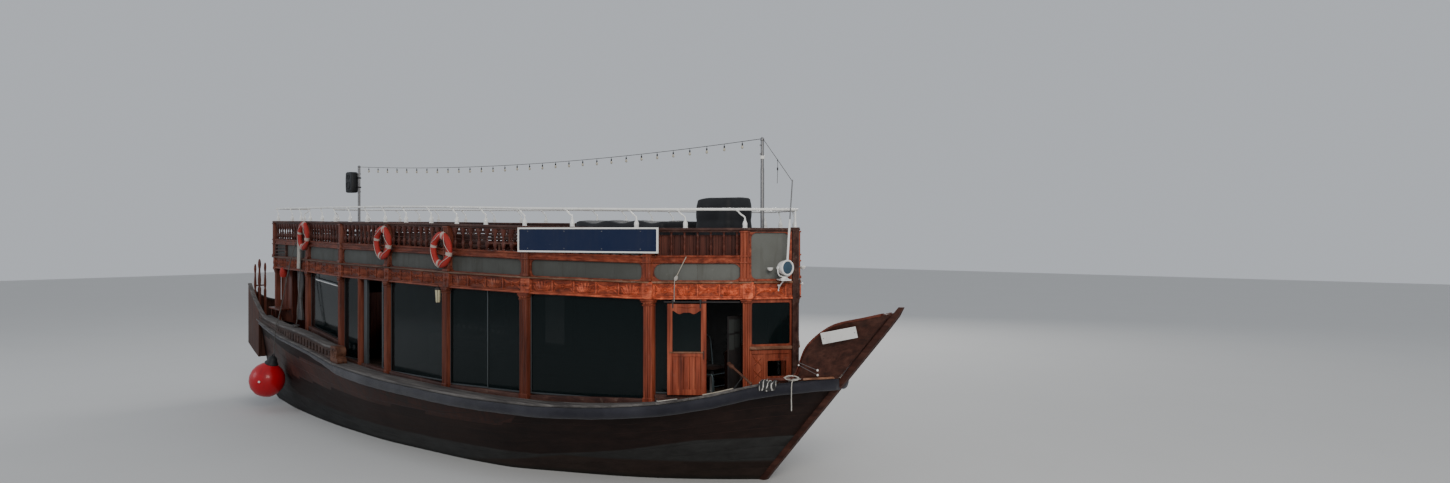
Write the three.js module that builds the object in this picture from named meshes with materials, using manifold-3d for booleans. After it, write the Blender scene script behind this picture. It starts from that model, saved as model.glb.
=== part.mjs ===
// A 20 m wooden excursion dhow: decked hull, glazed saloon under an open
// upper deck, rudder, propeller and two sliding cabin doors.
// Frame: origin on the centreline at the waterline, half way along the hull;
// +X to the bow, +Y to port, +Z up. Dimensions are written in metres and
// scaled to millimetres when a piece is added.
import * as THREE from "three";
import { mergeVertices } from "three/addons/utils/BufferGeometryUtils.js";
import Module from "manifold-3d";

const wasm = await Module();
wasm.setup();

const MM = 1000;          // millimetres in a metre
const GAP = 0.0004;       // clearance between touching pieces

// ---------------------------------------------------------------- dimensions
const KEEL_BOTTOM = -1.5;
const TRANSOM_X = -8.8;
const STEM_FOOT_X = 7.1, STEM_RAKE = 0.8896, STEM_TIP_Z = 3.26, STEM_DEPTH = 0.13;
const STEM_HALF = 0.07;
const STERN_X = -10.0;            // aft edge of the stern gallery
const NOSE_X = 7.76;              // where the two cabin sides end at the nose post
const SALOON_FLOOR = 0.95, HELM_FLOOR = 1.44, FORE_DECK = 1.60;
const FRAME_T = 0.14;             // cabin side frame, across
const FRIEZE_BOTTOM = 1.27, FRIEZE_TOP = 0.95;   // below the hand rail's top
const DECK_TOP = 0.97, DECK_BOTTOM = 1.07;       // upper deck, below the rail's top
const PANEL_TOP = 0.49;           // top of the boarded half of the balustrade
const RAIL_DEPTH = 0.06;
const PIPE_ABOVE = 0.33, PIPE_R = 0.02;
const PIPE_FEET = [-8.45, -7.25, -6.52, -5.81, -4.86, -3.89, -2.96, -2.09, -1.21, -0.33, 0.64, 1.52, 2.30, 3.30, 4.33, 5.63, 6.40, 7.23];
const RUDDER_X = -8.95;
const SHAFT_Z = -0.82, PROP_X = -8.2, PROP_R = 0.38;
const DOOR_W = 0.69, DOOR_T = 0.04, DOOR_GAP = 0.012, DOOR_TRAVEL = 0.66;

// side of the superstructure: x, half breadth, top of the wooden hand rail
const SIDE = [
  [-8.70, 1.36, 4.82], [-5.82, 1.93, 4.80], [-3.35, 2.47, 4.77],
  [-1.00, 2.74, 4.75], [1.30, 2.86, 4.71], [3.37, 2.57, 4.66],
  [5.87, 1.87, 4.62], [7.27, 0.76, 4.62], [7.76, 0.10, 4.62],
];
// edge of the hull at the rail: x, half breadth, z
const RAIL = [
  [-8.8, 1.66, 2.09], [-7.8, 1.93, 1.99], [-6.78, 2.17, 1.857], [-5.1, 2.52, 1.69],
  [-2.6, 2.95, 1.56], [-0.4, 3.20, 1.48], [1.9, 3.25, 1.43], [3.95, 3.0, 1.41],
  [5.0, 2.68, 1.44], [6.26, 2.15, 1.55], [7.06, 1.68, 1.70], [7.96, 1.02, 1.94],
  [8.54, 0.45, 2.02], [8.76, 0.07, 2.02],
];
// hull lines below the rail: x, half breadth
const TOPSIDE = [[-8.8, 1.42], [-7.8, 1.64], [-6.5, 1.98], [-5.0, 2.26], [-3.0, 2.63],
  [-0.9, 2.90], [1.0, 2.95], [2.5, 2.88], [3.9, 2.55], [5.2, 2.05], [6.2, 1.42], [7.0, 0.80], [7.64, STEM_HALF]];
const WATER = [[-8.8, 1.16], [-6.54, 1.75], [-3.18, 2.32], [-0.9, 2.5], [0.86, 2.5],
  [2.44, 2.4], [3.81, 1.95], [5.23, 1.33], [6.3, 0.62], [6.97, STEM_HALF]];
const BILGE = [[-8.8, 0.80], [-6.5, 1.25], [-3.2, 1.85], [-0.9, 2.05], [0.9, 2.05],
  [2.4, 1.85], [3.8, 1.38], [5.2, 0.74], [6.30, STEM_HALF]];
const BILGE_Z = [[-8.8, -0.18], [-7.0, -0.40], [-4.5, -0.70], [-2.0, -0.80], [6.3, -0.75]];
const BOTTOM_Z = [[-8.8, -0.25], [-7.0, -0.62], [-4.5, -1.15], [-2.0, -1.25], [6.0, -1.25]];
// raised quarter: x, half breadth, top of the cap (the side runs on to the stern corner)
const QUARTER = [[-10.0, 1.42, 3.10], [-9.3, 1.60, 2.70], [-8.3, 1.82, 2.30], [-7.8, 1.93, 2.25],
  [-6.78, 2.17, 2.20], [-5.1, 2.52, 2.14], [-3.3, 2.83, 1.97]];
// prow bulwark's top edge: x, half breadth, z
const PROW = [[7.96, 1.03, 2.02], [8.25, 0.87, 2.08], [8.54, 0.72, 2.60], [8.95, 0.47, 2.97], [9.40, 0.27, 3.09], [9.82, 0.09, 3.20]];
const PROW_FOOT = [[7.96, 1.02, 1.945], [8.15, 0.83, 1.972], [8.34, 0.64, 1.998], [8.54, 0.45, 2.025], [8.66, 0.25, 2.025], [8.75, 0.09, 2.025]];
// window posts of the cabin side: x, width along the side
const POSTS = [[-8.56, 0.12], [-5.82, 0.18], [-3.35, 0.18], [-2.30, 0.08], [-1.00, 0.18],
  [1.30, 0.18], [3.37, 0.20], [5.87, 0.18], [7.27, 0.18]];

// ------------------------------------------------------------------- helpers
function lerp(table, x, col = 1) {
  if (x <= table[0][0]) return table[0][col];
  for (let i = 1; i < table.length; i++) {
    if (x <= table[i][0]) {
      const u = (x - table[i - 1][0]) / (table[i][0] - table[i - 1][0]);
      return table[i - 1][col] + u * (table[i][col] - table[i - 1][col]);
    }
  }
  return table[table.length - 1][col];
}
const railTop = (x) => lerp(SIDE, x, 2);
const sideHalf = (x) => lerp(SIDE, x, 1);
const stemX = (z) => STEM_FOOT_X + STEM_RAKE * z;

function outward(geo) {
  const p = geo.attributes.position, ix = geo.index;
  let v = 0;
  const a = new THREE.Vector3(), b = new THREE.Vector3(), c = new THREE.Vector3();
  for (let i = 0; i < ix.count; i += 3) {
    a.fromBufferAttribute(p, ix.getX(i));
    b.fromBufferAttribute(p, ix.getX(i + 1));
    c.fromBufferAttribute(p, ix.getX(i + 2));
    v += a.dot(b.cross(c));
  }
  if (v < 0) {
    for (let i = 0; i < ix.count; i += 3) {
      const t = ix.getX(i + 1);
      ix.setX(i + 1, ix.getX(i + 2));
      ix.setX(i + 2, t);
    }
  }
  return geo;
}
// closed body through a row of rings with the same number of points; a ring
// that runs down one side and up the other can have its facets mirrored
function loft(rings, mirrored = false) {
  const n = rings[0].length, pos = [], idx = [];
  rings.forEach((r) => r.forEach((q) => pos.push(...q)));
  for (let i = 0; i + 1 < rings.length; i++) {
    for (let j = 0; j < n; j++) {
      const a = i * n + j, b = i * n + ((j + 1) % n), c = a + n, d = b + n;
      if (mirrored && j >= n / 2) idx.push(a, b, c, b, d, c);
      else idx.push(a, b, d, a, d, c);
    }
  }
  const cap = (k, flip) => {
    const r = rings[k].map((q) => new THREE.Vector3(...q));
    const m = new THREE.Vector3();
    for (let j = 0; j < n; j++) m.add(r[j].clone().cross(r[(j + 1) % n]));
    const ax = [Math.abs(m.x), Math.abs(m.y), Math.abs(m.z)];
    const drop = ax.indexOf(Math.max(...ax));
    const flat = r.map((q) => drop === 0 ? new THREE.Vector2(q.y, q.z)
      : drop === 1 ? new THREE.Vector2(q.z, q.x) : new THREE.Vector2(q.x, q.y));
    const sign = [m.x, m.y, m.z][drop] > 0;
    for (const t of THREE.ShapeUtils.triangulateShape(flat, [])) {
      const area = (flat[t[1]].x - flat[t[0]].x) * (flat[t[2]].y - flat[t[0]].y)
        - (flat[t[2]].x - flat[t[0]].x) * (flat[t[1]].y - flat[t[0]].y);
      const same = (area > 0) === sign;
      const o = k * n;
      if (same !== flip) idx.push(o + t[0], o + t[1], o + t[2]);
      else idx.push(o + t[0], o + t[2], o + t[1]);
    }
  };
  cap(0, true);
  cap(rings.length - 1, false);
  const geo = new THREE.BufferGeometry();
  geo.setAttribute("position", new THREE.Float32BufferAttribute(pos, 3));
  geo.setIndex(idx);
  return outward(geo);
}
function weld(geo) {
  const g = geo.clone();
  g.deleteAttribute("normal");
  g.deleteAttribute("uv");
  return outward(mergeVertices(g, 1e-5));
}
function toSolid(geo) {
  const g = weld(geo);
  return new wasm.Manifold(new wasm.Mesh({
    numProp: 3,
    vertProperties: new Float32Array(g.attributes.position.array),
    triVerts: new Uint32Array(g.index.array),
  }));
}
function toGeometry(solid) {
  const m = solid.getMesh();
  const geo = new THREE.BufferGeometry();
  geo.setAttribute("position", new THREE.Float32BufferAttribute(m.vertProperties, 3));
  geo.setIndex(new THREE.Uint32BufferAttribute(m.triVerts, 1));
  return geo;
}
const union = (...geos) => toGeometry(geos.map(toSolid).reduce((a, b) => a.add(b)));
const cut = (geo, ...tools) => toGeometry(tools.map(toSolid).reduce((a, b) => a.subtract(b), toSolid(geo)));

function box(x0, x1, y0, y1, z0, z1) {
  return new THREE.BoxGeometry(x1 - x0, y1 - y0, z1 - z0)
    .translate((x0 + x1) / 2, (y0 + y1) / 2, (z0 + z1) / 2);
}
function shapeOf(points) {
  return new THREE.Shape(points.map((q) => new THREE.Vector2(q[0], q[1])));
}
// plan outline carried up from z0 to z1
function planPrism(points, z0, z1) {
  return new THREE.ExtrudeGeometry(shapeOf(points), { depth: z1 - z0, bevelEnabled: false, steps: 1 }).translate(0, 0, z0);
}
// side view outline (x, z) carried across from y0 to y1
function sidePrism(points, y0, y1) {
  return new THREE.ExtrudeGeometry(shapeOf(points), { depth: y1 - y0, bevelEnabled: false, steps: 1 })
    .rotateX(Math.PI / 2).translate(0, y1, 0);
}
// cross section outline (y, z) carried along from x0 to x1
function crossPrism(points, x0, x1) {
  const g = new THREE.ExtrudeGeometry(shapeOf(points), { depth: x1 - x0, bevelEnabled: false, steps: 1 });
  g.applyMatrix4(new THREE.Matrix4().set(0, 0, 1, x0, 1, 0, 0, 0, 0, 1, 0, 0, 0, 0, 0, 1));
  return g;
}
function cylinder(r, length, sides, axis, cx, cy, cz) {
  const g = new THREE.CylinderGeometry(r, r, length, sides);
  if (axis === "x") g.rotateZ(Math.PI / 2);
  if (axis === "z") g.rotateX(Math.PI / 2);
  return g.translate(cx, cy, cz);
}
// turned piece from (radius, height) rows, axis +Z
function turned(rows, sides) {
  return new THREE.LatheGeometry(rows.map((q) => new THREE.Vector2(q[0], q[1])), sides).rotateX(Math.PI / 2);
}
function mirror(geo) {
  const g = weld(geo);
  g.scale(1, -1, 1);
  const ix = g.index;
  for (let i = 0; i < ix.count; i += 3) {
    const t = ix.getX(i + 1);
    ix.setX(i + 1, ix.getX(i + 2));
    ix.setX(i + 2, t);
  }
  return g;
}
// points at x along the port side line, moved inwards by d
function offsetLine(xs, d, table = SIDE) {
  const pts = table.map((q) => [q[0], q[1]]);
  const out = pts.map((q, i) => {
    const a = pts[Math.max(i - 1, 0)], b = pts[Math.min(i + 1, pts.length - 1)];
    const e1 = i > 0 ? [q[0] - a[0], q[1] - a[1]] : [b[0] - q[0], b[1] - q[1]];
    const e2 = i < pts.length - 1 ? [b[0] - q[0], b[1] - q[1]] : e1;
    const l1 = Math.hypot(...e1), l2 = Math.hypot(...e2);
    const n1 = [e1[1] / l1, -e1[0] / l1], n2 = [e2[1] / l2, -e2[0] / l2];
    const m = [n1[0] + n2[0], n1[1] + n2[1]];
    const k = 2 / (m[0] * m[0] + m[1] * m[1]);
    return [q[0] + m[0] * k * d, q[1] + m[1] * k * d];
  });
  return xs.map((x) => [x, lerp(out, x)]);
}
// upright wall along the port side line from x0 to x1, between depths d0 and d1
// inwards of it, with its foot and head at zb(x) and zt(x)
function sideWall(x0, x1, d0, d1, zb, zt) {
  const inner = (d) => {
    const full = offsetLine(SIDE.map((q) => q[0]), 0);
    return full.map((q, i) => {
      const a = full[Math.max(i - 1, 0)], b = full[Math.min(i + 1, full.length - 1)];
      const e1 = i > 0 ? [q[0] - a[0], q[1] - a[1]] : [b[0] - q[0], b[1] - q[1]];
      const e2 = i < full.length - 1 ? [b[0] - q[0], b[1] - q[1]] : e1;
      const l1 = Math.hypot(...e1), l2 = Math.hypot(...e2);
      const m = [e1[1] / l1 + e2[1] / l2, -e1[0] / l1 - e2[0] / l2];
      const k = 2 / (m[0] * m[0] + m[1] * m[1]);
      return [q[0] + m[0] * k * d, q[1] + m[1] * k * d];
    });
  };
  const A = inner(d0), B = inner(d1);
  const at = (line, t) => {
    const i = Math.min(Math.floor(t), line.length - 2), u = t - i;
    return [line[i][0] + u * (line[i + 1][0] - line[i][0]), line[i][1] + u * (line[i + 1][1] - line[i][1])];
  };
  const tOf = (x) => {
    for (let i = 1; i < SIDE.length; i++) {
      if (x <= SIDE[i][0]) return i - 1 + (x - SIDE[i - 1][0]) / (SIDE[i][0] - SIDE[i - 1][0]);
    }
    return SIDE.length - 1;
  };
  const t0 = tOf(x0), t1 = tOf(x1), ts = [t0];
  for (let i = Math.ceil(t0 + 1e-6); i < t1 - 1e-6; i++) ts.push(i);
  ts.push(t1);
  return loft(ts.map((t) => {
    const a = at(A, t), b = at(B, t), x = at(SIDE, t)[0];
    return [[a[0], a[1], zb(x)], [b[0], b[1], zb(x)], [b[0], b[1], zt(x)], [a[0], a[1], zt(x)]];
  }));
}
// frame of the side line at x (port): point, direction forward, direction inwards
function sideFrame(x) {
  for (let i = 1; i < SIDE.length; i++) {
    if (x <= SIDE[i][0] + 1e-9) {
      const a = SIDE[i - 1], b = SIDE[i];
      const l = Math.hypot(b[0] - a[0], b[1] - a[1]);
      const d = [(b[0] - a[0]) / l, (b[1] - a[1]) / l];
      return { p: [x, lerp(SIDE, x)], d, n: [d[1], -d[0]] };
    }
  }
  return null;
}
// block on the port side line: s0..s1 along it, d0..d1 inwards, z0..z1
function sideBlock(f, s0, s1, d0, d1, z0, z1) {
  const q = (s, d) => [f.p[0] + f.d[0] * s + f.n[0] * d, f.p[1] + f.d[1] * s + f.n[1] * d];
  return planPrism([q(s0, d0), q(s0, d1), q(s1, d1), q(s1, d0)].reverse(), z0, z1);
}
// round bar through points
function bar(points, r, sides) {
  const P = points.map((q) => new THREE.Vector3(...q));
  const up = new THREE.Vector3(0, 0, 1);
  return loft(P.map((q, i) => {
    const a = i > 0 ? q.clone().sub(P[i - 1]).normalize() : P[1].clone().sub(q).normalize();
    const b = i < P.length - 1 ? P[i + 1].clone().sub(q).normalize() : a;
    const t = a.clone().add(b).normalize();
    const ref = Math.abs(t.z) > 0.9 ? new THREE.Vector3(1, 0, 0) : up;
    const u = ref.clone().cross(t).normalize(), v = t.clone().cross(u).normalize();
    const k = 1 / Math.max(0.5, a.dot(t));
    const ring = [];
    for (let j = 0; j < sides; j++) {
      const w = (j + 0.5) / sides * 2 * Math.PI;
      const p = q.clone().addScaledVector(u, Math.cos(w) * r * k).addScaledVector(v, Math.sin(w) * r);
      ring.push([p.x, p.y, p.z]);
    }
    return ring;
  }));
}

const group = new THREE.Group();
const MATERIALS = {
  hull_brown: [0x3a2018, 0.65, 0], bottom: [0x4a4640, 0.8, 0], teak: [0x7a3a1e, 0.45, 0],
  teak_dark: [0x4d2415, 0.5, 0], navy_cover: [0x1c1a2c, 0.7, 0], worn_grey: [0x8b867e, 0.8, 0],
  glass: [0x0c1112, 0.08, 0], panel_grey: [0x6d726c, 0.6, 0], white_paint: [0xe6e4dd, 0.4, 0],
  black: [0x101012, 0.6, 0], navy_sign: [0x1b2a4c, 0.4, 0], plate_white: [0xe9e9e6, 0.35, 0],
  buoy_orange: [0xc8452c, 0.55, 0], buoy_red: [0xd01a20, 0.35, 0], bronze: [0x9a7340, 0.35, 1],
  steel: [0x8a8d8f, 0.4, 0.8], floor_wood: [0x6a4a30, 0.6, 0], seat: [0x2a2522, 0.8, 0],
};
function add(name, geometry, material) {
  const [color, roughness, metalness] = MATERIALS[material];
  const g = weld(geometry);
  g.scale(MM, MM, MM);
  const mesh = new THREE.Mesh(g, new THREE.MeshStandardMaterial({ color, roughness, metalness }));
  mesh.name = name;
  group.add(mesh);
}
function addPair(name, geometry, material) {
  add(`${name}_port`, geometry, material);
  add(`${name}_starboard`, mirror(geometry), material);
}

// ---------------------------------------------------------------------- hull
// Each level of the hull runs from the transom to the stem's aft face.
function hullBody(grow) {
  const end = (z) => stemX(z) - STEM_DEPTH;
  const levels = [
    { end: end(0.75), y: TOPSIDE, z: () => 0.75 },
    { end: end(0), y: WATER, z: () => 0 },
    { end: end(-0.75), y: BILGE, z: (x) => lerp(BILGE_Z, x) },
    { end: end(-1.25), y: [[0, 0.1]], z: (x) => lerp(BOTTOM_Z, x) - grow },
  ];
  const last = RAIL[RAIL.length - 1][0];
  return loft(RAIL.map((r) => {
    const u = (r[0] - TRANSOM_X) / (last - TRANSOM_X);
    const half = [[r[0], r[1] + grow * 2, r[2] + grow / 2]];
    levels.forEach((l) => {
      const x = TRANSOM_X + u * (l.end - TRANSOM_X);
      half.push([x, lerp(l.y, x) * (l.y.length > 1 ? 1 : (1 - 0.3 * u)) + grow * 2, l.z(x)]);
    });
    return [...half, ...half.slice().reverse().map((q) => [q[0], -q[1], q[2]])];
  }), true);
}
// outline of both sides from a table of x, half breadth
function plan(table) {
  return [...table.map((q) => [q[0], q[1]]), ...table.slice().reverse().map((q) => [q[0], -q[1]])].reverse();
}
const SALOON = [[-8.45, 1.02], [-5.80, 1.58], [-3.35, 2.10], [-1.0, 2.42], [1.3, 2.52], [3.37, 2.22], [4.6, 1.86], [5.35, 1.52]];
const HELM = [[5.30, 1.80], [5.87, 1.64], [6.90, 0.83]];
const FORE = [[6.50, 1.86], [6.83, 1.66], [7.06, 1.46], [7.52, 1.01], [7.86, 0.66], [8.04, 0.46], [8.13, 0.34], [8.20, 0.10]];
const deckedHull = (grow) => cut(hullBody(grow),
  planPrism(plan(SALOON), SALOON_FLOOR + grow, 5),
  planPrism(plan(HELM), HELM_FLOOR + grow, 5),
  planPrism(plan(FORE), FORE_DECK + grow, 5));
add("hull", deckedHull(0), "hull_brown");

// keel with the deadwood and the shoe under the propeller
{
  const top = BOTTOM_Z.filter((q) => q[0] > -7.7 && q[0] < 5.5);
  const foot = (z) => stemX(z) - STEM_DEPTH - GAP;
  const outline = [[-9.12, KEEL_BOTTOM], [foot(KEEL_BOTTOM), KEEL_BOTTOM], [foot(-1.25 - GAP), -1.25 - GAP],
    [foot(-1.25 - GAP) - 0.3, -1.10], ...top.reverse().map((q) => [q[0], q[1] + 0.15]),
    [-7.75, lerp(BOTTOM_Z, -7.75) + 0.1], [-7.75, -1.40], [-9.12, -1.40]];
  const keel = cut(sidePrism(outline, -0.09, 0.09), hullBody(GAP),
    cylinder(0.034, 0.4, 12, "z", RUDDER_X, 0, -1.42),
    cylinder(0.042, 1.2, 12, "x", -7.75, 0, SHAFT_Z));
  add("keel", keel, "bottom");
}
// raked stem, from the keel to the head
{
  const inner = (z) => stemX(z) - STEM_DEPTH + GAP;
  add("stem_post", sidePrism([[inner(KEEL_BOTTOM), KEEL_BOTTOM], [stemX(KEEL_BOTTOM) - 0.02, KEEL_BOTTOM], [stemX(-1.3) + 0.02, -1.3],
    [stemX(2.9), 2.9], [stemX(3.2) + 0.01, 3.2], [stemX(3.2) - 0.02, 3.32], [inner(3.32), 3.32]].map((q) => q), -0.065, 0.065), "hull_brown");
}
// covered fender band along the hull's edge, and the capping board inside it
const railAt = (x, c) => lerp(RAIL, x, c);
{
  const xs = [-8.78, ...RAIL.map((q) => q[0]).filter((x) => x > -8.7 && x < 8.4), 8.42];
  const band = loft(xs.map((x) => {
    const y = railAt(x, 1), z = railAt(x, 2);
    return [[x, y - 0.10, z], [x, y - 0.10, z - 0.20], [x, y + 0.03, z - 0.20], [x, y + 0.08, z - 0.14], [x, y + 0.08, z - 0.03], [x, y + 0.05, z]];
  }));
  addPair("rub_rail", cut(band, hullBody(GAP)), "navy_cover");
  const inset = [[-3.2, 0.36], [5.6, 0.32], [6.6, 0.14], [8.0, 0.12]];
  const xc = [-2.95, -2.6, -1.0, -0.4, 1.3, 1.9, 3.37, 3.95, 5.0, 5.87, 6.26, 7.06, 7.90];
  const cap = loft(xc.map((x) => {
    const y = railAt(x, 1), z = railAt(x, 2) + GAP;
    const yi = Math.max(y - lerp(inset, x), sideHalf(x) + 0.02);
    return [[x, y + 0.06, z], [x, y + 0.06, z + 0.045], [x, yi, z + 0.045], [x, yi, z]];
  }));
  addPair("capping", cap, "worn_grey");
}
// raised quarter: boarded side with a row of openings, its cap, and the stern corner
{
  const t = 0.07;
  const foot = (x) => x < TRANSOM_X - 0.001 ? 1.17 + (TRANSOM_X - x) * 0.2417 : railAt(x, 2) + GAP;
  const aft = loft([[-10.0, 1.46], [-9.4, 1.315], [TRANSOM_X - 0.0015, 1.17]].map(([x, zb]) => {
    const y = lerp(QUARTER, x), z = lerp(QUARTER, x, 2);
    return [[x, y, zb], [x, y, z], [x, y - t, z], [x, y - t, zb]];
  }));
  const xs = [TRANSOM_X - 0.0015, -8.3, -7.8, -6.78, -5.1, -3.3];
  const side = loft(xs.map((x) => {
    const y = lerp(QUARTER, x), z = lerp(QUARTER, x, 2), zb = foot(Math.max(x, TRANSOM_X));
    return [[x, y, zb], [x, y, z], [x, y - t, z], [x, y - t, zb]];
  }));
  const ledge = loft([-8.3, -7.8, -6.78, -5.82, -5.1, -3.35, -3.25].map((x) => {
    const y = lerp(QUARTER, x), z = lerp(QUARTER, x, 2);
    return [[x, y + 0.02, z - 0.05], [x, y + 0.02, z], [x, sideHalf(x) + 0.014, z], [x, sideHalf(x) + 0.014, z - 0.05]];
  }));
  const block = loft([-3.36, -2.98].map((x) => {
    const y = lerp(QUARTER, Math.min(x, -3.3)) + (x > -3.3 ? 0.06 : 0);
    return [[x, y + 0.03, railAt(x, 2) + GAP], [x, y + 0.03, 1.975], [x, y - 0.22, 1.975], [x, y - 0.22, railAt(x, 2) + GAP]];
  }));
  const holes = [];
  for (let i = 0; i < 13; i++) {
    const x = -6.85 + i * 0.26;
    const z0 = railAt(x, 2) + 0.14, z1 = lerp(QUARTER, x, 2) - 0.08;
    holes.push(box(x - 0.085, x + 0.085, 1.7, 3.2, z0, z1));
  }
  addPair("quarter_rail", union(cut(union(aft, side), ...holes), ledge, block), "teak_dark");
}
// stern gallery: platform between the quarters and the board across the stern
{
  const y0 = lerp(QUARTER, STERN_X) - 0.07 - GAP * 3, y1 = lerp(QUARTER, TRANSOM_X) - 0.07 - GAP * 3;
  const deck = loft([[STERN_X, y0, 1.46], [TRANSOM_X - 0.0015, y1 - 0.02, 1.17]].map(([x, y, zb]) =>
    [[x, -y, zb], [x, y, zb], [x, y, 2.09], [x, -y, 2.09]]));
  const board = crossPrism([[-y0, 2.0], [y0, 2.0], [y0, 2.92], [0.9, 2.66], [0.4, 2.56], [0, 2.53], [-0.4, 2.56], [-0.9, 2.66], [-y0, 2.92]], STERN_X, STERN_X + 0.08);
  const post = turned([[0, 0], [0.09, 0], [0.09, 0.9], [0.05, 0.96], [0.08, 1.10], [0.05, 1.40], [0.08, 1.52], [0.05, 1.66], [0, 1.68]], 10).translate(-9.72, 1.24, 2.05);
  add("stern_gallery", union(deck, board, post, mirror(post)), "hull_brown");
}
// prow bulwarks, meeting the stem
{
  const t = 0.07;
  const side = loft(PROW.map((q, i) => {
    const f = PROW_FOOT[i];
    return [[f[0], f[1], f[2] + GAP], [q[0], q[1], q[2]], [q[0] - t * 0.5, Math.max(q[1] - t, 0.012), q[2]], [f[0] - t * 0.5, Math.max(f[1] - t, 0.012), f[2] + GAP]];
  }));
  const stemCut = box(stemX(0) - STEM_DEPTH, 14, -1, 0.0655, -3, 6);
  const clear = sidePrism([[stemX(1.5) - STEM_DEPTH - GAP, 1.5], [stemX(4) - STEM_DEPTH - GAP, 4], [14, 4], [14, 1.5]], -1, 0.0658);
  addPair("prow_bulwark", cut(side, clear), "hull_brown");
}

// ------------------------------------------------------------- cabin sides
const sillFoot = (x) => {
  if (x <= -3.3) return railAt(x, 2) + GAP;
  return Math.min(railAt(x, 2), x > 6.4 ? FORE_DECK : 9) + GAP;
};
const frameFoot = (x) => (x > 5.2 && x < 6.5 ? Math.min(railAt(x, 2), 9) + GAP : sillFoot(x));
const P5 = sideFrame(5.87 + 1e-6 > 5.87 ? 6.2 : 5.87);
const BAY = { p: [5.87, 1.87], d: P5.d, n: P5.n };     // doorway bay, from its aft post
const DOOR_S0 = 1.05, DOOR_S1 = 1.69;                  // doorway along the bay
{
  const head = sideWall(-8.70, NOSE_X, 0, FRAME_T, (x) => railTop(x) - FRIEZE_BOTTOM, (x) => railTop(x) - FRIEZE_TOP);
  const sill = sideWall(-5.9, NOSE_X, 0.0, FRAME_T, (x) => sillFoot(x) - 0.08, (x) => (x <= -3.3 ? lerp(QUARTER, x, 2) + 0.05 : sillFoot(x) + 0.10));
  const posts = POSTS.map(([x, w]) => {
    const f = sideFrame(x);
    const foot = sillFoot(x) - 0.02;
    return sideBlock(f, -w / 2, w / 2, x < -6 ? 0.01 : x > 5 ? 0.002 : 0.0, x > 5 ? FRAME_T - 0.002 : FRAME_T, foot, railTop(x) - FRIEZE_BOTTOM + 0.02);
  });
  const jamb = sideBlock(BAY, DOOR_S0 - 0.08, DOOR_S0, 0, FRAME_T, 1.56, railTop(6.8) - FRIEZE_BOTTOM + 0.02);
  const doorway = sideBlock(BAY, DOOR_S0, DOOR_S1, -0.1, FRAME_T + 0.1, 1.63, 1.9);
  addPair("cabin_frame", cut(union(head, sill, ...posts, jamb), doorway, deckedHull(GAP)), "teak");
}
// tinted windows on one sliding track inside the posts
{
  const foot = (x) => (x <= -3.3 ? Math.max(sillFoot(x), lerp(QUARTER, x, 2) - 0.05) : sillFoot(x)) + 0.03;
  const pane = sideWall(-5.72, 6.67, FRAME_T + GAP, FRAME_T + 0.03, foot, (x) => railTop(x) - FRIEZE_BOTTOM + 0.04);
  const open = sideFrame(-1.7);
  addPair("saloon_windows", cut(pane, sideBlock(open, -0.33, 0.33, 0, 0.4, 1.75, 3.38)), "glass");
}
// panels beside the nose post: a window above, a square hatch below
{
  const mid = sideFrame(7.6);
  const wall = sideWall(7.333, NOSE_X, 0.045, 0.095, (x) => sillFoot(x) + 0.10 + GAP, (x) => railTop(x) - FRIEZE_BOTTOM - GAP);
  const f = { p: [7.27, 0.76], d: mid.d, n: mid.n };
  const post = sideBlock(sideFrame(7.27), -0.3, 0.09 + GAP, -0.2, 0.4, 1, 4);
  const w0 = 0.155, w1 = 0.785, z0 = 2.55, z1 = 3.29;
  const win = sideBlock(f, w0, w1, -0.1, 0.3, z0, z1);
  const hatch = sideBlock(f, 0.38, 0.715, -0.1, 0.3, 1.97, 2.26);
  addPair("bow_panel", cut(wall, post, win, hatch), "teak");
  addPair("bow_window", sideBlock(f, w0 + GAP, w1 - GAP, 0.06, 0.08, z0 + GAP, z1 - GAP), "glass");
}
add("nose_post", union(planPrism([[7.668, -0.030], [7.762, -0.0975], [7.79, -0.06], [7.81, 0], [7.79, 0.06], [7.762, 0.0975], [7.668, 0.030]], FORE_DECK + GAP, 4.57),
  planPrism([[7.668, -0.030], [7.762, -0.0975], [7.81, -0.06], [7.835, 0], [7.81, 0.06], [7.762, 0.0975], [7.668, 0.030]], 4.56, 4.63)), "teak");
// bulkhead across the after end of the saloon, with its doorway
add("aft_bulkhead", cut(crossPrism([[-1.57, SALOON_FLOOR + GAP], [1.57, SALOON_FLOOR + GAP], [1.57, 1.78], [1.755, 1.78], [1.755, 3.72], [-1.755, 3.72], [-1.755, 1.78], [-1.57, 1.78]], -5.70, -5.65),
  box(-6, -5, -0.45, 0.45, 0, 2.95)), "teak_dark");
// closed cubicles under the after end of the upper deck
addPair("stern_cubicle", planPrism([[-8.44, 0.42], [-7.50, 0.42], [-7.50, 1.20], [-8.44, 1.00]], SALOON_FLOOR + GAP, 2.2)
  && union(planPrism([[-8.44, 0.42], [-7.50, 0.42], [-7.50, 1.20], [-8.44, 1.00]], SALOON_FLOOR + GAP, 3.73),
    planPrism([[-8.44, 0.9], [-7.50, 0.9], [-7.50, 1.44], [-8.44, 1.255]], 2.14, 3.73)), "teak");

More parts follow.
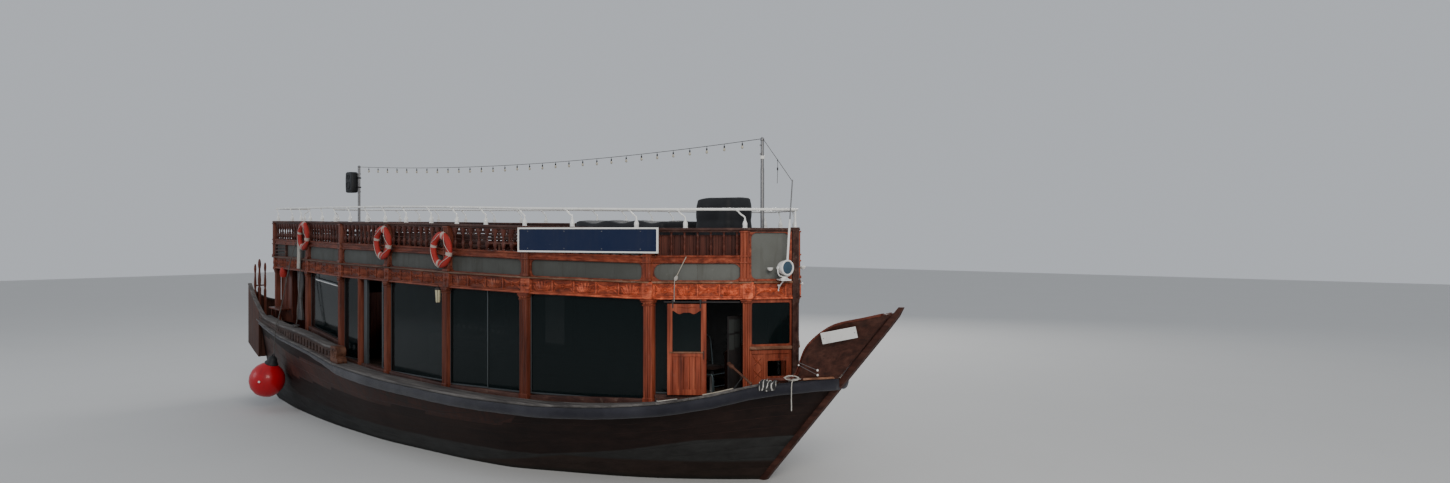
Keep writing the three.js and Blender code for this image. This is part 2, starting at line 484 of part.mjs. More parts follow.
// ------------------------------------------------------------- upper deck
{
  const inner = [];
  for (const q of SIDE) {
    const i = SIDE.indexOf(q);
    const a = SIDE[Math.max(i - 1, 0)], b = SIDE[Math.min(i + 1, SIDE.length - 1)];
    const e1 = i > 0 ? [q[0] - a[0], q[1] - a[1]] : [b[0] - q[0], b[1] - q[1]];
    const e2 = i < SIDE.length - 1 ? [b[0] - q[0], b[1] - q[1]] : e1;
    const l1 = Math.hypot(...e1), l2 = Math.hypot(...e2);
    const m = [e1[1] / l1 + e2[1] / l2, -e1[0] / l1 - e2[0] / l2];
    const k = 2 / (m[0] * m[0] + m[1] * m[1]);
    inner.push([q[0] + m[0] * k * (FRAME_T + GAP * 2), q[1] + m[1] * k * (FRAME_T + GAP * 2), q[2]]);
  }
  const last = inner[inner.length - 1];
  if (last[1] < 0.02) {
    const prev = inner[inner.length - 2];
    const u = (prev[1] - 0.02) / (prev[1] - last[1]);
    inner[inner.length - 1] = [prev[0] + u * (last[0] - prev[0]), 0.02, last[2]];
  }
  const slab = loft(inner.map(([x, y, z]) => [[x, -y, z - DECK_BOTTOM], [x, y, z - DECK_BOTTOM], [x, y, z - DECK_TOP], [x, -y, z - DECK_TOP]]));
  add("upper_deck", slab, "floor_wood");
  // boarded lower half with posts and a wooden hand rail above it
  const base = (x) => railTop(x) - FRIEZE_TOP + GAP;
  const band = sideWall(-8.70, NOSE_X, 0.02, 0.08, base, (x) => railTop(x) - PANEL_TOP);
  const moulding = sideWall(-8.70, NOSE_X, 0.0, 0.10, (x) => railTop(x) - PANEL_TOP - 0.12, (x) => railTop(x) - PANEL_TOP);
  const rail = sideWall(-8.70, NOSE_X, 0.0, 0.12, (x) => railTop(x) - RAIL_DEPTH, (x) => railTop(x));
  const posts = [-8.62, -7.2, -5.82, -4.6, -3.35, -2.2, -1.0, 0.15, 1.3, 2.33, 3.37, 4.6, 5.87, 7.27].map((x) =>
    sideBlock(sideFrame(x), -0.07, 0.07, 0.0, 0.11, base(x) + 0.01, railTop(x) - 0.01));
  const nose = sideWall(7.31, NOSE_X, 0.02, 0.08, base, (x) => railTop(x) - 0.02);
  // across the stern, with the gap at the head of the ladder
  const z = railTop(-8.7);
  const aft = [box(-8.695, -8.64, 0.36, 1.30, z - FRIEZE_TOP + GAP, z - PANEL_TOP),
    box(-8.695, -8.58, 0.30, 1.30, z - RAIL_DEPTH, z), box(-8.695, -8.58, 0.30, 0.42, z - FRIEZE_TOP + GAP, z - 0.01)];
  addPair("balustrade", cut(union(band, moulding, rail, ...posts, nose, ...aft), box(7, 9, -1, 0.0095, 3, 5)), "teak");
}
// white pipe rail on short stanchions all round the hand rail
{
  const d = 0.06;
  const line = [];
  SIDE.forEach((q, i) => {
    const a = SIDE[Math.max(i - 1, 0)], b = SIDE[Math.min(i + 1, SIDE.length - 1)];
    const e1 = i > 0 ? [q[0] - a[0], q[1] - a[1]] : [b[0] - q[0], b[1] - q[1]];
    const e2 = i < SIDE.length - 1 ? [b[0] - q[0], b[1] - q[1]] : e1;
    const l1 = Math.hypot(...e1), l2 = Math.hypot(...e2);
    const m = [e1[1] / l1 + e2[1] / l2, -e1[0] / l1 - e2[0] / l2];
    const k = 2 / (m[0] * m[0] + m[1] * m[1]);
    line.push([q[0] + m[0] * k * d, q[1] + m[1] * k * d, q[2] + PIPE_ABOVE]);
  });
  line[0][0] = -8.64;
  const port = [[-8.64, 0.36, line[0][2]], ...line.slice(0, 8)];
  const path = [...port, [7.755, 0.05, 4.95], [7.755, -0.05, 4.95], ...port.slice().reverse().map((q) => [q[0], -q[1], q[2]])];
  const stanchion = () => turned([[0, 0.002], [0.036, 0.002], [0.014, 0.12], [0.014, PIPE_ABOVE], [0, PIPE_ABOVE]], 5);
  const feet = [];
  for (const x of PIPE_FEET) {
    const f = sideFrame(x), z = railTop(x);
    const c = [f.p[0] + f.n[0] * d, f.p[1] + f.n[1] * d];
    const foot = stanchion().translate(c[0], c[1], z);
    feet.push(foot, mirror(foot));
  }
  for (const y of [0.38, -0.38]) feet.push(stanchion().translate(-8.64, y, railTop(-8.7)));
  feet.push(stanchion().translate(7.755, 0, 4.63));
  add("pipe_rail", union(bar(path, PIPE_R, 6), ...feet), "white_paint");
}
// upper deck fittings
const deckAt = (x) => railTop(x) - DECK_TOP + GAP;
addPair("upper_bench", (() => {
  const w = sideWall(-7.6, 2.2, 0.16, 0.60, (x) => deckAt(x) + 0.008, (x) => deckAt(x) + 0.44);
  return w;
})(), "seat");
add("low_seats", sidePrism([[2.7, deckAt(2.7) + 0.004], [5.15, deckAt(2.7) + 0.004], [5.15, 4.72], [4.9, 4.80], [2.95, 4.80], [2.7, 4.74]], -0.75, 0.75), "black");
add("covered_box", sidePrism([[5.66, deckAt(5.5) + 0.01], [6.50, deckAt(5.5) + 0.01], [6.48, 5.12], [6.35, 5.19], [5.80, 5.20], [5.68, 5.10]], -0.38, 0.38), "black");
// masts
add("aft_mast", union(cylinder(0.035, 6.3 - deckAt(-6.7) - 0.003, 10, "z", -6.7, 0, (6.303 + deckAt(-6.7)) / 2), box(-6.85, -6.55, -0.15, 0.15, deckAt(-6.7) + 0.003, deckAt(-6.7) + 0.02)), "steel");
add("speaker", cut(box(-7.10, -6.7355, -0.20, 0.02, 5.57, 6.13), cylinder(0.0355, 2, 10, "z", -6.7, 0, 6)), "black");
add("forward_mast", union(cylinder(0.035, 6.3 - deckAt(7.0), 10, "z", 7.0, 0, (6.3 + deckAt(7.0)) / 2), box(6.85, 7.15, -0.12, 0.12, deckAt(7.0), deckAt(7.0) + 0.02)), "steel");
add("forestay", bar([[7.0 + 0.04, -0.017, 6.25], [7.50, -0.19, 5.84], [7.92, -0.3285, 5.45]], 0.006, 6), "steel");
// blank sign boards on the balustrade and blank number plates on the prow
{
  const a = SIDE[5], b = SIDE[6], l = Math.hypot(b[0] - a[0], b[1] - a[1]);
  const f = { p: [a[0], a[1]], d: [(b[0] - a[0]) / l, (b[1] - a[1]) / l] };
  f.n = [f.d[1], -f.d[0]];
  addPair("sign_board", sideBlock(f, -0.12, l + 0.26, -0.06, -0.03, 4.17, 4.63), "navy_sign");
}
{
  const p0 = new THREE.Vector3(...PROW[2]), p1 = new THREE.Vector3(...PROW[4]), q0 = new THREE.Vector3(...PROW_FOOT[2]);
  const w = p1.clone().sub(p0).cross(q0.clone().sub(p0)).normalize();
  if (w.y < 0) w.negate();
  const u = new THREE.Vector3(0.505, -0.327, 0.123).addScaledVector(w, -w.dot(new THREE.Vector3(0.505, -0.327, 0.123))).normalize();
  const v = w.clone().cross(u).normalize();
  if (v.z < 0) v.negate();
  const m = new THREE.Matrix4().makeBasis(u, v, w);
  m.setPosition(9.035, 0.512, 2.813);
  addPair("number_plate", new THREE.BoxGeometry(0.60, 0.205, 0.012).applyMatrix4(m), "plate_white");
}
// searchlight on its bracket outside the bow bay, with the staff beside it
{
  const lamp = turned([[0, -0.12], [0.06, -0.115], [0.11, -0.06], [0.13, 0.03], [0.135, 0.09], [0.12, 0.10], [0, 0.10]], 14)
    .rotateY(Math.PI / 2).rotateZ(-0.75).translate(7.818, -0.415, 3.92);
  const staff = loft([[7.80, -0.335, 3.70, 0.02], [7.873, -0.335, 4.70, 0.019], [7.878, -0.335, 4.76, 0.013], [7.934, -0.335, 5.46, 0.012]].map(([x, y, z, r]) =>
    [0, 1, 2, 3, 4, 5, 6, 7].map((k) => [x + r * Math.cos(k * Math.PI / 4), y + r * Math.sin(k * Math.PI / 4), z])));
  const neck = cylinder(0.045, 0.12, 10, "z", 7.813, -0.405, 3.76);
  const arm = planPrism([[7.5706, -0.3235], [7.8268, -0.5133], [7.916, -0.3428], [7.6839, -0.1709]], 3.69, 3.715);
  add("searchlight", union(lamp, staff, neck, arm), "white_paint");
}
// lifebuoys: x, height of the middle
const BUOYS = [[-5.9, 4.43], [-1.05, 4.31], [1.23, 4.19]];
BUOYS.forEach(([x, z], i) => {
  const f = sideFrame(x);
  const ring = new THREE.TorusGeometry(0.285, 0.075, 6, 16).scale(1, 1, 0.75);
  const m = new THREE.Matrix4().makeBasis(new THREE.Vector3(f.d[0], f.d[1], 0), new THREE.Vector3(0, 0, 1), new THREE.Vector3(f.d[1], -f.d[0], 0));
  m.setPosition(f.p[0] - f.n[0] * 0.07, f.p[1] - f.n[1] * 0.07, z);
  addPair(`lifebuoy_${i + 1}`, ring.applyMatrix4(m), "buoy_orange");
});
// fender hanging at the starboard quarter
{
  const buoy = turned([[0, -0.46], [0.16, -0.435], [0.30, -0.33], [0.37, -0.14], [0.36, 0.06], [0.28, 0.26], [0.17, 0.40], [0.115, 0.47], [0.10, 0.62], [0.06, 0.72], [0, 0.72]], 16);
  add("fender", union(buoy.translate(-7.15, -2.33, 0.80), bar([[-7.15, -2.33, 1.46], [-7.08, -2.30, 1.90], [-7.0, -2.26, 2.16], [-6.94, -2.20, 2.255]], 0.012, 6)), "buoy_red");
}
// ladder from the gallery to the upper deck
{
  const parts = [];
  for (const y of [0.22, -0.22]) parts.push(bar([[-9.45, y, 2.0904], [-8.74, y, 4.0]], 0.025, 6));
  for (let i = 0; i < 6; i++) {
    const u = 0.10 + i * 0.145;
    parts.push(box(-9.45 + u * 0.71 - 0.04, -9.45 + u * 0.71 + 0.04, -0.235, 0.235, 2.0904 + u * 1.91 - 0.012, 2.0904 + u * 1.91 + 0.012));
  }
  add("stern_ladder", cut(union(...parts), box(-10, -9, -1, 1, 1.9, 2.0904)), "teak");
}

// -------------------------------------------------------------- interior
addPair("saloon_bench", loft([[-5.3, 1.66], [-3.35, 2.04], [-1.0, 2.36], [1.3, 2.46], [3.37, 2.18], [4.3, 1.90]].map(([x, y]) =>
  [[x, y, SALOON_FLOOR + GAP], [x, y, SALOON_FLOOR + 0.45], [x, y - 0.45, SALOON_FLOOR + 0.45], [x, y - 0.45, SALOON_FLOOR + GAP]])), "seat");
add("helm_console", sidePrism([[6.42, HELM_FLOOR + GAP], [6.80, HELM_FLOOR + GAP], [6.80, 2.45], [6.55, 2.45], [6.42, 2.30]], -0.40, 0.40), "teak_dark");
add("helm_chair", union(cylinder(0.2, 0.03, 12, "z", 5.75, 0, HELM_FLOOR + GAP + 0.015), cylinder(0.035, 0.46, 8, "z", 5.75, 0, HELM_FLOOR + GAP + 0.24),
  box(5.52, 5.98, -0.24, 0.24, 1.90, 1.99), box(5.50, 5.57, -0.24, 0.24, 1.95, 2.55)), "seat");

// ---------------------------------------------------------- moving pieces
// steering wheel on the console
{
  const c = [6.36, 0, 2.16];
  const rim = new THREE.TorusGeometry(0.22, 0.016, 5, 16).rotateY(Math.PI / 2);
  const spokes = [0, 1, 2].map((i) => new THREE.BoxGeometry(0.02, 0.58, 0.022).rotateX(i * Math.PI / 3));
  const hub = cylinder(0.05, 0.07, 12, "x", 0, 0, 0);
  add("helm_wheel", union(rim, hub, ...spokes).translate(...c), "teak");
}
// rudder: blade on a stock, pin in the keel shoe, ring on the transom
add("rudder", union(
  sidePrism([[RUDDER_X + 0.10, -1.38], [RUDDER_X + 0.10, 0.35], [RUDDER_X + 0.05, 0.60], [RUDDER_X - 0.12, 0.62], [RUDDER_X - 0.42, 0.45], [RUDDER_X - 0.62, -0.5], [RUDDER_X - 0.70, -1.1], [RUDDER_X - 0.62, -1.38]].reverse(), -0.035, 0.035),
  cylinder(0.045, 2.50, 12, "z", RUDDER_X, 0, -0.13),
  cylinder(0.029, 0.13, 12, "z", RUDDER_X, 0, -1.415)), "bottom");
add("rudder_ring", cut(box(RUDDER_X - 0.09, TRANSOM_X - 0.001, -0.09, 0.09, 0.78, 0.88), cylinder(0.05, 1, 12, "z", RUDDER_X, 0, 0.83)), "bronze");
{
  const hub = cylinder(0.07, 0.20, 12, "x", PROP_X, 0, SHAFT_Z);
  const shaft = cylinder(0.036, 0.62, 12, "x", PROP_X + 0.31, 0, SHAFT_Z);
  const blade = new THREE.ExtrudeGeometry(shapeOf([[-0.05, 0.04], [0.05, 0.04], [0.15, 0.18], [0.14, 0.31], [0.05, PROP_R], [-0.05, 0.36], [-0.10, 0.28], [-0.10, 0.15]]), { depth: 0.018, bevelEnabled: false })
    .translate(0, 0, -0.009);
  const blades = [0, 1, 2, 3].map((i) => blade.clone().rotateY(0.9).applyMatrix4(new THREE.Matrix4().set(0, 0, 1, 0, 1, 0, 0, 0, 0, 1, 0, 0, 0, 0, 0, 1))
    .rotateX(i * Math.PI / 2).translate(PROP_X, 0, SHAFT_Z));
  add("propeller", union(hub, shaft, ...blades), "bronze");
}
// cabin doors: boarded below, a window above; they slide along the outside
{
  const z0 = 1.66, z1 = 3.28, s0 = DOOR_S0 - 0.02 - DOOR_W + 0.02, s1 = s0 + DOOR_W;
  const leaf = sideBlock(BAY, s0, s1, -DOOR_GAP - DOOR_T, -DOOR_GAP, z0, z1);
  const light = sideBlock(BAY, s0 + 0.09, s1 - 0.09, -0.2, 0.1, 2.42, 3.14);
  const pane = sideBlock(BAY, s0 + 0.08, s1 - 0.08, -DOOR_GAP - 0.026, -DOOR_GAP - 0.014, 2.41, 3.15);
  addPair("cabin_door", union(cut(leaf, light), pane), "teak");
}

export default group;
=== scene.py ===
# Wooden excursion dhow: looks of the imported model. Metres, +X bow, +Y port, +Z up,
# origin on the centreline at the waterline.
import bpy, bmesh, math, random
from mathutils import Vector, Matrix, noise


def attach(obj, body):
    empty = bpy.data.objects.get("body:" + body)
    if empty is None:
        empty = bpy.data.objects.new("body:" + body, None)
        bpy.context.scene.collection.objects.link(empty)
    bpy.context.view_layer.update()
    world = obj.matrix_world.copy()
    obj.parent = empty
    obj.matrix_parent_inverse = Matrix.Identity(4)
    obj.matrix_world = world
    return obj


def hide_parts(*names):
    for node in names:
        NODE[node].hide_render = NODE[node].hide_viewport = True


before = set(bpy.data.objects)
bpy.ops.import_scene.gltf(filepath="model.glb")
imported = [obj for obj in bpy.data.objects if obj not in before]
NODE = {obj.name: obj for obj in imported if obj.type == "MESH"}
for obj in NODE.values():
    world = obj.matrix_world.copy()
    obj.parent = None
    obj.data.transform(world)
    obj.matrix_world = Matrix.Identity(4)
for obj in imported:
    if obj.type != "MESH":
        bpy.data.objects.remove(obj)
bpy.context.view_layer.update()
rnd = random.Random(11)

# ------------------------------------------------------------------ camera
cam = bpy.data.cameras.new("camera")
cam.sensor_fit = "HORIZONTAL"
cam.sensor_width = 36.0
cam.lens = 26.07
cam.shift_y = -0.0086
cam.clip_end = 400
cam_o = bpy.data.objects.new("camera", cam)
bpy.context.collection.objects.link(cam_o)
cam_o.location = (18.907, -15.252, 4.6)
cam_o.rotation_euler = Vector((-0.643, 0.766, 0.0)).to_track_quat("-Z", "Y").to_euler()
bpy.context.scene.camera = cam_o

# ------------------------------------------------------------------ tables
TRANSOM_X, STERN_X, NOSE_X = -8.8, -10.0, 7.76
STEM_DEPTH = 0.13
SALOON_FLOOR, HELM_FLOOR, FORE_DECK = 0.95, 1.44, 1.60
FRAME_T = 0.14
FRIEZE_BOTTOM, FRIEZE_TOP, DECK_TOP = 1.27, 0.95, 0.97
PIPE_ABOVE = 0.33
SIDE = [(-8.70, 1.36, 4.82), (-5.82, 1.93, 4.80), (-3.35, 2.47, 4.77),
        (-1.00, 2.74, 4.75), (1.30, 2.86, 4.71), (3.37, 2.57, 4.66),
        (5.87, 1.87, 4.62), (7.27, 0.76, 4.62), (7.76, 0.10, 4.62)]
RAIL = [(-8.8, 1.66, 2.09), (-7.8, 1.93, 1.99), (-6.78, 2.17, 1.857), (-5.1, 2.52, 1.69),
        (-2.6, 2.95, 1.56), (-0.4, 3.20, 1.48), (1.9, 3.25, 1.43), (3.95, 3.0, 1.41),
        (5.0, 2.68, 1.44), (6.26, 2.15, 1.55), (7.06, 1.68, 1.70), (7.96, 1.02, 1.94),
        (8.54, 0.45, 2.02), (8.76, 0.07, 2.02)]
TOPSIDE = [(-8.8, 1.42), (-7.8, 1.64), (-6.5, 1.98), (-5.0, 2.26), (-3.0, 2.63), (-0.9, 2.90),
           (1.0, 2.95), (2.5, 2.88), (3.9, 2.55), (5.2, 2.05), (6.2, 1.42), (7.0, 0.80), (7.64, 0.07)]
WATER = [(-8.8, 1.16), (-6.54, 1.75), (-3.18, 2.32), (-0.9, 2.5), (0.86, 2.5), (2.44, 2.4),
         (3.81, 1.95), (5.23, 1.33), (6.3, 0.62), (6.97, 0.07)]
BILGE = [(-8.8, 0.80), (-6.5, 1.25), (-3.2, 1.85), (-0.9, 2.05), (0.9, 2.05), (2.4, 1.85),
         (3.8, 1.38), (5.2, 0.74), (6.30, 0.07)]
BILGE_Z = [(-8.8, -0.18), (-7.0, -0.40), (-4.5, -0.70), (-2.0, -0.80), (6.3, -0.75)]
BOTTOM_Z = [(-8.8, -0.25), (-7.0, -0.62), (-4.5, -1.15), (-2.0, -1.25), (6.0, -1.25)]
QUARTER = [(-10.0, 1.42, 3.10), (-9.3, 1.60, 2.70), (-8.3, 1.82, 2.30), (-7.8, 1.93, 2.25),
           (-6.78, 2.17, 2.20), (-5.1, 2.52, 2.14), (-3.3, 2.83, 1.97)]
PROW = [(7.96, 1.03, 2.02), (8.30, 0.84, 2.05), (8.54, 0.72, 2.60), (8.95, 0.47, 2.97), (9.40, 0.27, 3.09), (9.82, 0.09, 3.20)]
PROW_FOOT = [(7.96, 1.02, 1.945), (8.15, 0.83, 1.972), (8.34, 0.64, 1.998), (8.54, 0.45, 2.025), (8.66, 0.25, 2.025), (8.75, 0.09, 2.025)]
POSTS = [(-8.56, 0.12), (-5.82, 0.18), (-3.35, 0.18), (-2.30, 0.08), (-1.00, 0.18),
         (1.30, 0.18), (3.37, 0.20), (5.87, 0.18), (7.27, 0.18)]
PILLARS = [-8.60, -5.82, -3.35, -1.00, 1.30, 3.37, 5.87, 7.27]
PIPE_FEET = [-8.45, -7.25, -6.52, -5.81, -4.86, -3.89, -2.96, -2.09, -1.21, -0.33, 0.64, 1.52, 2.30, 3.30, 4.33, 5.63, 6.40, 7.23]
BUOYS = [(-5.9, 4.43), (-1.05, 4.31), (1.23, 4.19)]
SALOON = [(-8.45, 1.02), (-5.80, 1.58), (-3.35, 2.10), (-1.0, 2.42), (1.3, 2.52), (3.37, 2.22), (4.6, 1.86), (5.35, 1.52)]
HELM = [(5.30, 1.80), (5.87, 1.64), (6.90, 0.83)]
FORE = [(6.50, 1.86), (6.83, 1.66), (7.06, 1.46), (7.52, 1.01), (7.86, 0.66), (8.04, 0.46), (8.13, 0.34), (8.20, 0.10)]


def lerp(table, x, col=1):
    if x <= table[0][0]:
        return table[0][col]
    for a, b in zip(table, table[1:]):
        if x <= b[0]:
            u = (x - a[0]) / (b[0] - a[0])
            return a[col] + u * (b[col] - a[col])
    return table[-1][col]


def smooth(table, col=1):
    """monotone cubic through a column of the table"""
    xs = [r[0] for r in table]
    ys = [r[col] for r in table]
    n = len(xs)
    h = [xs[i + 1] - xs[i] for i in range(n - 1)]
    dl = [(ys[i + 1] - ys[i]) / h[i] for i in range(n - 1)]
    m = [dl[0]] + [0.0] * (n - 2) + [dl[-1]]
    for i in range(1, n - 1):
        if dl[i - 1] * dl[i] > 0:
            w1, w2 = 2 * h[i] + h[i - 1], h[i] + 2 * h[i - 1]
            m[i] = (w1 + w2) / (w1 / dl[i - 1] + w2 / dl[i])

    def f(x):
        if x <= xs[0]:
            return ys[0]
        if x >= xs[-1]:
            return ys[-1]
        i = 0
        while x > xs[i + 1]:
            i += 1
        t = (x - xs[i]) / h[i]
        return ((2 * t ** 3 - 3 * t * t + 1) * ys[i] + (t ** 3 - 2 * t * t + t) * h[i] * m[i]
                + (-2 * t ** 3 + 3 * t * t) * ys[i + 1] + (t ** 3 - t * t) * h[i] * m[i + 1])
    return f


rail_top = lambda x: lerp(SIDE, x, 2)
side_half = lambda x: lerp(SIDE, x, 1)
rail_y, rail_z = smooth(RAIL, 1), smooth(RAIL, 2)
stem_x = lambda z: 7.1 + 0.8896 * z


# ------------------------------------------------------------------ meshes
class Geo:
    def __init__(self):
        self.v, self.f, self.m = [], [], []

    def add(self, verts, faces, m=0):
        o = len(self.v)
        self.v.extend([tuple(p) for p in verts])
        self.f.extend([tuple(i + o for i in f) for f in faces])
        self.m.extend([m] * len(faces))

    def loft(self, rings, m=0, caps=True, wrap=True, loop=False):
        n, k = len(rings[0]), len(rings)
        verts = [p for r in rings for p in r]
        faces = []
        for i in range(k if loop else k - 1):
            for j in range(n if wrap else n - 1):
                a, b = i * n + j, i * n + (j + 1) % n
                i2 = (i + 1) % k
                c, d = i2 * n + (j + 1) % n, i2 * n + j
                faces.append((a, b, c, d))
        if caps and not loop:
            faces.append(tuple(range(n - 1, -1, -1)))
            faces.append(tuple(range((k - 1) * n, k * n)))
        self.add(verts, faces, m)

    def block(self, c, u, v, w, a, b, d, r=0.006, m=0):
        """chamfered block: centre, three unit directions, half sizes, chamfer"""
        c, u, v, w = Vector(c), Vector(u), Vector(v), Vector(w)
        r = min(r, a * 0.45, b * 0.45, d * 0.45)
        idx, verts = {}, []
        for sx in (-1, 1):
            for sy in (-1, 1):
                for sz in (-1, 1):
                    for k, (x, y, z) in enumerate(((a, b - r, d - r), (a - r, b, d - r), (a - r, b - r, d))):
                        idx[sx, sy, sz, k] = len(verts)
                        verts.append(c + u * (sx * x) + v * (sy * y) + w * (sz * z))
        f = []
        for s in (-1, 1):
            f.append([idx[s, y, z, 0] for y, z in ((-1, -1), (1, -1), (1, 1), (-1, 1))])
            f.append([idx[x, s, z, 1] for x, z in ((-1, -1), (1, -1), (1, 1), (-1, 1))])
            f.append([idx[x, y, s, 2] for x, y in ((-1, -1), (1, -1), (1, 1), (-1, 1))])
            for t in (-1, 1):
                f.append([idx[s, t, -1, 0], idx[s, t, 1, 0], idx[s, t, 1, 1], idx[s, t, -1, 1]])
                f.append([idx[s, -1, t, 0], idx[s, 1, t, 0], idx[s, 1, t, 2], idx[s, -1, t, 2]])
                f.append([idx[-1, s, t, 1], idx[1, s, t, 1], idx[1, s, t, 2], idx[-1, s, t, 2]])
                for q in (-1, 1):
                    f.append([idx[s, t, q, 0], idx[s, t, q, 1], idx[s, t, q, 2]])
        self.add(verts, f, m)

    def box(self, x0, x1, y0, y1, z0, z1, r=0.006, m=0):
        self.block(((x0 + x1) / 2, (y0 + y1) / 2, (z0 + z1) / 2), (1, 0, 0), (0, 1, 0), (0, 0, 1),
                   (x1 - x0) / 2, (y1 - y0) / 2, (z1 - z0) / 2, r, m)

    def lathe(self, rows, n, o=(0, 0, 0), axis=(0, 0, 1), m=0, squash=1.0):
        """turned body from (radius, height) rows"""
        ax = Vector(axis).normalized()
        u = ax.orthogonal().normalized()
        v = ax.cross(u)
        o = Vector(o)
        rings = [[o + ax * h + u * (max(r, 0.0008) * math.cos(k * 2 * math.pi / n)) + v * (max(r, 0.0008) * squash * math.sin(k * 2 * math.pi / n))
                  for k in range(n)] for r, h in rows]
        self.loft(rings, m)

    def tube(self, pts, r, n=8, m=0, caps=True, loop=False):
        P = [Vector(p) for p in pts]
        k = len(P)
        rings = []
        prev = None
        for i, p in enumerate(P):
            a = P[(i - 1) % k] if (loop or i > 0) else p
            b = P[(i + 1) % k] if (loop or i < k - 1) else p
            t = (b - a).normalized()
            if prev is None:
                u = t.orthogonal().normalized()
            else:
                u = (prev - t * prev.dot(t)).normalized()
            prev = u
            v = t.cross(u)
            rr = r(i / max(1, k - 1)) if callable(r) else r
            rings.append([p + u * (math.cos(j * 2 * math.pi / n) * rr) + v * (math.sin(j * 2 * math.pi / n) * rr) for j in range(n)])
        self.loft(rings, m, caps=caps, loop=loop)


def shown(name, g, mats, body="hull", angle=32, flat=False, hide=(), attr=None):
    me = bpy.data.meshes.new(name)
    me.from_pydata(g.v, [], g.f)
    for mt in (mats if isinstance(mats, (list, tuple)) else [mats]):
        me.materials.append(mt)
    me.polygons.foreach_set("material_index", g.m)
    bm = bmesh.new()
    bm.from_mesh(me)
    bmesh.ops.recalc_face_normals(bm, faces=bm.faces)
    bm.to_mesh(me)
    bm.free()
    if not flat:
        me.polygons.foreach_set("use_smooth", [True] * len(me.polygons))
        me.set_sharp_from_angle(angle=math.radians(angle))
    me.update()
    o = bpy.data.objects.new(name, me)
    bpy.context.collection.objects.link(o)
    if body:
        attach(o, body)
    if hide:
        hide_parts(*hide)
    return o


# ------------------------------------------------------- cabin side helpers
def _mitres():
    out = []
    for i, q in enumerate(SIDE):
        a, b = SIDE[max(i - 1, 0)], SIDE[min(i + 1, len(SIDE) - 1)]
        e1 = (q[0] - a[0], q[1] - a[1]) if i > 0 else (b[0] - q[0], b[1] - q[1])
        e2 = (b[0] - q[0], b[1] - q[1]) if i < len(SIDE) - 1 else e1
        l1, l2 = math.hypot(*e1), math.hypot(*e2)
        m = (e1[1] / l1 + e2[1] / l2, -e1[0] / l1 - e2[0] / l2)
        k = 2 / (m[0] ** 2 + m[1] ** 2)
        out.append((m[0] * k, m[1] * k))
    return out


MITRE = _mitres()


def t_of(x):
    for i in range(1, len(SIDE)):
        if x <= SIDE[i][0] + 1e-9:
            return i - 1 + (x - SIDE[i - 1][0]) / (SIDE[i][0] - SIDE[i - 1][0])
    return len(SIDE) - 1


def side_xy(t, d, s):
    i = min(int(t), len(SIDE) - 2)
    u = t - i
    a = (SIDE[i][0] + MITRE[i][0] * d, SIDE[i][1] + MITRE[i][1] * d)
    b = (SIDE[i + 1][0] + MITRE[i + 1][0] * d, SIDE[i + 1][1] + MITRE[i + 1][1] * d)
    return a[0] + u * (b[0] - a[0]), (a[1] + u * (b[1] - a[1])) * s


def sweep(g, s, x0, x1, prof, m=0):
    """profile of (depth, height) points carried along the cabin side"""
    t0, t1 = t_of(x0), t_of(x1)
    ts = [t0] + [i for i in range(math.ceil(t0 + 1e-6), math.ceil(t1 - 1e-6))] + [t1]
    rings = []
    for t in ts:
        i = min(int(t), len(SIDE) - 2)
        x = SIDE[i][0] + (t - i) * (SIDE[i + 1][0] - SIDE[i][0])
        rings.append([(*side_xy(t, d, s), z) for d, z in prof(x)])
    g.loft(rings, m)


def rrect(d0, d1, z0, z1, r, n=3):
    out = []
    for cx, cz, a0 in ((d1 - r, z1 - r, 0), (d0 + r, z1 - r, 90), (d0 + r, z0 + r, 180), (d1 - r, z0 + r, 270)):
        for k in range(n + 1):
            a = math.radians(a0 + 90 * k / n)
            out.append((cx + r * math.cos(a), cz + r * math.sin(a)))
    return out


class Frame:
    """local frame on the cabin side: s forwards along it, d inwards, z up"""

    def __init__(self, x, s, seg=None):
        i = seg if seg is not None else min(max(math.ceil(t_of(x) - 1e-9) - 1, 0), len(SIDE) - 2)
        a, b = SIDE[i], SIDE[i + 1]
        l = math.hypot(b[0] - a[0], b[1] - a[1])
        d = ((b[0] - a[0]) / l, (b[1] - a[1]) / l)
        y = a[1] + (b[1] - a[1]) * (x - a[0]) / (b[0] - a[0])
        self.o = Vector((x, y * s, 0))
        self.u = Vector((d[0], d[1] * s, 0))
        self.n = Vector((d[1], -d[0] * s, 0))
        self.length = l
        self.x = x

    def at(self, s, d, z):
        return self.o + self.u * s + self.n * d + Vector((0, 0, z))

    def box(self, g, s0, s1, d0, d1, z0, z1, r=0.006, m=0):
        g.block(self.at((s0 + s1) / 2, (d0 + d1) / 2, (z0 + z1) / 2), self.u, self.n, (0, 0, 1),
                (s1 - s0) / 2, (d1 - d0) / 2, (z1 - z0) / 2, r, m)

    def prism(self, g, pts, z0, z1, m=0):
        g.loft([[self.at(s, d, z0) for s, d in pts], [self.at(s, d, z1) for s, d in pts]], m)

    def plate(self, g, pts, d0, d1, m=0):
        """outline of (s, z) points, from depth d0 to d1"""
        g.loft([[self.at(s, d0, z) for s, z in pts], [self.at(s, d1, z) for s, z in pts]], m)


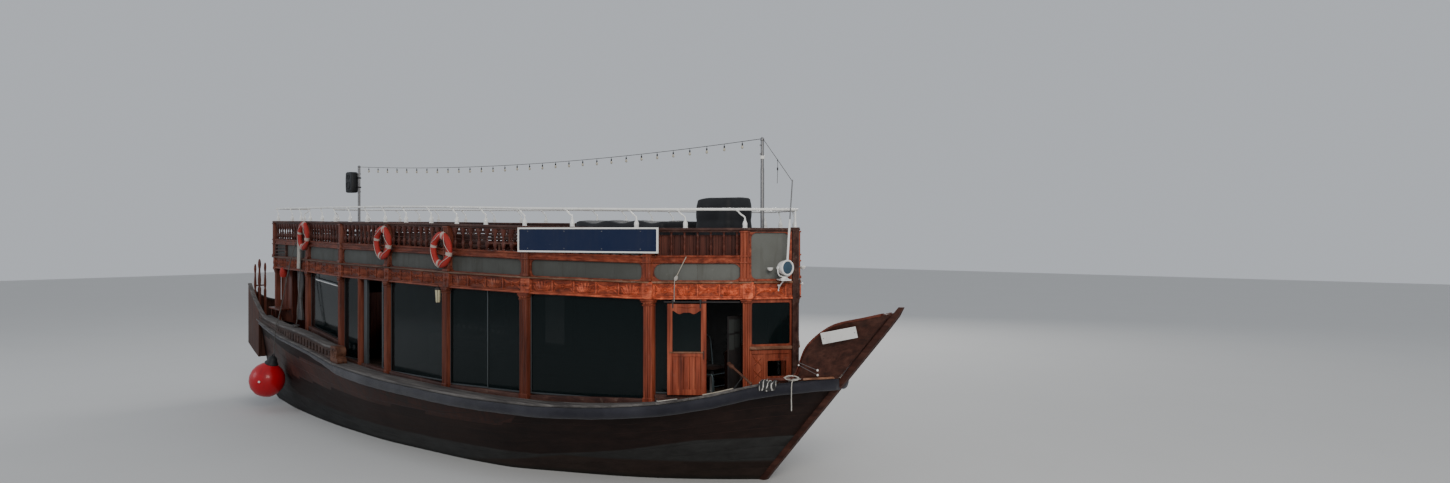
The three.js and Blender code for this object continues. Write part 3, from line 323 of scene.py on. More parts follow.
# -------------------------------------------------------------- materials
class Mat:
    def __init__(self, name):
        self.m = bpy.data.materials.new(name)
        self.m.use_nodes = True
        self.t = self.m.node_tree
        self.t.nodes.clear()
        self.out = self.n("ShaderNodeOutputMaterial")
        self.b = self.n("ShaderNodeBsdfPrincipled")
        self.t.links.new(self.b.outputs[0], self.out.inputs[0])
        self.co = self.n("ShaderNodeTexCoord").outputs["Object"]
        self.sep = None

    def n(self, kind, **kw):
        node = self.t.nodes.new(kind)
        for k, v in kw.items():
            setattr(node, k, v)
        return node

    def put(self, a, socket):
        if isinstance(a, bpy.types.NodeSocket):
            self.t.links.new(a, socket)
        else:
            socket.default_value = a
        return socket

    def mapped(self, stretch=(1, 1, 1), shift=(0, 0, 0), rot=(0, 0, 0)):
        mp = self.n("ShaderNodeMapping")
        self.t.links.new(self.co, mp.inputs[0])
        mp.inputs["Location"].default_value = shift
        mp.inputs["Rotation"].default_value = rot
        mp.inputs["Scale"].default_value = stretch
        return mp.outputs[0]

    def noise(self, scale, detail=4.0, rough=0.55, stretch=(1, 1, 1), shift=(0, 0, 0), dist=0.0):
        nd = self.n("ShaderNodeTexNoise")
        self.t.links.new(self.mapped(stretch, shift), nd.inputs["Vector"])
        nd.inputs["Scale"].default_value = scale
        nd.inputs["Detail"].default_value = detail
        nd.inputs["Roughness"].default_value = rough
        nd.inputs["Distortion"].default_value = dist
        return nd.outputs["Fac"]

    def voronoi(self, scale, stretch=(1, 1, 1), feature="F1", out="Distance"):
        nd = self.n("ShaderNodeTexVoronoi", feature=feature)
        self.t.links.new(self.mapped(stretch), nd.inputs["Vector"])
        nd.inputs["Scale"].default_value = scale
        return nd.outputs[out]

    def ramp(self, fac, stops, mode="LINEAR"):
        nd = self.n("ShaderNodeValToRGB")
        nd.color_ramp.interpolation = mode
        e = nd.color_ramp.elements
        while len(e) < len(stops):
            e.new(0.5)
        for k, (p, c) in enumerate(stops):
            e[k].position = p
            c = (c, c, c) if isinstance(c, (int, float)) else c
            e[k].color = (*c[:3], 1)
        self.put(fac, nd.inputs[0])
        return nd.outputs[0]

    def mix(self, fac, a, b, mode="MIX"):
        nd = self.n("ShaderNodeMix", data_type="RGBA", blend_type=mode)
        self.put(fac, nd.inputs[0])
        for v, i in ((a, 6), (b, 7)):
            self.put((*v, 1) if isinstance(v, tuple) and len(v) == 3 else v, nd.inputs[i])
        return nd.outputs[2]

    def math(self, op, a, b=0.0, c=0.0, clamp=False):
        nd = self.n("ShaderNodeMath", operation=op, use_clamp=clamp)
        self.put(a, nd.inputs[0])
        self.put(b, nd.inputs[1])
        if len(nd.inputs) > 2:
            self.put(c, nd.inputs[2])
        return nd.outputs[0]

    def rng(self, v, a, b, c=0.0, d=1.0, smooth_=False):
        nd = self.n("ShaderNodeMapRange", clamp=True)
        if smooth_:
            nd.interpolation_type = "SMOOTHSTEP"
        self.put(v, nd.inputs[0])
        for k, val in zip((1, 2, 3, 4), (a, b, c, d)):
            self.put(val, nd.inputs[k])
        return nd.outputs[0]

    def xyz(self, k):
        if self.sep is None:
            self.sep = self.n("ShaderNodeSeparateXYZ")
            self.t.links.new(self.co, self.sep.inputs[0])
        return self.sep.outputs[k]

    def cells(self, v):
        """a random value for each whole number of v"""
        wn = self.n("ShaderNodeTexWhiteNoise", noise_dimensions="1D")
        self.put(self.math("FLOOR", v), wn.inputs["W"])
        return wn.outputs["Value"]

    def bump(self, height, strength=0.3, distance=0.01, normal=None):
        nd = self.n("ShaderNodeBump")
        nd.inputs["Strength"].default_value = strength
        nd.inputs["Distance"].default_value = distance
        self.put(height, nd.inputs["Height"])
        if normal is not None:
            self.t.links.new(normal, nd.inputs["Normal"])
        return nd.outputs[0]

    def done(self, color, rough, normal=None, **sockets):
        self.put((*color, 1) if isinstance(color, tuple) and len(color) == 3 else color, self.b.inputs["Base Color"])
        self.put(rough, self.b.inputs["Roughness"])
        if normal is not None:
            self.t.links.new(normal, self.b.inputs["Normal"])
        for k, v in sockets.items():
            self.b.inputs[k.replace("_", " ")].default_value = v
        return self.m


AXES = {"X": (0.35, 6, 6), "Y": (6, 0.35, 6), "Z": (6, 6, 0.35)}


def wood(name, dark, mid, light, axis="X", scale=1.0, rough=(0.42, 0.62), coat=0.0, board=None, stain=0.5, worn=0.0,
         worn_color=(0.30, 0.24, 0.19), relief=0.35, streak=0.0, bleach=0.0, aft=1.0, aft_shade_x=(6.6, 1.0)):
    M = Mat(name)
    g1 = M.noise(1.6 * scale, 7, 0.62, AXES[axis], dist=0.25)
    g2 = M.noise(7.5 * scale, 5, 0.6, AXES[axis], (3, 7, 1))
    big = M.noise(0.9, 3, 0.5, shift=(5, 2, 8))
    col = M.ramp(g1, [(0.28, dark), (0.48, mid), (0.74, light)])
    fine = M.ramp(g2, [(0.32, 0.72), (0.62, 1.12)])
    col = M.mix(0.8, col, fine, "MULTIPLY")
    if board:
        k, width = board
        v = M.math("DIVIDE", M.xyz("XYZ".index(k)), width)
        tone = M.cells(v)
        col = M.mix(0.75, col, M.ramp(tone, [(0.0, 0.66), (1.0, 1.25)]), "MULTIPLY")
    dirty = M.ramp(big, [(0.35, 1.0), (0.68, 0.62)])
    col = M.mix(stain, col, dirty, "MULTIPLY")
    if streak:
        run = M.noise(5.0, 4, 0.6, (1.0, 1.0, 0.12), (1, 9, 4))
        col = M.mix(M.math("MULTIPLY", M.rng(run, 0.5, 0.72), streak), col, tuple(c * 0.45 for c in dark))
    if bleach:
        pale = M.noise(1.7, 6, 0.7, (0.4, 1, 1), (11, 3, 6))
        col = M.mix(M.math("MULTIPLY", M.rng(pale, 0.5, 0.8), bleach), col, worn_color)
    if worn:
        chips = M.noise(9.0, 8, 0.75, shift=(2, 4, 9))
        col = M.mix(M.math("MULTIPLY", M.rng(chips, 0.58, 0.66), worn), col, worn_color)
    if aft < 1.0:
        # painted shade: the colour is darkened towards the stern, and the bow end keeps its sunlit tone
        col = M.mix(M.rng(M.xyz(0), aft_shade_x[0], aft_shade_x[1], 0.0, 1.0, True), col, M.mix(1.0, col, (aft * 1.0, aft * 1.18, aft * 1.35), "MULTIPLY"))
    r = M.rng(g1, 0.2, 0.8, rough[0], rough[1])
    h = M.math("ADD", M.math("MULTIPLY", g1, 0.6), M.math("MULTIPLY", g2, 0.5))
    if board:
        fr = M.math("FRACT", v)
        edge = M.math("MINIMUM", fr, M.math("SUBTRACT", 1.0, fr))
        gap = M.rng(edge, 0.0, 0.035)
        col = M.mix(M.math("SUBTRACT", 1.0, gap), col, (0.012, 0.008, 0.006))
        h = M.math("ADD", h, M.math("MULTIPLY", gap, 2.0))
    return M.done(col, r, M.bump(h, relief, 0.004), Coat_Weight=coat * 0.4, Coat_Roughness=0.25, Specular_IOR_Level=0.22)


def painted(name, color, dirt=(0.25, 0.22, 0.18), rough=(0.35, 0.6), metal=0.0, chips=0.25, chip_color=(0.16, 0.12, 0.10), coat=0.0, grime=0.6, aft=1.0, spec=0.35):
    M = Mat(name)
    n1 = M.noise(2.2, 5, 0.6)
    n2 = M.noise(14.0, 8, 0.7, shift=(3, 1, 7))
    run = M.noise(6.0, 4, 0.6, (1, 1, 0.15), (8, 8, 1))
    col = M.mix(M.rng(n1, 0.35, 0.75, 0.0, 0.35 * grime), color, dirt)
    col = M.mix(M.rng(run, 0.52, 0.75, 0.0, 0.7 * grime), col, dirt)
    col = M.mix(M.math("MULTIPLY", M.rng(n2, 0.62, 0.68), chips), col, chip_color)
    # painted shade: aft of x 6.9 the colour is darkened by the aft factor, fully by x 5.2, and the bow end keeps its
    # lit tone
    if aft < 1.0:
        col = M.mix(M.rng(M.xyz(0), 6.9, 5.2, 0.0, 1.0, True), col, M.mix(1.0, col, (aft, aft, aft), "MULTIPLY"))
    h = M.math("ADD", M.math("MULTIPLY", n2, 0.4), M.math("MULTIPLY", n1, 0.5))
    return M.done(col, M.rng(n1, 0.2, 0.8, rough[0], rough[1]), M.bump(h, 0.15, 0.004), Metallic=metal, Coat_Weight=coat, Specular_IOR_Level=spec)


def cloth(name, base, light, rough=0.8, weave=260.0, fold=0.5, sheen=0.2, fade=0.5):
    M = Mat(name)
    wave = M.n("ShaderNodeTexWave", wave_type="BANDS", bands_direction="X")
    M.t.links.new(M.mapped((1, 1, 1)), wave.inputs["Vector"])
    wave.inputs["Scale"].default_value = weave
    wave2 = M.n("ShaderNodeTexWave", wave_type="BANDS", bands_direction="Z")
    M.t.links.new(M.mapped((1, 1, 1)), wave2.inputs["Vector"])
    wave2.inputs["Scale"].default_value = weave
    w = M.math("MULTIPLY", wave.outputs["Fac"], wave2.outputs["Fac"])
    n1 = M.noise(1.8, 5, 0.6)
    n2 = M.noise(11.0, 6, 0.65, shift=(4, 4, 1))
    col = M.mix(M.rng(n1, 0.4, 0.75, 0.0, fade), base, light)
    col = M.mix(0.5, col, M.ramp(n2, [(0.3, 0.65), (0.7, 1.2)]), "MULTIPLY")
    h = M.math("ADD", M.math("MULTIPLY", w, 0.25), M.math("MULTIPLY", n2, fold))
    return M.done(col, M.rng(n2, 0.3, 0.7, rough - 0.1, rough + 0.1), M.bump(h, 0.35, 0.006), Sheen_Weight=sheen, Specular_IOR_Level=0.25)


# colours, linear
C_TEAK = ((0.036, 0.0088, 0.0055), (0.105, 0.025, 0.0145), (0.21, 0.060, 0.036))
C_TEAK_LIT = ((0.085, 0.0165, 0.0085), (0.27, 0.053, 0.0245), (0.52, 0.135, 0.066))
C_DARK = ((0.014, 0.0055, 0.0040), (0.040, 0.0140, 0.0095), (0.08, 0.031, 0.021))
C_RED = ((0.040, 0.0100, 0.0065), (0.098, 0.025, 0.0155), (0.175, 0.052, 0.034))

# the aft factors below darken each wood towards the stern as painted shade
m_post = wood("varnished_post", *C_TEAK_LIT, axis="Z", rough=(0.34, 0.55), coat=0.2, stain=0.55, worn=0.15, streak=0.3, aft=0.46, aft_shade_x=(6.6, 3.7))
m_teak = wood("teak_rail", *C_TEAK, axis="X", rough=(0.4, 0.6), coat=0.12, stain=0.5, worn=0.2, aft=0.7)
# carved relief: the frieze teak painted about twice as light, as painted highlight on the relief against the board
# behind it
m_carve_highlit = wood("teak_carved_highlit", *[tuple(v * k for v, k in zip(c, (2.3, 2.2, 2.05))) for c in C_TEAK_LIT], axis="X", scale=1.6, rough=(0.42, 0.62), coat=0.1, stain=0.8, streak=0.45, worn=0.1, aft=0.31, aft_shade_x=(7.2, 1.4))
m_spindle = wood("turned_teak", *C_RED, axis="Z", rough=(0.4, 0.62), coat=0.1, stain=0.4, worn=0.35, worn_color=(0.24, 0.15, 0.11), aft=0.8)
m_board = wood("teak_boards", *C_RED, axis="Z", rough=(0.45, 0.65), stain=0.5, board=("X", 0.12), streak=0.4)
m_inner = wood("saloon_boards", *C_DARK, axis="Z", rough=(0.45, 0.65), stain=0.4, board=("Y", 0.14))
m_frieze = wood("frieze_board", *[tuple(v * k for v, k in zip(c, (1.15, 1.0, 0.9))) for c in C_TEAK_LIT], axis="X", scale=1.6, rough=(0.45, 0.65), coat=0.1, stain=0.8, streak=0.45, worn=0.1, aft=0.36, aft_shade_x=(7.2, 1.4))
m_railing = wood("varnished_rail", *C_TEAK_LIT, axis="X", scale=1.6, rough=(0.42, 0.62), coat=0.1, stain=0.8, streak=0.45, worn=0.1, aft=0.52)
m_scroll = wood("scroll_teak", (0.040, 0.0165, 0.010), (0.108, 0.043, 0.025), (0.19, 0.088, 0.054), axis="X", rough=(0.5, 0.7), stain=0.6, worn=0.3, worn_color=(0.22, 0.15, 0.10))
m_door = wood("door_teak", *C_TEAK_LIT, axis="Z", rough=(0.34, 0.55), coat=0.15, stain=0.65, streak=0.45, worn=0.12, aft=0.40)
m_worn = wood("worn_capping", (0.040, 0.036, 0.036), (0.10, 0.092, 0.088), (0.21, 0.195, 0.185), axis="X", scale=1.3, rough=(0.65, 0.85), stain=0.6, bleach=0.35, worn_color=(0.30, 0.28, 0.26))
m_quarter = wood("quarter_boards", (0.018, 0.010, 0.008), (0.048, 0.026, 0.021), (0.10, 0.060, 0.048), axis="X", rough=(0.5, 0.75), stain=0.6, streak=0.4, bleach=0.4, worn_color=(0.14, 0.115, 0.10))
m_wing = wood("stern_boards", (0.026, 0.0105, 0.007), (0.066, 0.026, 0.017), (0.12, 0.055, 0.038), axis="Z", rough=(0.5, 0.75), stain=0.6, streak=0.5, bleach=0.25, worn_color=(0.15, 0.11, 0.09))
m_deck = wood("deck_planks", (0.07, 0.042, 0.026), (0.15, 0.098, 0.062), (0.24, 0.17, 0.12), axis="X", rough=(0.6, 0.8), stain=0.6, board=("Y", 0.11), bleach=0.3, worn_color=(0.25, 0.21, 0.17))
m_bench = wood("bench_slats", *C_TEAK, axis="X", rough=(0.45, 0.7), stain=0.5, bleach=0.3)
# the grey panels are darkened aft of the bow as painted shade
m_grey = painted("panel_grey", (0.140, 0.146, 0.134), dirt=(0.075, 0.070, 0.055), rough=(0.55, 0.78), chips=0.4, chip_color=(0.20, 0.20, 0.18), grime=0.9, aft=0.52, spec=0.2)
m_white = painted("white_paint", (0.86, 0.86, 0.83), rough=(0.25, 0.45), chips=0.15, chip_color=(0.35, 0.28, 0.22), coat=0.2, grime=0.35)
m_plate = painted("plate_white", (0.72, 0.72, 0.70), rough=(0.25, 0.4), chips=0.1, grime=0.35)
m_navy = painted("sign_navy", (0.006, 0.014, 0.050), dirt=(0.03, 0.034, 0.05), rough=(0.25, 0.45), chips=0.12, chip_color=(0.14, 0.16, 0.22), grime=0.4, spec=0.25)
m_steel = painted("galvanised", (0.23, 0.23, 0.235), dirt=(0.10, 0.07, 0.05), rough=(0.35, 0.6), metal=0.7, chips=0.4, chip_color=(0.12, 0.06, 0.035))
m_alu = painted("window_steel", (0.075, 0.085, 0.090), dirt=(0.05, 0.045, 0.04), rough=(0.35, 0.55), metal=0.5, chips=0.1)
m_iron = painted("dark_iron", (0.035, 0.033, 0.035), dirt=(0.09, 0.06, 0.045), rough=(0.4, 0.65), metal=0.4)
m_bronze = painted("bronze", (0.30, 0.19, 0.08), dirt=(0.06, 0.10, 0.07), rough=(0.3, 0.55), metal=1.0, chips=0.3, chip_color=(0.10, 0.16, 0.11))
m_orange = painted("buoy_orange", (0.37, 0.026, 0.020), dirt=(0.20, 0.040, 0.032), rough=(0.5, 0.7), chips=0.30, chip_color=(0.55, 0.24, 0.18), grime=0.9, spec=0.2)
m_bandw = painted("buoy_band", (0.42, 0.33, 0.29), rough=(0.5, 0.7), chips=0.3, chip_color=(0.4, 0.2, 0.16))
m_red = painted("fender_red", (0.46, 0.0045, 0.012), dirt=(0.20, 0.006, 0.011), rough=(0.30, 0.48), chips=0.08, chip_color=(0.60, 0.10, 0.10), coat=0.15, grime=0.6, spec=0.3)
m_black = painted("moulded_black", (0.014, 0.015, 0.017), dirt=(0.05, 0.048, 0.045), rough=(0.45, 0.7), chips=0.15, chip_color=(0.06, 0.06, 0.06))
m_cover = cloth("fender_cover", (0.0095, 0.0095, 0.0165), (0.038, 0.038, 0.050), rough=0.66, fold=1.0, fade=0.7, weave=180)
m_tarp = cloth("tarpaulin", (0.010, 0.011, 0.014), (0.035, 0.036, 0.040), rough=0.62, fold=0.5, weave=220, sheen=0.1)
m_rope = cloth("rope", (0.42, 0.40, 0.36), (0.62, 0.60, 0.55), rough=0.85, weave=420)
m_drope = cloth("dark_rope", (0.06, 0.055, 0.05), (0.16, 0.15, 0.14), rough=0.85, weave=420)
m_cushion = cloth("seat_leather", (0.040, 0.022, 0.018), (0.085, 0.050, 0.040), rough=0.5, weave=60, fold=0.3, sheen=0.05)
m_awning = cloth("clear_curtain", (0.075, 0.075, 0.078), (0.22, 0.21, 0.20), rough=0.45, weave=90, fade=0.8)


def hull_material():
    """brown topsides with long boards, a pale band near the water that tapers to a point, darker brown below it"""
    M = Mat("hull_paint")
    x, z = M.xyz(0), M.xyz(2)
    g1 = M.noise(1.5, 7, 0.6, (0.3, 3, 5), dist=0.2)
    g2 = M.noise(8.0, 6, 0.65, (0.3, 4, 6), (2, 5, 3))
    big = M.noise(0.55, 4, 0.55, shift=(7, 3, 1))
    run = M.noise(3.2, 5, 0.6, (1.0, 1.0, 0.16), (2, 2, 5))
    col = M.ramp(g1, [(0.25, (0.0085, 0.0052, 0.0048)), (0.5, (0.018, 0.0105, 0.0090)), (0.78, (0.034, 0.0195, 0.0160))])
    col = M.mix(0.7, col, M.ramp(g2, [(0.3, 0.72), (0.66, 1.18)]), "MULTIPLY")
    col = M.mix(M.rng(big, 0.42, 0.72, 0.0, 0.5), col, (0.034, 0.019, 0.015))
    # the after half is redder and lighter than the bow
    col = M.mix(M.rng(x, 0.5, -6.5, 0.0, 0.50, True), col, (0.036, 0.0135, 0.0090))
    col = M.mix(M.rng(run, 0.5, 0.8, 0.0, 0.5), col, (0.008, 0.006, 0.006))
    # paint line: height over the length
    line = M.ramp(M.rng(x, -9.0, 9.0), [(0.0, 0.60), (0.14, 0.47), (0.44, 0.37), (0.70, 0.375), (0.80, 0.62), (0.86, 0.84), (1.0, 1.0)])
    wob = M.math("MULTIPLY", M.math("SUBTRACT", M.noise(1.2, 4, 0.6, (1, 0.5, 1)), 0.5), 0.05)
    below = M.rng(M.math("SUBTRACT", M.math("ADD", line, wob), z), -0.012, 0.012)
    low = M.ramp(M.rng(x, 1.2, 4.0), [(0.0, 0.0), (0.35, 0.10), (0.7, 0.24), (1.0, 0.39)])
    pale = M.math("MULTIPLY", below, M.rng(M.math("SUBTRACT", z, low), -0.02, 0.03))
    grime = M.noise(2.4, 7, 0.7, (0.6, 1, 1.6), (4, 1, 1))
    band = M.mix(M.rng(grime, 0.35, 0.75), (0.040, 0.040, 0.039), (0.018, 0.017, 0.016))
    brown = M.mix(M.rng(grime, 0.4, 0.7), (0.022, 0.014, 0.0115), (0.040, 0.026, 0.021))
    col = M.mix(below, col, brown)
    col = M.mix(pale, col, band)
    # darker towards the waterline
    near_waterline = M.rng(z, 0.10, 0.02)
    col = M.mix(M.math("MULTIPLY", near_waterline, 0.75), col, (0.010, 0.012, 0.010))
    # painted shade: the hull colour darkens to about a third from amidships to x -5
    col = M.mix(M.rng(x, 0.0, -5.0, 0.0, 1.0, True), col, M.mix(1.0, col, (0.34, 0.35, 0.37), "MULTIPLY"))
    h = M.math("ADD", M.math("MULTIPLY", g1, 0.6), M.math("MULTIPLY", g2, 0.45))
    r = M.rng(g1, 0.2, 0.8, 0.48, 0.66)
    return M.done(col, r, M.bump(h, 0.30, 0.006), Coat_Weight=0.0, Coat_Roughness=0.35, Specular_IOR_Level=0.13)


def bottom_material():
    M = Mat("bottom_paint")
    n1 = M.noise(1.4, 5, 0.6)
    n2 = M.noise(16.0, 8, 0.7, shift=(1, 1, 5))
    col = M.ramp(n1, [(0.3, (0.055, 0.045, 0.038)), (0.55, (0.085, 0.075, 0.062)), (0.8, (0.13, 0.12, 0.10))])
    col = M.mix(M.rng(n2, 0.58, 0.7, 0.0, 0.6), col, (0.05, 0.065, 0.04))
    return M.done(col, M.rng(n2, 0.3, 0.7, 0.7, 0.9), M.bump(n2, 0.4, 0.006))


def glass_material(name="tinted_glass", alpha=0.90, tint=(0.0040, 0.0080, 0.0086)):
    M = Mat(name)
    n1 = M.noise(1.1, 4, 0.6)
    n2 = M.noise(20.0, 6, 0.7, shift=(4, 4, 4))
    run = M.noise(4.0, 4, 0.6, (1, 1, 0.1), (3, 8, 2))
    col = M.mix(M.rng(run, 0.55, 0.8, 0.0, 0.25), tint, (0.014, 0.022, 0.023))
    r = M.math("ADD", M.rng(n1, 0.3, 0.7, 0.05, 0.12), M.rng(n2, 0.55, 0.75, 0.0, 0.08))
    wav = M.noise(0.8, 2, 0.4, shift=(1, 6, 2))
    return M.done(col, r, M.bump(wav, 0.04, 0.05), Alpha=alpha, Specular_IOR_Level=0.19)


m_hull, m_bottom, m_glass = hull_material(), bottom_material(), glass_material()
m_lens = glass_material("lamp_lens", 1.0, (0.05, 0.09, 0.13))
m_frost = glass_material("frosted_pane", 0.9, (0.10, 0.12, 0.11))
m_bulb = painted("bulb", (0.50, 0.46, 0.36), rough=(0.1, 0.2), chips=0.0, grime=0.2)
m_cream = painted("lantern_cream", (0.50, 0.46, 0.30), dirt=(0.20, 0.15, 0.08), rough=(0.4, 0.6))

m_prow = wood("prow_boards", (0.022, 0.0075, 0.0050), (0.055, 0.0180, 0.0115), (0.105, 0.040, 0.027), axis="X", rough=(0.45, 0.65), stain=0.55, streak=0.35, bleach=0.2, worn_color=(0.12, 0.075, 0.058))


def paint(node, *mats):
    o = NODE[node]
    o.data.materials.clear()
    for mt in mats:
        o.data.materials.append(mt)
    return o


def applied(o, cutters, op="DIFFERENCE"):
    """boolean with helper objects, applied to the mesh; the helpers are removed"""
    for c in cutters:
        md = o.modifiers.new("cut", "BOOLEAN")
        md.operation, md.solver, md.object = op, "EXACT", c
    dg = bpy.context.evaluated_depsgraph_get()
    me = bpy.data.meshes.new_from_object(o.evaluated_get(dg))
    o.modifiers.clear()
    old = o.data
    o.data = me
    bpy.data.meshes.remove(old)
    for c in cutters:
        cm = c.data
        bpy.data.objects.remove(c)
        bpy.data.meshes.remove(cm)
    return o


def helper(name, g, mats=()):
    me = bpy.data.meshes.new(name)
    me.from_pydata(g.v, [], g.f)
    for mt in mats:
        me.materials.append(mt)
    bm = bmesh.new()
    bm.from_mesh(me)
    bmesh.ops.recalc_face_normals(bm, faces=bm.faces)
    bm.to_mesh(me)
    bm.free()
    o = bpy.data.objects.new(name, me)
    bpy.context.collection.objects.link(o)
    return o


# -------------------------------------------------------------------- hull
def hull_sections():
    end = lambda z: stem_x(z) - STEM_DEPTH
    top, wat, bil = smooth(TOPSIDE), smooth(WATER), smooth(BILGE)
    bz, kz = smooth(BILGE_Z), smooth(BOTTOM_Z)
    levels = [(end(0.75), lambda x, u: top(x), lambda x: 0.75), (end(0), lambda x, u: wat(x), lambda x: 0.0),
              (end(-0.75), lambda x, u: bil(x), bz), (end(-1.25), lambda x, u: 0.1 * (1 - 0.3 * u), kz)]
    last = RAIL[-1][0]

    def section(r):
        u = (r - TRANSOM_X) / (last - TRANSOM_X)
        P = [Vector((r, rail_y(r), rail_z(r)))]
        for e, yf, zf in levels:
            x = TRANSOM_X + u * (e - TRANSOM_X)
            P.append(Vector((x, yf(x, u), zf(x))))
        Q = [P[0] * 2 - P[1]] + P + [P[-1] * 2 - P[-2]]
        cum = [0.0]
        for a, b in zip(P, P[1:]):
            cum.append(cum[-1] + (b - a).length)

        def at(w):
            L = w * cum[-1]
            i = 0
            while i < len(P) - 2 and L > cum[i + 1]:
                i += 1
            t = (L - cum[i]) / max(1e-9, cum[i + 1] - cum[i])
            p0, p1, p2, p3 = Q[i], Q[i + 1], Q[i + 2], Q[i + 3]
            return 0.5 * ((2 * p1) + (p2 - p0) * t + (2 * p0 - 5 * p1 + 4 * p2 - p3) * t * t + (3 * p1 - p0 - 3 * p2 + p3) * t ** 3)
        return at, cum[-1]
    return section


SECTION = hull_sections()


def build_hull():
    n_str = 15
    ws = []
    eps = 0.0011
    for k in range(n_str + 1):
        w = k / n_str
        if 0 < k < n_str:
            ws += [(w - eps, 0), (w, 1), (w + eps, 0)]
        elif k == 0:
            ws += [(0, 0)]
        else:
            ws += [(1, 0)]
        if k < n_str:
            ws += [(w + 0.35 / n_str, 0), (w + 0.7 / n_str, 0)]
    g = Geo()
    rings = []
    last = RAIL[-1][0]
    stations = 104
    for i in range(stations + 1):
        r = TRANSOM_X + (last - TRANSOM_X) * i / stations
        at, L = SECTION(r)
        half = []
        for w, groove in ws:
            p = at(w)
            if groove:
                a, b = at(max(w - 0.004, 0)), at(min(w + 0.004, 1))
                t = (b - a).normalized()
                nrm = Vector((0, t.z, -t.y))
                if nrm.y > 0 and p.y > 0.3:
                    nrm = -nrm
                p = p + nrm * 0.0045 if p.y > 0.12 else p
            half.append(p)
        half[-1] = Vector((half[-1].x, half[-1].y, half[-1].z))
        ring = [tuple(p) for p in half] + [(p.x, -p.y, p.z) for p in reversed(half)]
        rings.append(ring)
    g.loft(rings, 0)
    o = helper("hull_skin", g, [m_hull, m_deck, m_inner])
    cuts = []
    for k, (plan, z) in enumerate(((SALOON, SALOON_FLOOR), (HELM, HELM_FLOOR), (FORE, FORE_DECK))):
        c = Geo()
        ring = [(x, y) for x, y in plan] + [(x, -y) for x, y in reversed(plan)]
        c.loft([[(x, y, z) for x, y in ring], [(x, y, 6.0) for x, y in ring]])
        cuts.append(helper(f"cut{k}", c, [m_hull]))
    applied(o, cuts)
    me = o.data
    while len(me.materials) > 3:
        me.materials.pop()
    for p in me.polygons:
        c, nz = p.center, p.normal.z
        half = rail_y(c.x) - 0.06
        inside = abs(c.y) < half and c.z > 0.94 and c.x > -8.6
        if nz > 0.85 and c.z > 0.9:
            p.material_index = 1
        elif inside and abs(nz) < 0.5 and c.x < 8.6:
            p.material_index = 2
        else:
            p.material_index = 0
        p.use_smooth = True
    me.set_sharp_from_angle(angle=math.radians(30))
    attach(o, "hull")
    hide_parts("hull")
    return o


build_hull()
paint("keel", m_bottom)
paint("rudder", m_bottom)
paint("rudder_ring", m_bronze)
paint("propeller", m_bronze)


def along(x0, x1, step=0.25):
    n = max(1, round((x1 - x0) / step))
    return [x0 + (x1 - x0) * i / n for i in range(n + 1)]


def wob(p, f, amp, seed=0.0):
    return noise.noise(Vector((p[0] * f + seed, p[1] * f, p[2] * f))) * amp


# rub rail under its cover, tapering at the stern
band_h = smooth([(-8.8, 0.075), (-6.7, 0.085), (-4.7, 0.10), (-3.5, 0.13), (-2.5, 0.195), (8.5, 0.20)])
band_top = smooth([(-8.8, 2.115), (-7.55, 1.985), (-6.73, 1.905), (-4.74, 1.775), (-3.56, 1.665), (-2.75, 1.575), (-2.3, 1.546), (-0.4, 1.48),
                   (1.9, 1.43), (3.95, 1.41), (5.0, 1.44), (6.26, 1.55), (7.06, 1.70), (7.96, 1.94), (8.54, 2.02)])
for s, nm in ((1, "port"), (-1, "starboard")):
    g = Geo()
    rings = []
    for i, x in enumerate(along(-8.78, 8.74, 0.09)):
        y, z, h = rail_y(x), band_top(x), band_h(x)
        out = 0.085 if x > -2.6 else 0.06
        prof = [(-0.08, 0.0), (-0.08, -h), (0.015, -h - 0.004), (out * 0.72, -h * 0.93), (out, -h * 0.72), (out + 0.006, -h * 0.45), (out, -h * 0.2), (out * 0.7, -0.012), (out * 0.3, 0.002)]
        ring = []
        for k, (a, b) in enumerate(prof):
            q = (x, y + a, z + b)
            amp = 0.010 if k > 1 else 0
            tie = 0.004 * math.sin(x * 9.0 + 1.3 * math.sin(x * 2.1)) if 2 < k < 8 else 0
            ring.append((x, (y + a + wob(q, 3.1, amp, s * 5) + tie) * s, z + b + wob(q, 4.0, amp * 0.6, 9 + s)))
        rings.append(ring)
    g.loft(rings)
    shown(f"rub_rail_cover_{nm}", g, m_cover, angle=60, hide=[f"rub_rail_{nm}"])

    # pale worn strip over the band along the quarter
    g = Geo()
    rings = []
    for x in along(-9.0, -2.86, 0.15):
        xx = max(x, -8.8)
        y = rail_y(xx) - (xx - x) * -0.24 * -1 if x < -8.8 else rail_y(x)
        z = band_top(max(x, -8.8)) + (0.03 * (-8.8 - x) / 0.2 if x < -8.8 else 0)
        rings.append([(x, (y + a) * s, z + b) for a, b in rrect(-0.05, 0.072, -0.002, 0.036, 0.014)])
    g.loft(rings)
    shown(f"quarter_moulding_{nm}", g, m_worn, angle=50)

    # capping board: worn planks butted end to end
    g = Geo()
    inset = smooth([(-3.2, 0.36), (5.6, 0.32), (6.6, 0.14), (8.0, 0.12)])
    joints = [-2.95, -0.9, 1.55, 3.9, 5.6, 6.85, 7.93]
    for a, b in zip(joints, joints[1:]):
        rings = []
        for x in along(a + 0.004, b - 0.004, 0.2):
            y, z = rail_y(x), rail_z(x)
            yi = max(y - inset(x), side_half(x) + 0.015) if x < 7.4 else y - inset(x)
            rings.append([(x, c * s, z + h) for c, h in rrect(yi, y + 0.055, 0.002, 0.047, 0.012)])
        g.loft(rings)
    shown(f"capping_boards_{nm}", g, m_worn, angle=50, hide=[f"capping_{nm}"])

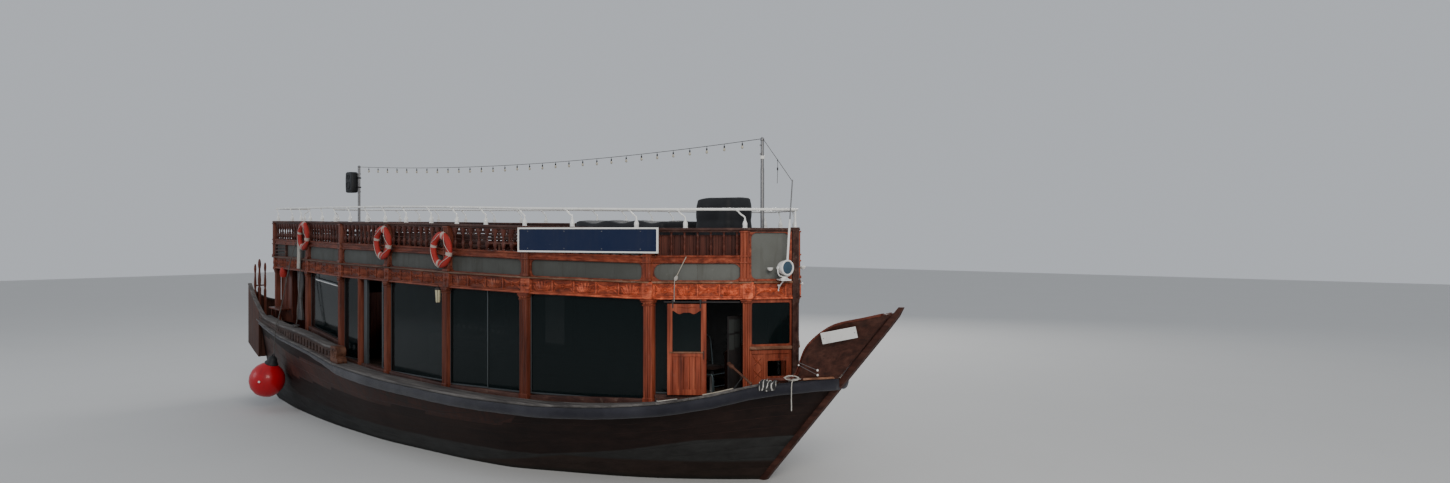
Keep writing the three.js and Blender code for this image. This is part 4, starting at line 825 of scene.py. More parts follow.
# raised quarter: boards, slots, cap rail, carved end block, stern wing
quarter_y, qz = smooth(QUARTER, 1), smooth(QUARTER, 2)
qy = lambda x: quarter_y(x) if x <= -3.34 else quarter_y(-3.34) + rail_y(x) - rail_y(-3.34)
for s, nm in ((1, "port"), (-1, "starboard")):
    g = Geo()

    def qstrip(x0, x1, za, zb, d0, d1, m=0, r=0.006, step=0.2):
        g.loft([[(x, (qy(x) - c) * s, zz) for c, zz in rrect(d0, d1, za(x), zb(x), r, 2)] for x in along(x0, x1, step)], m)
    foot = lambda x: rail_z(max(x, -8.8)) - 0.01
    # lower board, upper board
    qstrip(-8.8, -2.98, foot, lambda x: max(rail_z(max(x, -8.8)) + 0.145, foot(x) + 0.05), 0.0, 0.07)
    qstrip(-8.8, -6.98, lambda x: rail_z(x) + 0.15, lambda x: qz(x) - 0.09, 0.002, 0.068)
    qstrip(-8.8, -2.98, lambda x: qz(x) - 0.085, lambda x: qz(x) - 0.03, 0.0, 0.07)
    n_slot = 19
    for i in range(n_slot + 1):
        x = -6.96 + i * (3.96 / n_slot)
        z0, z1 = rail_z(x) + 0.14, qz(x) - 0.08
        g.block((x, (qy(x) - 0.035) * s, (z0 + z1) / 2), (1, 0, 0), (0, 1, 0), (0, 0, 1), 0.052, 0.031, (z1 - z0) / 2, 0.012)
        if i < n_slot:
            xa = x + 3.96 / n_slot / 2
            g.block((xa, (qy(xa) - 0.035) * s, qz(xa) - 0.105), (1, 0, 0), (0, 1, 0), (0, 0, 1), 0.06, 0.028, 0.022, 0.012)
    # boards of the stern wing
    n_b = 7
    for i in range(n_b):
        xa, xb = -9.995 + 1.19 * i / n_b, -9.995 + 1.19 * (i + 1) / n_b - 0.006
        ring = []
        for x in (xa, xb):
            zf = 1.17 + (-8.8 - min(x, -8.8)) * 0.2417
            ring.append([(x, (qy(x) - c) * s, zz) for c, zz in ((0.0, zf), (0.0, qz(x) - 0.035), (0.065, qz(x) - 0.035), (0.065, zf))])
        g.loft(ring, 1)
    shown(f"quarter_{nm}", g, [m_quarter, m_wing], hide=[f"quarter_rail_{nm}"])

    g = Geo()
    for a, b in ((-8.34, -5.9), (-5.893, -2.94)):
        g.loft([[(x, c * s, qz(x) + h) for c, h in rrect(qy(x) - 0.235, qy(x) + 0.028, -0.046, 0.002, 0.014)] for x in along(a, b, 0.2)])
    g.loft([[(x, c * s, qz(x) + h) for c, h in rrect(qy(x) - 0.10, qy(x) + 0.012, -0.044, 0.004, 0.016)] for x in along(-9.99, -8.348, 0.12)])
    shown(f"quarter_cap_{nm}", g, m_worn, angle=50)

    # end block with a carved scroll
    g = Geo()
    xa, xb = -3.02, -2.62
    fr_o = Vector((xa, (qy(xa) + 0.030) * s, 0))
    fr_u = Vector((xb - xa, (qy(xb) - qy(xa)) * s, 0)).normalized()
    fr_n = Vector((-fr_u.y, fr_u.x, 0)) * (-s)
    zb0, zb1 = rail_z(-2.8) + 0.03, 1.985
    # side outline: round head over a waisted foot
    out = [(0.0, zb0), (0.0, zb1 - 0.03), (0.03, zb1)]
    out += [(0.235 + 0.125 * math.sin(math.radians(q)), zb1 - 0.125 + 0.125 * math.cos(math.radians(q))) for q in range(-10, 131, 14)]
    out += [(0.318, zb1 - 0.235), (0.330, zb1 - 0.27)]
    out += [(0.335 + 0.070 * math.sin(math.radians(q)), zb1 - 0.335 + 0.070 * math.cos(math.radians(q))) for q in range(10, 171, 20)]
    out += [(0.315, zb0 + 0.03), (0.315, zb0)]
    g.loft([[fr_o + fr_u * a + fr_n * d + Vector((0, 0, z)) for a, z in out] for d in (0.0, 0.02, 0.20, 0.22)])
    cx, cz = 0.205, zb1 - 0.155
    pts = []
    for k in range(60):
        a = k * 0.32
        r = 0.128 * math.exp(-a * 0.105)
        pts.append(fr_o + fr_u * (cx + r * math.cos(a + 0.6)) + fr_n * (0.002) + Vector((0, 0, cz + r * math.sin(a + 0.6))))
    g.tube(pts, lambda t: 0.018 * (1 - 0.55 * t), 8)
    g.lathe([(0.001, -0.02), (0.026, -0.012), (0.02, 0.006), (0.001, 0.012)], 12, pts[-1], -fr_n)
    shown(f"quarter_scroll_{nm}", g, m_scroll, angle=50)

# stern gallery: deck boards, shaped board across the stern, turned posts
g = Geo()
hw0, hw1 = qy(STERN_X) - 0.073, qy(-8.81) - 0.073
g.loft([[(STERN_X + 0.004, -hw0, 1.465), (STERN_X + 0.004, hw0, 1.465), (STERN_X + 0.004, hw0, 2.065), (STERN_X + 0.004, -hw0, 2.065)],
        [(-8.803, -hw1, 1.175), (-8.803, hw1, 1.175), (-8.803, hw1, 2.065), (-8.803, -hw1, 2.065)]], 1)
nb = 20
for i in range(nb):
    ya, yb = -1.0 + 2.0 * i / nb, -1.0 + 2.0 * (i + 1) / nb
    f0, f1 = 0.004 / hw0, 0.004 / hw1
    lo, hi = 2.066, 2.089
    g.loft([[(STERN_X + 0.006, (ya + f0) * hw0, lo), (STERN_X + 0.006, (yb - f0) * hw0, lo), (STERN_X + 0.006, (yb - f0) * hw0, hi), (STERN_X + 0.006, (ya + f0) * hw0, hi)],
            [(-8.806, (ya + f1) * hw1, lo), (-8.806, (yb - f1) * hw1, lo), (-8.806, (yb - f1) * hw1, hi), (-8.806, (ya + f1) * hw1, hi)]], 2)
crest = smooth([(-hw0, 2.92), (-0.9, 2.66), (-0.4, 2.56), (0, 2.53), (0.4, 2.56), (0.9, 2.66), (hw0, 2.92)])
for i in range(11):
    ya, yb = -hw0 + 2 * hw0 * i / 11, -hw0 + 2 * hw0 * (i + 1) / 11 - 0.005
    ys = [ya + (yb - ya) * k / 3 for k in range(4)]
    out = [(y, crest(y) - 0.02) for y in ys] + [(yb, 2.092), (ya, 2.092)]
    g.loft([[(STERN_X + 0.008, y, z) for y, z in out], [(STERN_X + 0.07, y, z) for y, z in out]], 1)
shown("gallery_boards", g, [m_wing, m_wing, m_deck], hide=["stern_gallery"])
g = Geo()
ys = [-hw0 + 2 * hw0 * k / 30 for k in range(31)]
g.loft([[(STERN_X + a, y, crest(y) + b) for a, b in rrect(-0.0, 0.10, -0.022, 0.024, 0.012)] for y in ys])
shown("gallery_crest", g, m_worn, angle=50)
g = Geo()
for s in (1, -1):
    for k, (yy, hh, rr) in enumerate(((1.24, 1.0, 0.52), (1.08, 0.94, 0.42), (1.36, 0.92, 0.42))):
        g.lathe([(a * rr, b * hh) for a, b in [(0.085, 0), (0.085, 0.86), (0.075, 0.885), (0.05, 0.92), (0.062, 0.95), (0.078, 1.02), (0.082, 1.10), (0.07, 1.2), (0.052, 1.32), (0.048, 1.40), (0.066, 1.45), (0.08, 1.52),
                 (0.072, 1.60), (0.05, 1.655), (0.03, 1.672), (0.001, 1.68)]], 16, (-9.72, yy * s, 2.091))
    g.tube([(-9.72, 1.05 * s, 3.04), (-9.72, 1.39 * s, 3.04)], 0.018, 8)
shown("gallery_posts", g, m_door)

# prow bulwarks
pt, pf = [smooth(PROW, k) for k in (1, 2)], None
for s, nm in ((1, "port"), (-1, "starboard")):
    g = Geo()
    n = 40
    tt = [i / n for i in range(n + 1)]

    def tab(T, c):
        return smooth([(k / (len(T) - 1), r[c]) for k, r in enumerate(T)], 1)
    fx, fy, fz = tab(PROW_FOOT, 0), tab(PROW_FOOT, 1), tab(PROW_FOOT, 2)
    tx, ty, tz = tab(PROW, 0), tab(PROW, 1), tab(PROW, 2)
    rings, crest_r = [], []
    for t in tt:
        a = Vector((fx(t), fy(t), fz(t) - 0.02))
        b = Vector((tx(t), ty(t), tz(t)))
        outer, inner = [], []
        for k in range(7):
            u = k / 6
            p = a.lerp(b, u)
            bulge = math.sin(u * math.pi) * -0.025
            p = Vector((p.x, max(p.y + bulge, 0.068), p.z))
            outer.append(p)
            inner.append(Vector((p.x - 0.04, max(p.y - 0.062, 0.0665), p.z)))
        rings.append([(p.x, p.y * s, p.z) for p in outer + inner[::-1]])
        cy = max(b.y - 0.03, 0.075)
        crest_r.append([(b.x - 0.02, max(cy + q, 0.0665) * s, b.z + h) for q, h in rrect(-0.055, 0.052, -0.018, 0.030, 0.014)])
    keep = [i for i, t in enumerate(tt) if ty(t) > 0.16]
    g.loft(rings[:keep[-1] + 4])
    shown(f"prow_{nm}", g, m_prow, angle=50, hide=[f"prow_bulwark_{nm}"])
    g = Geo()
    g.loft(crest_r[:keep[-1] + 2])
    shown(f"prow_cap_{nm}", g, m_teak, angle=50)

# stem post with chamfered edges and a worn head
g = Geo()
zs = [-1.5, -1.3, -0.5, 0.4, 1.3, 2.2, 2.9, 3.14, 3.24, 3.30]
rings = []
for z in zs:
    back, front = stem_x(z) - STEM_DEPTH, stem_x(z)
    w = 0.065
    if z > 3.1:
        front = stem_x(3.1) + 0.6 * (z - 3.1)
        w = 0.065 - (z - 3.1) * 0.08
    if z < -1.4:
        front -= 0.02
    c = 0.018
    rings.append([(back, -w, z), (back, w, z), (front - c * 2, w, z), (front, w - c, z), (front, -w + c, z), (front - c * 2, -w, z)])
g.loft(rings)
shown("stem", g, m_prow, angle=40, hide=["stem_post"])

# ------------------------------------------------------------------ cabin sides
C_LEDGE = ((0.10, 0.042, 0.023), (0.22, 0.095, 0.052), (0.38, 0.21, 0.14))
# aft=0.48 darkens the ledge towards the stern as painted shade
m_ledge = wood("ledge_teak", *C_LEDGE, axis="X", rough=(0.5, 0.7), stain=0.6, worn=0.3, worn_color=(0.40, 0.34, 0.29), aft=0.48)
m_hand = wood("hand_rail_teak", (0.026, 0.011, 0.009), (0.062, 0.026, 0.020), (0.13, 0.066, 0.050), axis="X", rough=(0.45, 0.65), stain=0.5, worn=0.25)
# centre offset and width of each post as the photo shows them
POST_SEEN = {-5.82: (-0.06, 0.155), -3.35: (-0.06, 0.130), -2.30: (-0.07, 0.07), -1.00: (-0.06, 0.130), 1.30: (-0.07, 0.160), 3.37: (-0.05, 0.190), 7.27: (-0.030, 0.125)}
BAYS = [(a[0], b[0]) for a, b in zip(POSTS, POSTS[1:])]
P6 = 7.27
sill_foot = lambda x: rail_z(x) if x <= -3.3 else min(rail_z(x), FORE_DECK if x > 6.4 else 9)


def reeds(w, n, front, depth, back):
    pts = [(-w / 2, back)]
    pitch = w / n
    for i in range(n):
        c = -w / 2 + pitch * (i + 0.5)
        for k in range(7):
            a = math.pi * k / 6
            pts.append((c - math.cos(a) * pitch * 0.47, front + depth * (1 - math.sin(a))))
    pts.append((w / 2, back))
    return pts


def leaf(g, P, Q, width, up, h, bend=0.0, seg=6, m=0):
    """carved leaf with a ridge, from P to Q"""
    P, Q, up = Vector(P), Vector(Q), Vector(up).normalized()
    d = Q - P
    L = d.length
    d.normalize()
    side = up.cross(d)
    rings = []
    for i in range(seg + 1):
        t = i / seg
        k = math.sin(math.pi * min(1.0, 0.03 + 0.94 * t ** 0.75))
        w = width * 0.5 * k ** 0.8 + 0.0008
        c = P + d * (L * t) + side * (bend * math.sin(math.pi * t) * L)
        rings.append([c + side * w - up * 0.004, c + up * (h * k ** 0.6), c - side * w - up * 0.004])
    g.loft(rings, m)


def rosette(g, c, up, ax, r, h, petals=8, m=0):
    c, up, ax = Vector(c), Vector(up).normalized(), Vector(ax).normalized()
    ay = up.cross(ax)
    g.lathe([(r * 0.36, -0.004), (r * 0.36, h * 0.5), (r * 0.24, h * 0.95), (0.001, h * 1.1)], 10, c, up, m)
    for k in range(petals):
        a = 2 * math.pi * k / petals
        d = ax * math.cos(a) + ay * math.sin(a)
        leaf(g, c + d * r * 0.3, c + d * r, r * 0.55, up, h * 0.8, seg=4, m=m)


def holed(g, fr, s0, s1, z0, z1, h0, h1, k0, k1, r, d0, d1, zf=lambda s: 0.0, m=0, n=5):
    """board with a rounded opening: outline s0..s1, z0..z1, opening h0..h1, k0..k1"""
    inner = []
    for cx, cz, a0 in ((h1 - r, k1 - r, 0), (h0 + r, k1 - r, 90), (h0 + r, k0 + r, 180), (h1 - r, k0 + r, 270)):
        for k in range(n + 1):
            a = math.radians(a0 + 90 * k / n)
            inner.append((cx + r * math.cos(a), cz + r * math.sin(a)))
    outer = []
    for j, (ca, cb) in enumerate(((s1, z1), (s0, z1), (s0, z0), (s1, z0))):
        for k in range(n + 1):
            i = j * (n + 1) + k
            p = inner[i]
            if k == n // 2 or (0 < k < n):
                outer.append((ca, cb))
            elif (k == 0) == (j % 2 == 0):
                outer.append((ca, p[1]))
            else:
                outer.append((p[0], cb))
    P = lambda q, d: fr.at(q[0], d, q[1] + zf(q[0]))
    e = 0.006
    grown = [(q[0] + (c[0] - q[0]) * 0, q[1]) for q, c in zip(inner, outer)]
    rings = [[P(q, d0) for q in outer], [P(q, d0) for q in grown], [P(q, d1) for q in inner], [P(q, d1) for q in outer]]
    # the same corner point several times would leave faces without area, so the board is built of strips
    nn = len(inner)
    verts = rings[0] + rings[1] + rings[2] + rings[3]
    faces = []
    for ring in range(4):
        for i in range(nn):
            a, b = ring * nn + i, ring * nn + (i + 1) % nn
            c, d = ((ring + 1) % 4) * nn + (i + 1) % nn, ((ring + 1) % 4) * nn + i
            faces.append((a, b, c, d))
    key, new, mp = {}, [], []
    for v in verts:
        kk = (round(v[0], 5), round(v[1], 5), round(v[2], 5))
        if kk not in key:
            key[kk] = len(new)
            new.append(v)
        mp.append(key[kk])
    clean = []
    for f in faces:
        q = []
        for i in f:
            if not q or mp[i] != q[-1]:
                q.append(mp[i])
        if q[0] == q[-1]:
            q.pop()
        if len(set(q)) > 2:
            clean.append(tuple(q))
    g.add(new, clean, m)


def zrail(fr):
    return lambda s: rail_top(fr.x + fr.u.x * s)


for s, nm in ((1, "port"), (-1, "starboard")):
    # --- posts with reeds, capitals and feet
    g = Geo()
    for x, w in POSTS:
        fr = Frame(x, s)
        foot, head = sill_foot(x) - 0.015, rail_top(x) - FRIEZE_BOTTOM
        if x == P6:
            foot = 1.64
        c, w = POST_SEEN.get(x, (0.0, w))
        front = 0.012 if x < -6 else (0.0 if x > 5 else -0.020)
        fr.prism(g, [(a + c, b) for a, b in reeds(w, 4 if w > 0.15 else (3 if w > 0.1 else 2), front, 0.018, FRAME_T)], foot, head + 0.01)
        by_door = x == P6
        fr.box(g, c - w / 2 - (0 if by_door else 0.010), c + w / 2 + 0.010, front - (0 if by_door else 0.010), FRAME_T, foot, foot + 0.11, 0.01)
        if w > 0.1:
            for k, (grow, z0, z1) in enumerate(((0.012, 0.115, 0.095), (0.024, 0.060, 0.032), (0.040, 0.032, 0.0))):
                if by_door and k == 0:
                    continue
                fr.box(g, c - w / 2 - grow, c + w / 2 + grow, front - grow * (0.4 if front < 0 else 1), FRAME_T, head - z0, head - z1, 0.008, 1)
            for q in (() if by_door else (-1, 0, 1)):
                leaf(g, fr.at(c + q * w * 0.3, front - 0.006, head - 0.095), fr.at(c + q * w * 0.36, front - 0.016, head - 0.045), 0.05, -fr.n, 0.010, m=1)
    # jamb of the doorway
    fr = Frame(5.87, s, 6)
    fr.prism(g, [(1.05 - 0.08 + a, b) for a, b in [(0, FRAME_T), (0, 0.008), (0.02, 0.0), (0.06, 0.0), (0.08, 0.008), (0.08, FRAME_T)]], 1.58, 3.37)
    shown(f"cabin_posts_{nm}", g, [m_post, m_railing], hide=[f"cabin_frame_{nm}"])

    # --- frieze: backing, mouldings and carved panels
    g = Geo()
    rt = rail_top
    sweep(g, s, -8.70, NOSE_X, lambda x: [(0.018, rt(x) - 1.262), (FRAME_T, rt(x) - 1.262), (FRAME_T, rt(x) - 0.951), (0.018, rt(x) - 0.951)])
    sweep(g, s, -8.70, NOSE_X, lambda x: [(a, rt(x) + b) for a, b in rrect(-0.014, 0.05, -1.272, -1.232, 0.014)], 1)
    sweep(g, s, -8.70, NOSE_X, lambda x: [(a, rt(x) + b) for a, b in rrect(0.0, 0.05, -1.226, -1.212, 0.006)], 1)
    sweep(g, s, -8.70, NOSE_X, lambda x: [(a, rt(x) + b) for a, b in rrect(0.002, 0.05, -1.008, -0.990, 0.008)], 1)
    stops = [-8.70] + [p[0] for p in POSTS if p[1] > 0.1][1:] + [NOSE_X]
    k = 0
    for xa, xb in zip(stops, stops[1:]):
        fr = Frame(xa + 1e-4, s)
        zf = zrail(fr)
        L = math.hypot(xb - xa, side_half(xb) - side_half(xa))
        n = max(1, round((L - 0.24) / 0.43))
        c = (L - 0.24) / n
        for i in range(n):
            sc = 0.12 + c * (i + 0.5)
            zc = zf(sc) - 1.11
            up = -fr.n
            at = lambda a, b: fr.at(sc + a, 0.017, zc + b)
            if k % 2 == 0:
                for sa in (1, -1):
                    for sb in (1, -1):
                        leaf(g, at(sa * 0.02, sb * 0.02), at(sa * c * 0.45, sb * 0.094), 0.070, up, 0.028, bend=0.20 * sa * sb * s, m=1)
                    leaf(g, at(sa * 0.045, 0), at(sa * c * 0.43, 0), 0.060, up, 0.026, m=1)
                rosette(g, at(0, 0), up, fr.u, 0.062, 0.024, m=1)
            else:
                for q in range(-3, 4):
                    a = q * 0.42
                    leaf(g, at(0.022 * q, -0.095), at(math.sin(a) * c * 0.40, -0.095 + 0.195 * math.cos(a * 0.75)), 0.058, up, 0.027, bend=0.05 * q * s, m=1)
                for sa in (1, -1):
                    leaf(g, at(sa * c * 0.20, -0.095), at(sa * c * 0.46, 0.06), 0.066, up, 0.026, bend=-0.3 * sa * s, m=1)
                    rosette(g, at(sa * c * 0.36, -0.055), up, fr.u, 0.026, 0.014, 6, m=1)
            k += 1
        for i in range(n + 1):
            sc = 0.12 + c * i
            zz = zf(sc)
            fr.box(g, sc - 0.013, sc + 0.013, -0.002, 0.05, zz - 1.214, zz - 1.006, 0.006, 1)
    for x, w in POSTS:
        if w < 0.1:
            continue
        fr = Frame(x, s)
        zz = rail_top(x)
        ww = w / 2 + 0.012
        fr.box(g, -ww, ww, -0.024, 0.06, zz - 1.268, zz - 0.955, 0.012, 1)
        rosette(g, fr.at(0, -0.023, zz - 1.11), -fr.n, fr.u, 0.06, 0.02, 10, m=1)
        for sb in (1, -1):
            leaf(g, fr.at(0, -0.023, zz - 1.11 + sb * 0.06), fr.at(0, -0.023, zz - 1.11 + sb * 0.13), 0.06, -fr.n, 0.016, m=1)
    shown(f"frieze_{nm}", g, [m_frieze, m_carve_highlit], angle=40)

    # --- ledge over the frieze
    g = Geo()
    sweep(g, s, -8.71, NOSE_X, lambda x: [(a, rt(x) + b) for a, b in rrect(-0.038, 0.10, -0.985, -0.948, 0.014)])
    shown(f"deck_ledge_{nm}", g, m_ledge, angle=50)

    # --- sill
    g = Geo()
    for xa, xb in ((-5.73, -3.44), (-3.26, -2.35), (-2.25, -1.10), (-0.90, 1.20), (1.40, 3.26), (3.48, 5.77)):
        top = (lambda x: qz(x) + 0.03) if xb < -3.3 else (lambda x: rail_z(x) + 0.082)
        low = (lambda x: qz(x) - 0.10) if xb < -3.3 else (lambda x: rail_z(x) - 0.06)
        sweep(g, s, xa, xb, lambda x: [(a, b) for a, b in rrect(0.0, FRAME_T, low(x), top(x), 0.01)])
    sweep(g, s, 5.97, 6.68, lambda x: rrect(0.03, FRAME_T, 1.50, 1.66, 0.01))
    sweep(g, s, 7.35, NOSE_X - 0.005, lambda x: rrect(0.0, FRAME_T, 1.58, 1.70, 0.01))
    shown(f"window_sill_{nm}", g, m_hand, angle=50)

    # --- window panes in thin steel frames
    g, h = Geo(), Geo()
    panes = [(-5.80, -3.44, 0), (-3.33, -2.345, 1), (-1.37, -1.09, 0), (-0.98, 1.19, 0), (1.31, 2.34, 0), (2.31, 3.27, 1),
             (3.43, 5.78, 0), (5.96, 6.66, 0)]
    for xa, xb, row in panes:
        fr = Frame(xa + 1e-4, s)
        L = math.hypot(xb - xa, side_half(xb) - side_half(xa))
        z0 = (qz(xb) + 0.035) if xb < -3.3 else ((rail_z((xa + xb) / 2) + 0.085) if xb < 6 else 1.66)
        zt = rail_top(xa) - FRIEZE_BOTTOM + 0.02
        d0 = (0.078 if xb < 5.8 else 0.143) + row * 0.013
        fr.box(g, 0.012, L - 0.012, d0 + 0.003, d0 + 0.009, z0 + 0.012, zt - 0.01, 0.001)
        for a, b in ((0, 0.022), (L - 0.022, L)):
            fr.box(h, a, b, d0 - 0.001, d0 + 0.0125, z0, zt, 0.003)
        for a, b in ((z0, z0 + 0.030), (zt - 0.03, zt)):
            fr.box(h, 0.022, L - 0.022, d0 - 0.001, d0 + 0.0125, a, b, 0.003)
    fr = Frame(-2.2, s)
    fr.box(h, -0.055, 0.10, 0.06, 0.12, rail_z(-2.2) + 0.06, 3.49, 0.006)
    fr.box(h, 0.80, 0.84, 0.075, 0.12, rail_z(-1.4) + 0.06, 3.49, 0.004)
    shown(f"window_glass_{nm}", g, m_glass, flat=True, hide=[f"saloon_windows_{nm}"])
    shown(f"window_frames_{nm}", h, m_alu)

    # --- bow bay: window over a panel with a hatch
    g, h = Geo(), Geo()
    fr = Frame(P6, s, 7)
    holed(g, fr, 0.035, 0.816, 2.50, 3.35, 0.082, 0.785, 2.55, 3.29, 0.03, 0.030, 0.095)
    holed(g, fr, 0.035, 0.816, 1.71, 2.497, 0.36, 0.715, 1.97, 2.26, 0.02, 0.030, 0.095)
    fr.box(g, 0.03, 0.818, -0.02, 0.095, 2.455, 2.515, 0.016, 1)
    fr.box(g, 0.035, 0.815, 0.0, 0.05, 1.70, 1.76, 0.012)
    for a in (0.040, 0.300, 0.770):
        fr.box(g, a, a + 0.032, 0.010, 0.05, 1.76, 2.45, 0.008)
    fr.box(g, 0.07, 0.77, 0.012, 0.05, 2.375, 2.45, 0.008)
    for zc in (2.02, 2.24):
        for k in (-1, 1):
            leaf(g, fr.at(0.187, 0.029, zc), fr.at(0.187 + 0.085 * k, 0.029, zc + 0.10), 0.045, -fr.n, 0.014)
            leaf(g, fr.at(0.187, 0.029, zc), fr.at(0.187 + 0.07 * k, 0.029, zc - 0.07), 0.035, -fr.n, 0.012)
        rosette(g, fr.at(0.187, 0.029, zc), -fr.n, fr.u, 0.035, 0.014, 6)
    holed(g, fr, 0.325, 0.75, 1.935, 2.295, 0.365, 0.71, 1.975, 2.255, 0.02, 0.014, 0.035)
    fr.box(h, 0.084, 0.783, 0.058, 0.066, 2.552, 3.288, 0.002)
    shown(f"bow_bay_{nm}", g, [m_door, m_ledge], hide=[f"bow_panel_{nm}"])
    shown(f"bow_glass_{nm}", h, m_glass, flat=True, hide=[f"bow_window_{nm}"])

# nose post, in the dark hand-rail wood as painted shade
g = Geo()


def nose_ring(grow, z):
    pts = [(7.668, 0.028), (7.7635, 0.096), (7.792, 0.058 + grow), (7.808 + grow, 0.025), (7.812 + grow, 0)]
    return [(x, -y, z) for x, y in pts] + [(x, y, z) for x, y in reversed(pts[:-1])]


rows = [(1.601, 0.012), (1.72, 0.012), (1.728, 0), (3.27, 0), (3.28, 0.012), (3.31, 0.014), (3.33, 0.020), (3.655, 0.020), (3.675, 0.028), (3.70, 0.028), (3.71, 0.0), (4.54, 0.0), (4.555, 0.012), (4.60, 0.012), (4.602, 0.022), (4.63, 0.022)]
g.loft([nose_ring(k, z) for z, k in rows])
for z0, z1 in ((3.36, 3.62),):
    for k in (-1, 0, 1):
        leaf(g, (7.828, 0.018 * k, z0), (7.826, 0.03 * k, z1), 0.030, (1, 0, 0), 0.010, m=1)
shown("nose_pillar", g, [m_hand, m_hand], hide=["nose_post"], angle=40)

# ------------------------------------------------------------------ balustrade
def spindle(g, fr, sc, z0, z1, kind=0, m=0):
    """turned spindle, broad in the plane of the rail"""
    h = z1 - z0
    if kind == 0:
        rows = [(0.030, 0.0), (0.032, 0.05), (0.018, 0.075), (0.022, 0.10), (0.036, 0.20), (0.040, 0.27), (0.030, 0.36), (0.018, 0.43), (0.026, 0.455), (0.026, 0.475), (0.016, 0.50),
                (0.018, 0.58), (0.030, 0.70), (0.055, 0.83), (0.082, 0.94), (0.098, 1.0)]
    else:
        rows = [(0.022, 0.0), (0.024, 0.06), (0.013, 0.09), (0.016, 0.18), (0.028, 0.30), (0.026, 0.40), (0.013, 0.50), (0.020, 0.53), (0.013, 0.56), (0.014, 0.72), (0.024, 0.84), (0.014, 0.92), (0.024, 0.96), (0.026, 1.0)]
    n = 10
    rings = []
    for r, t in rows:
        dz = min(r, 0.046)
        rings.append([fr.at(sc + r * math.cos(2 * math.pi * k / n), 0.055 + dz * math.sin(2 * math.pi * k / n), z0 + h * t) for k in range(n)])
    g.loft(rings, m)


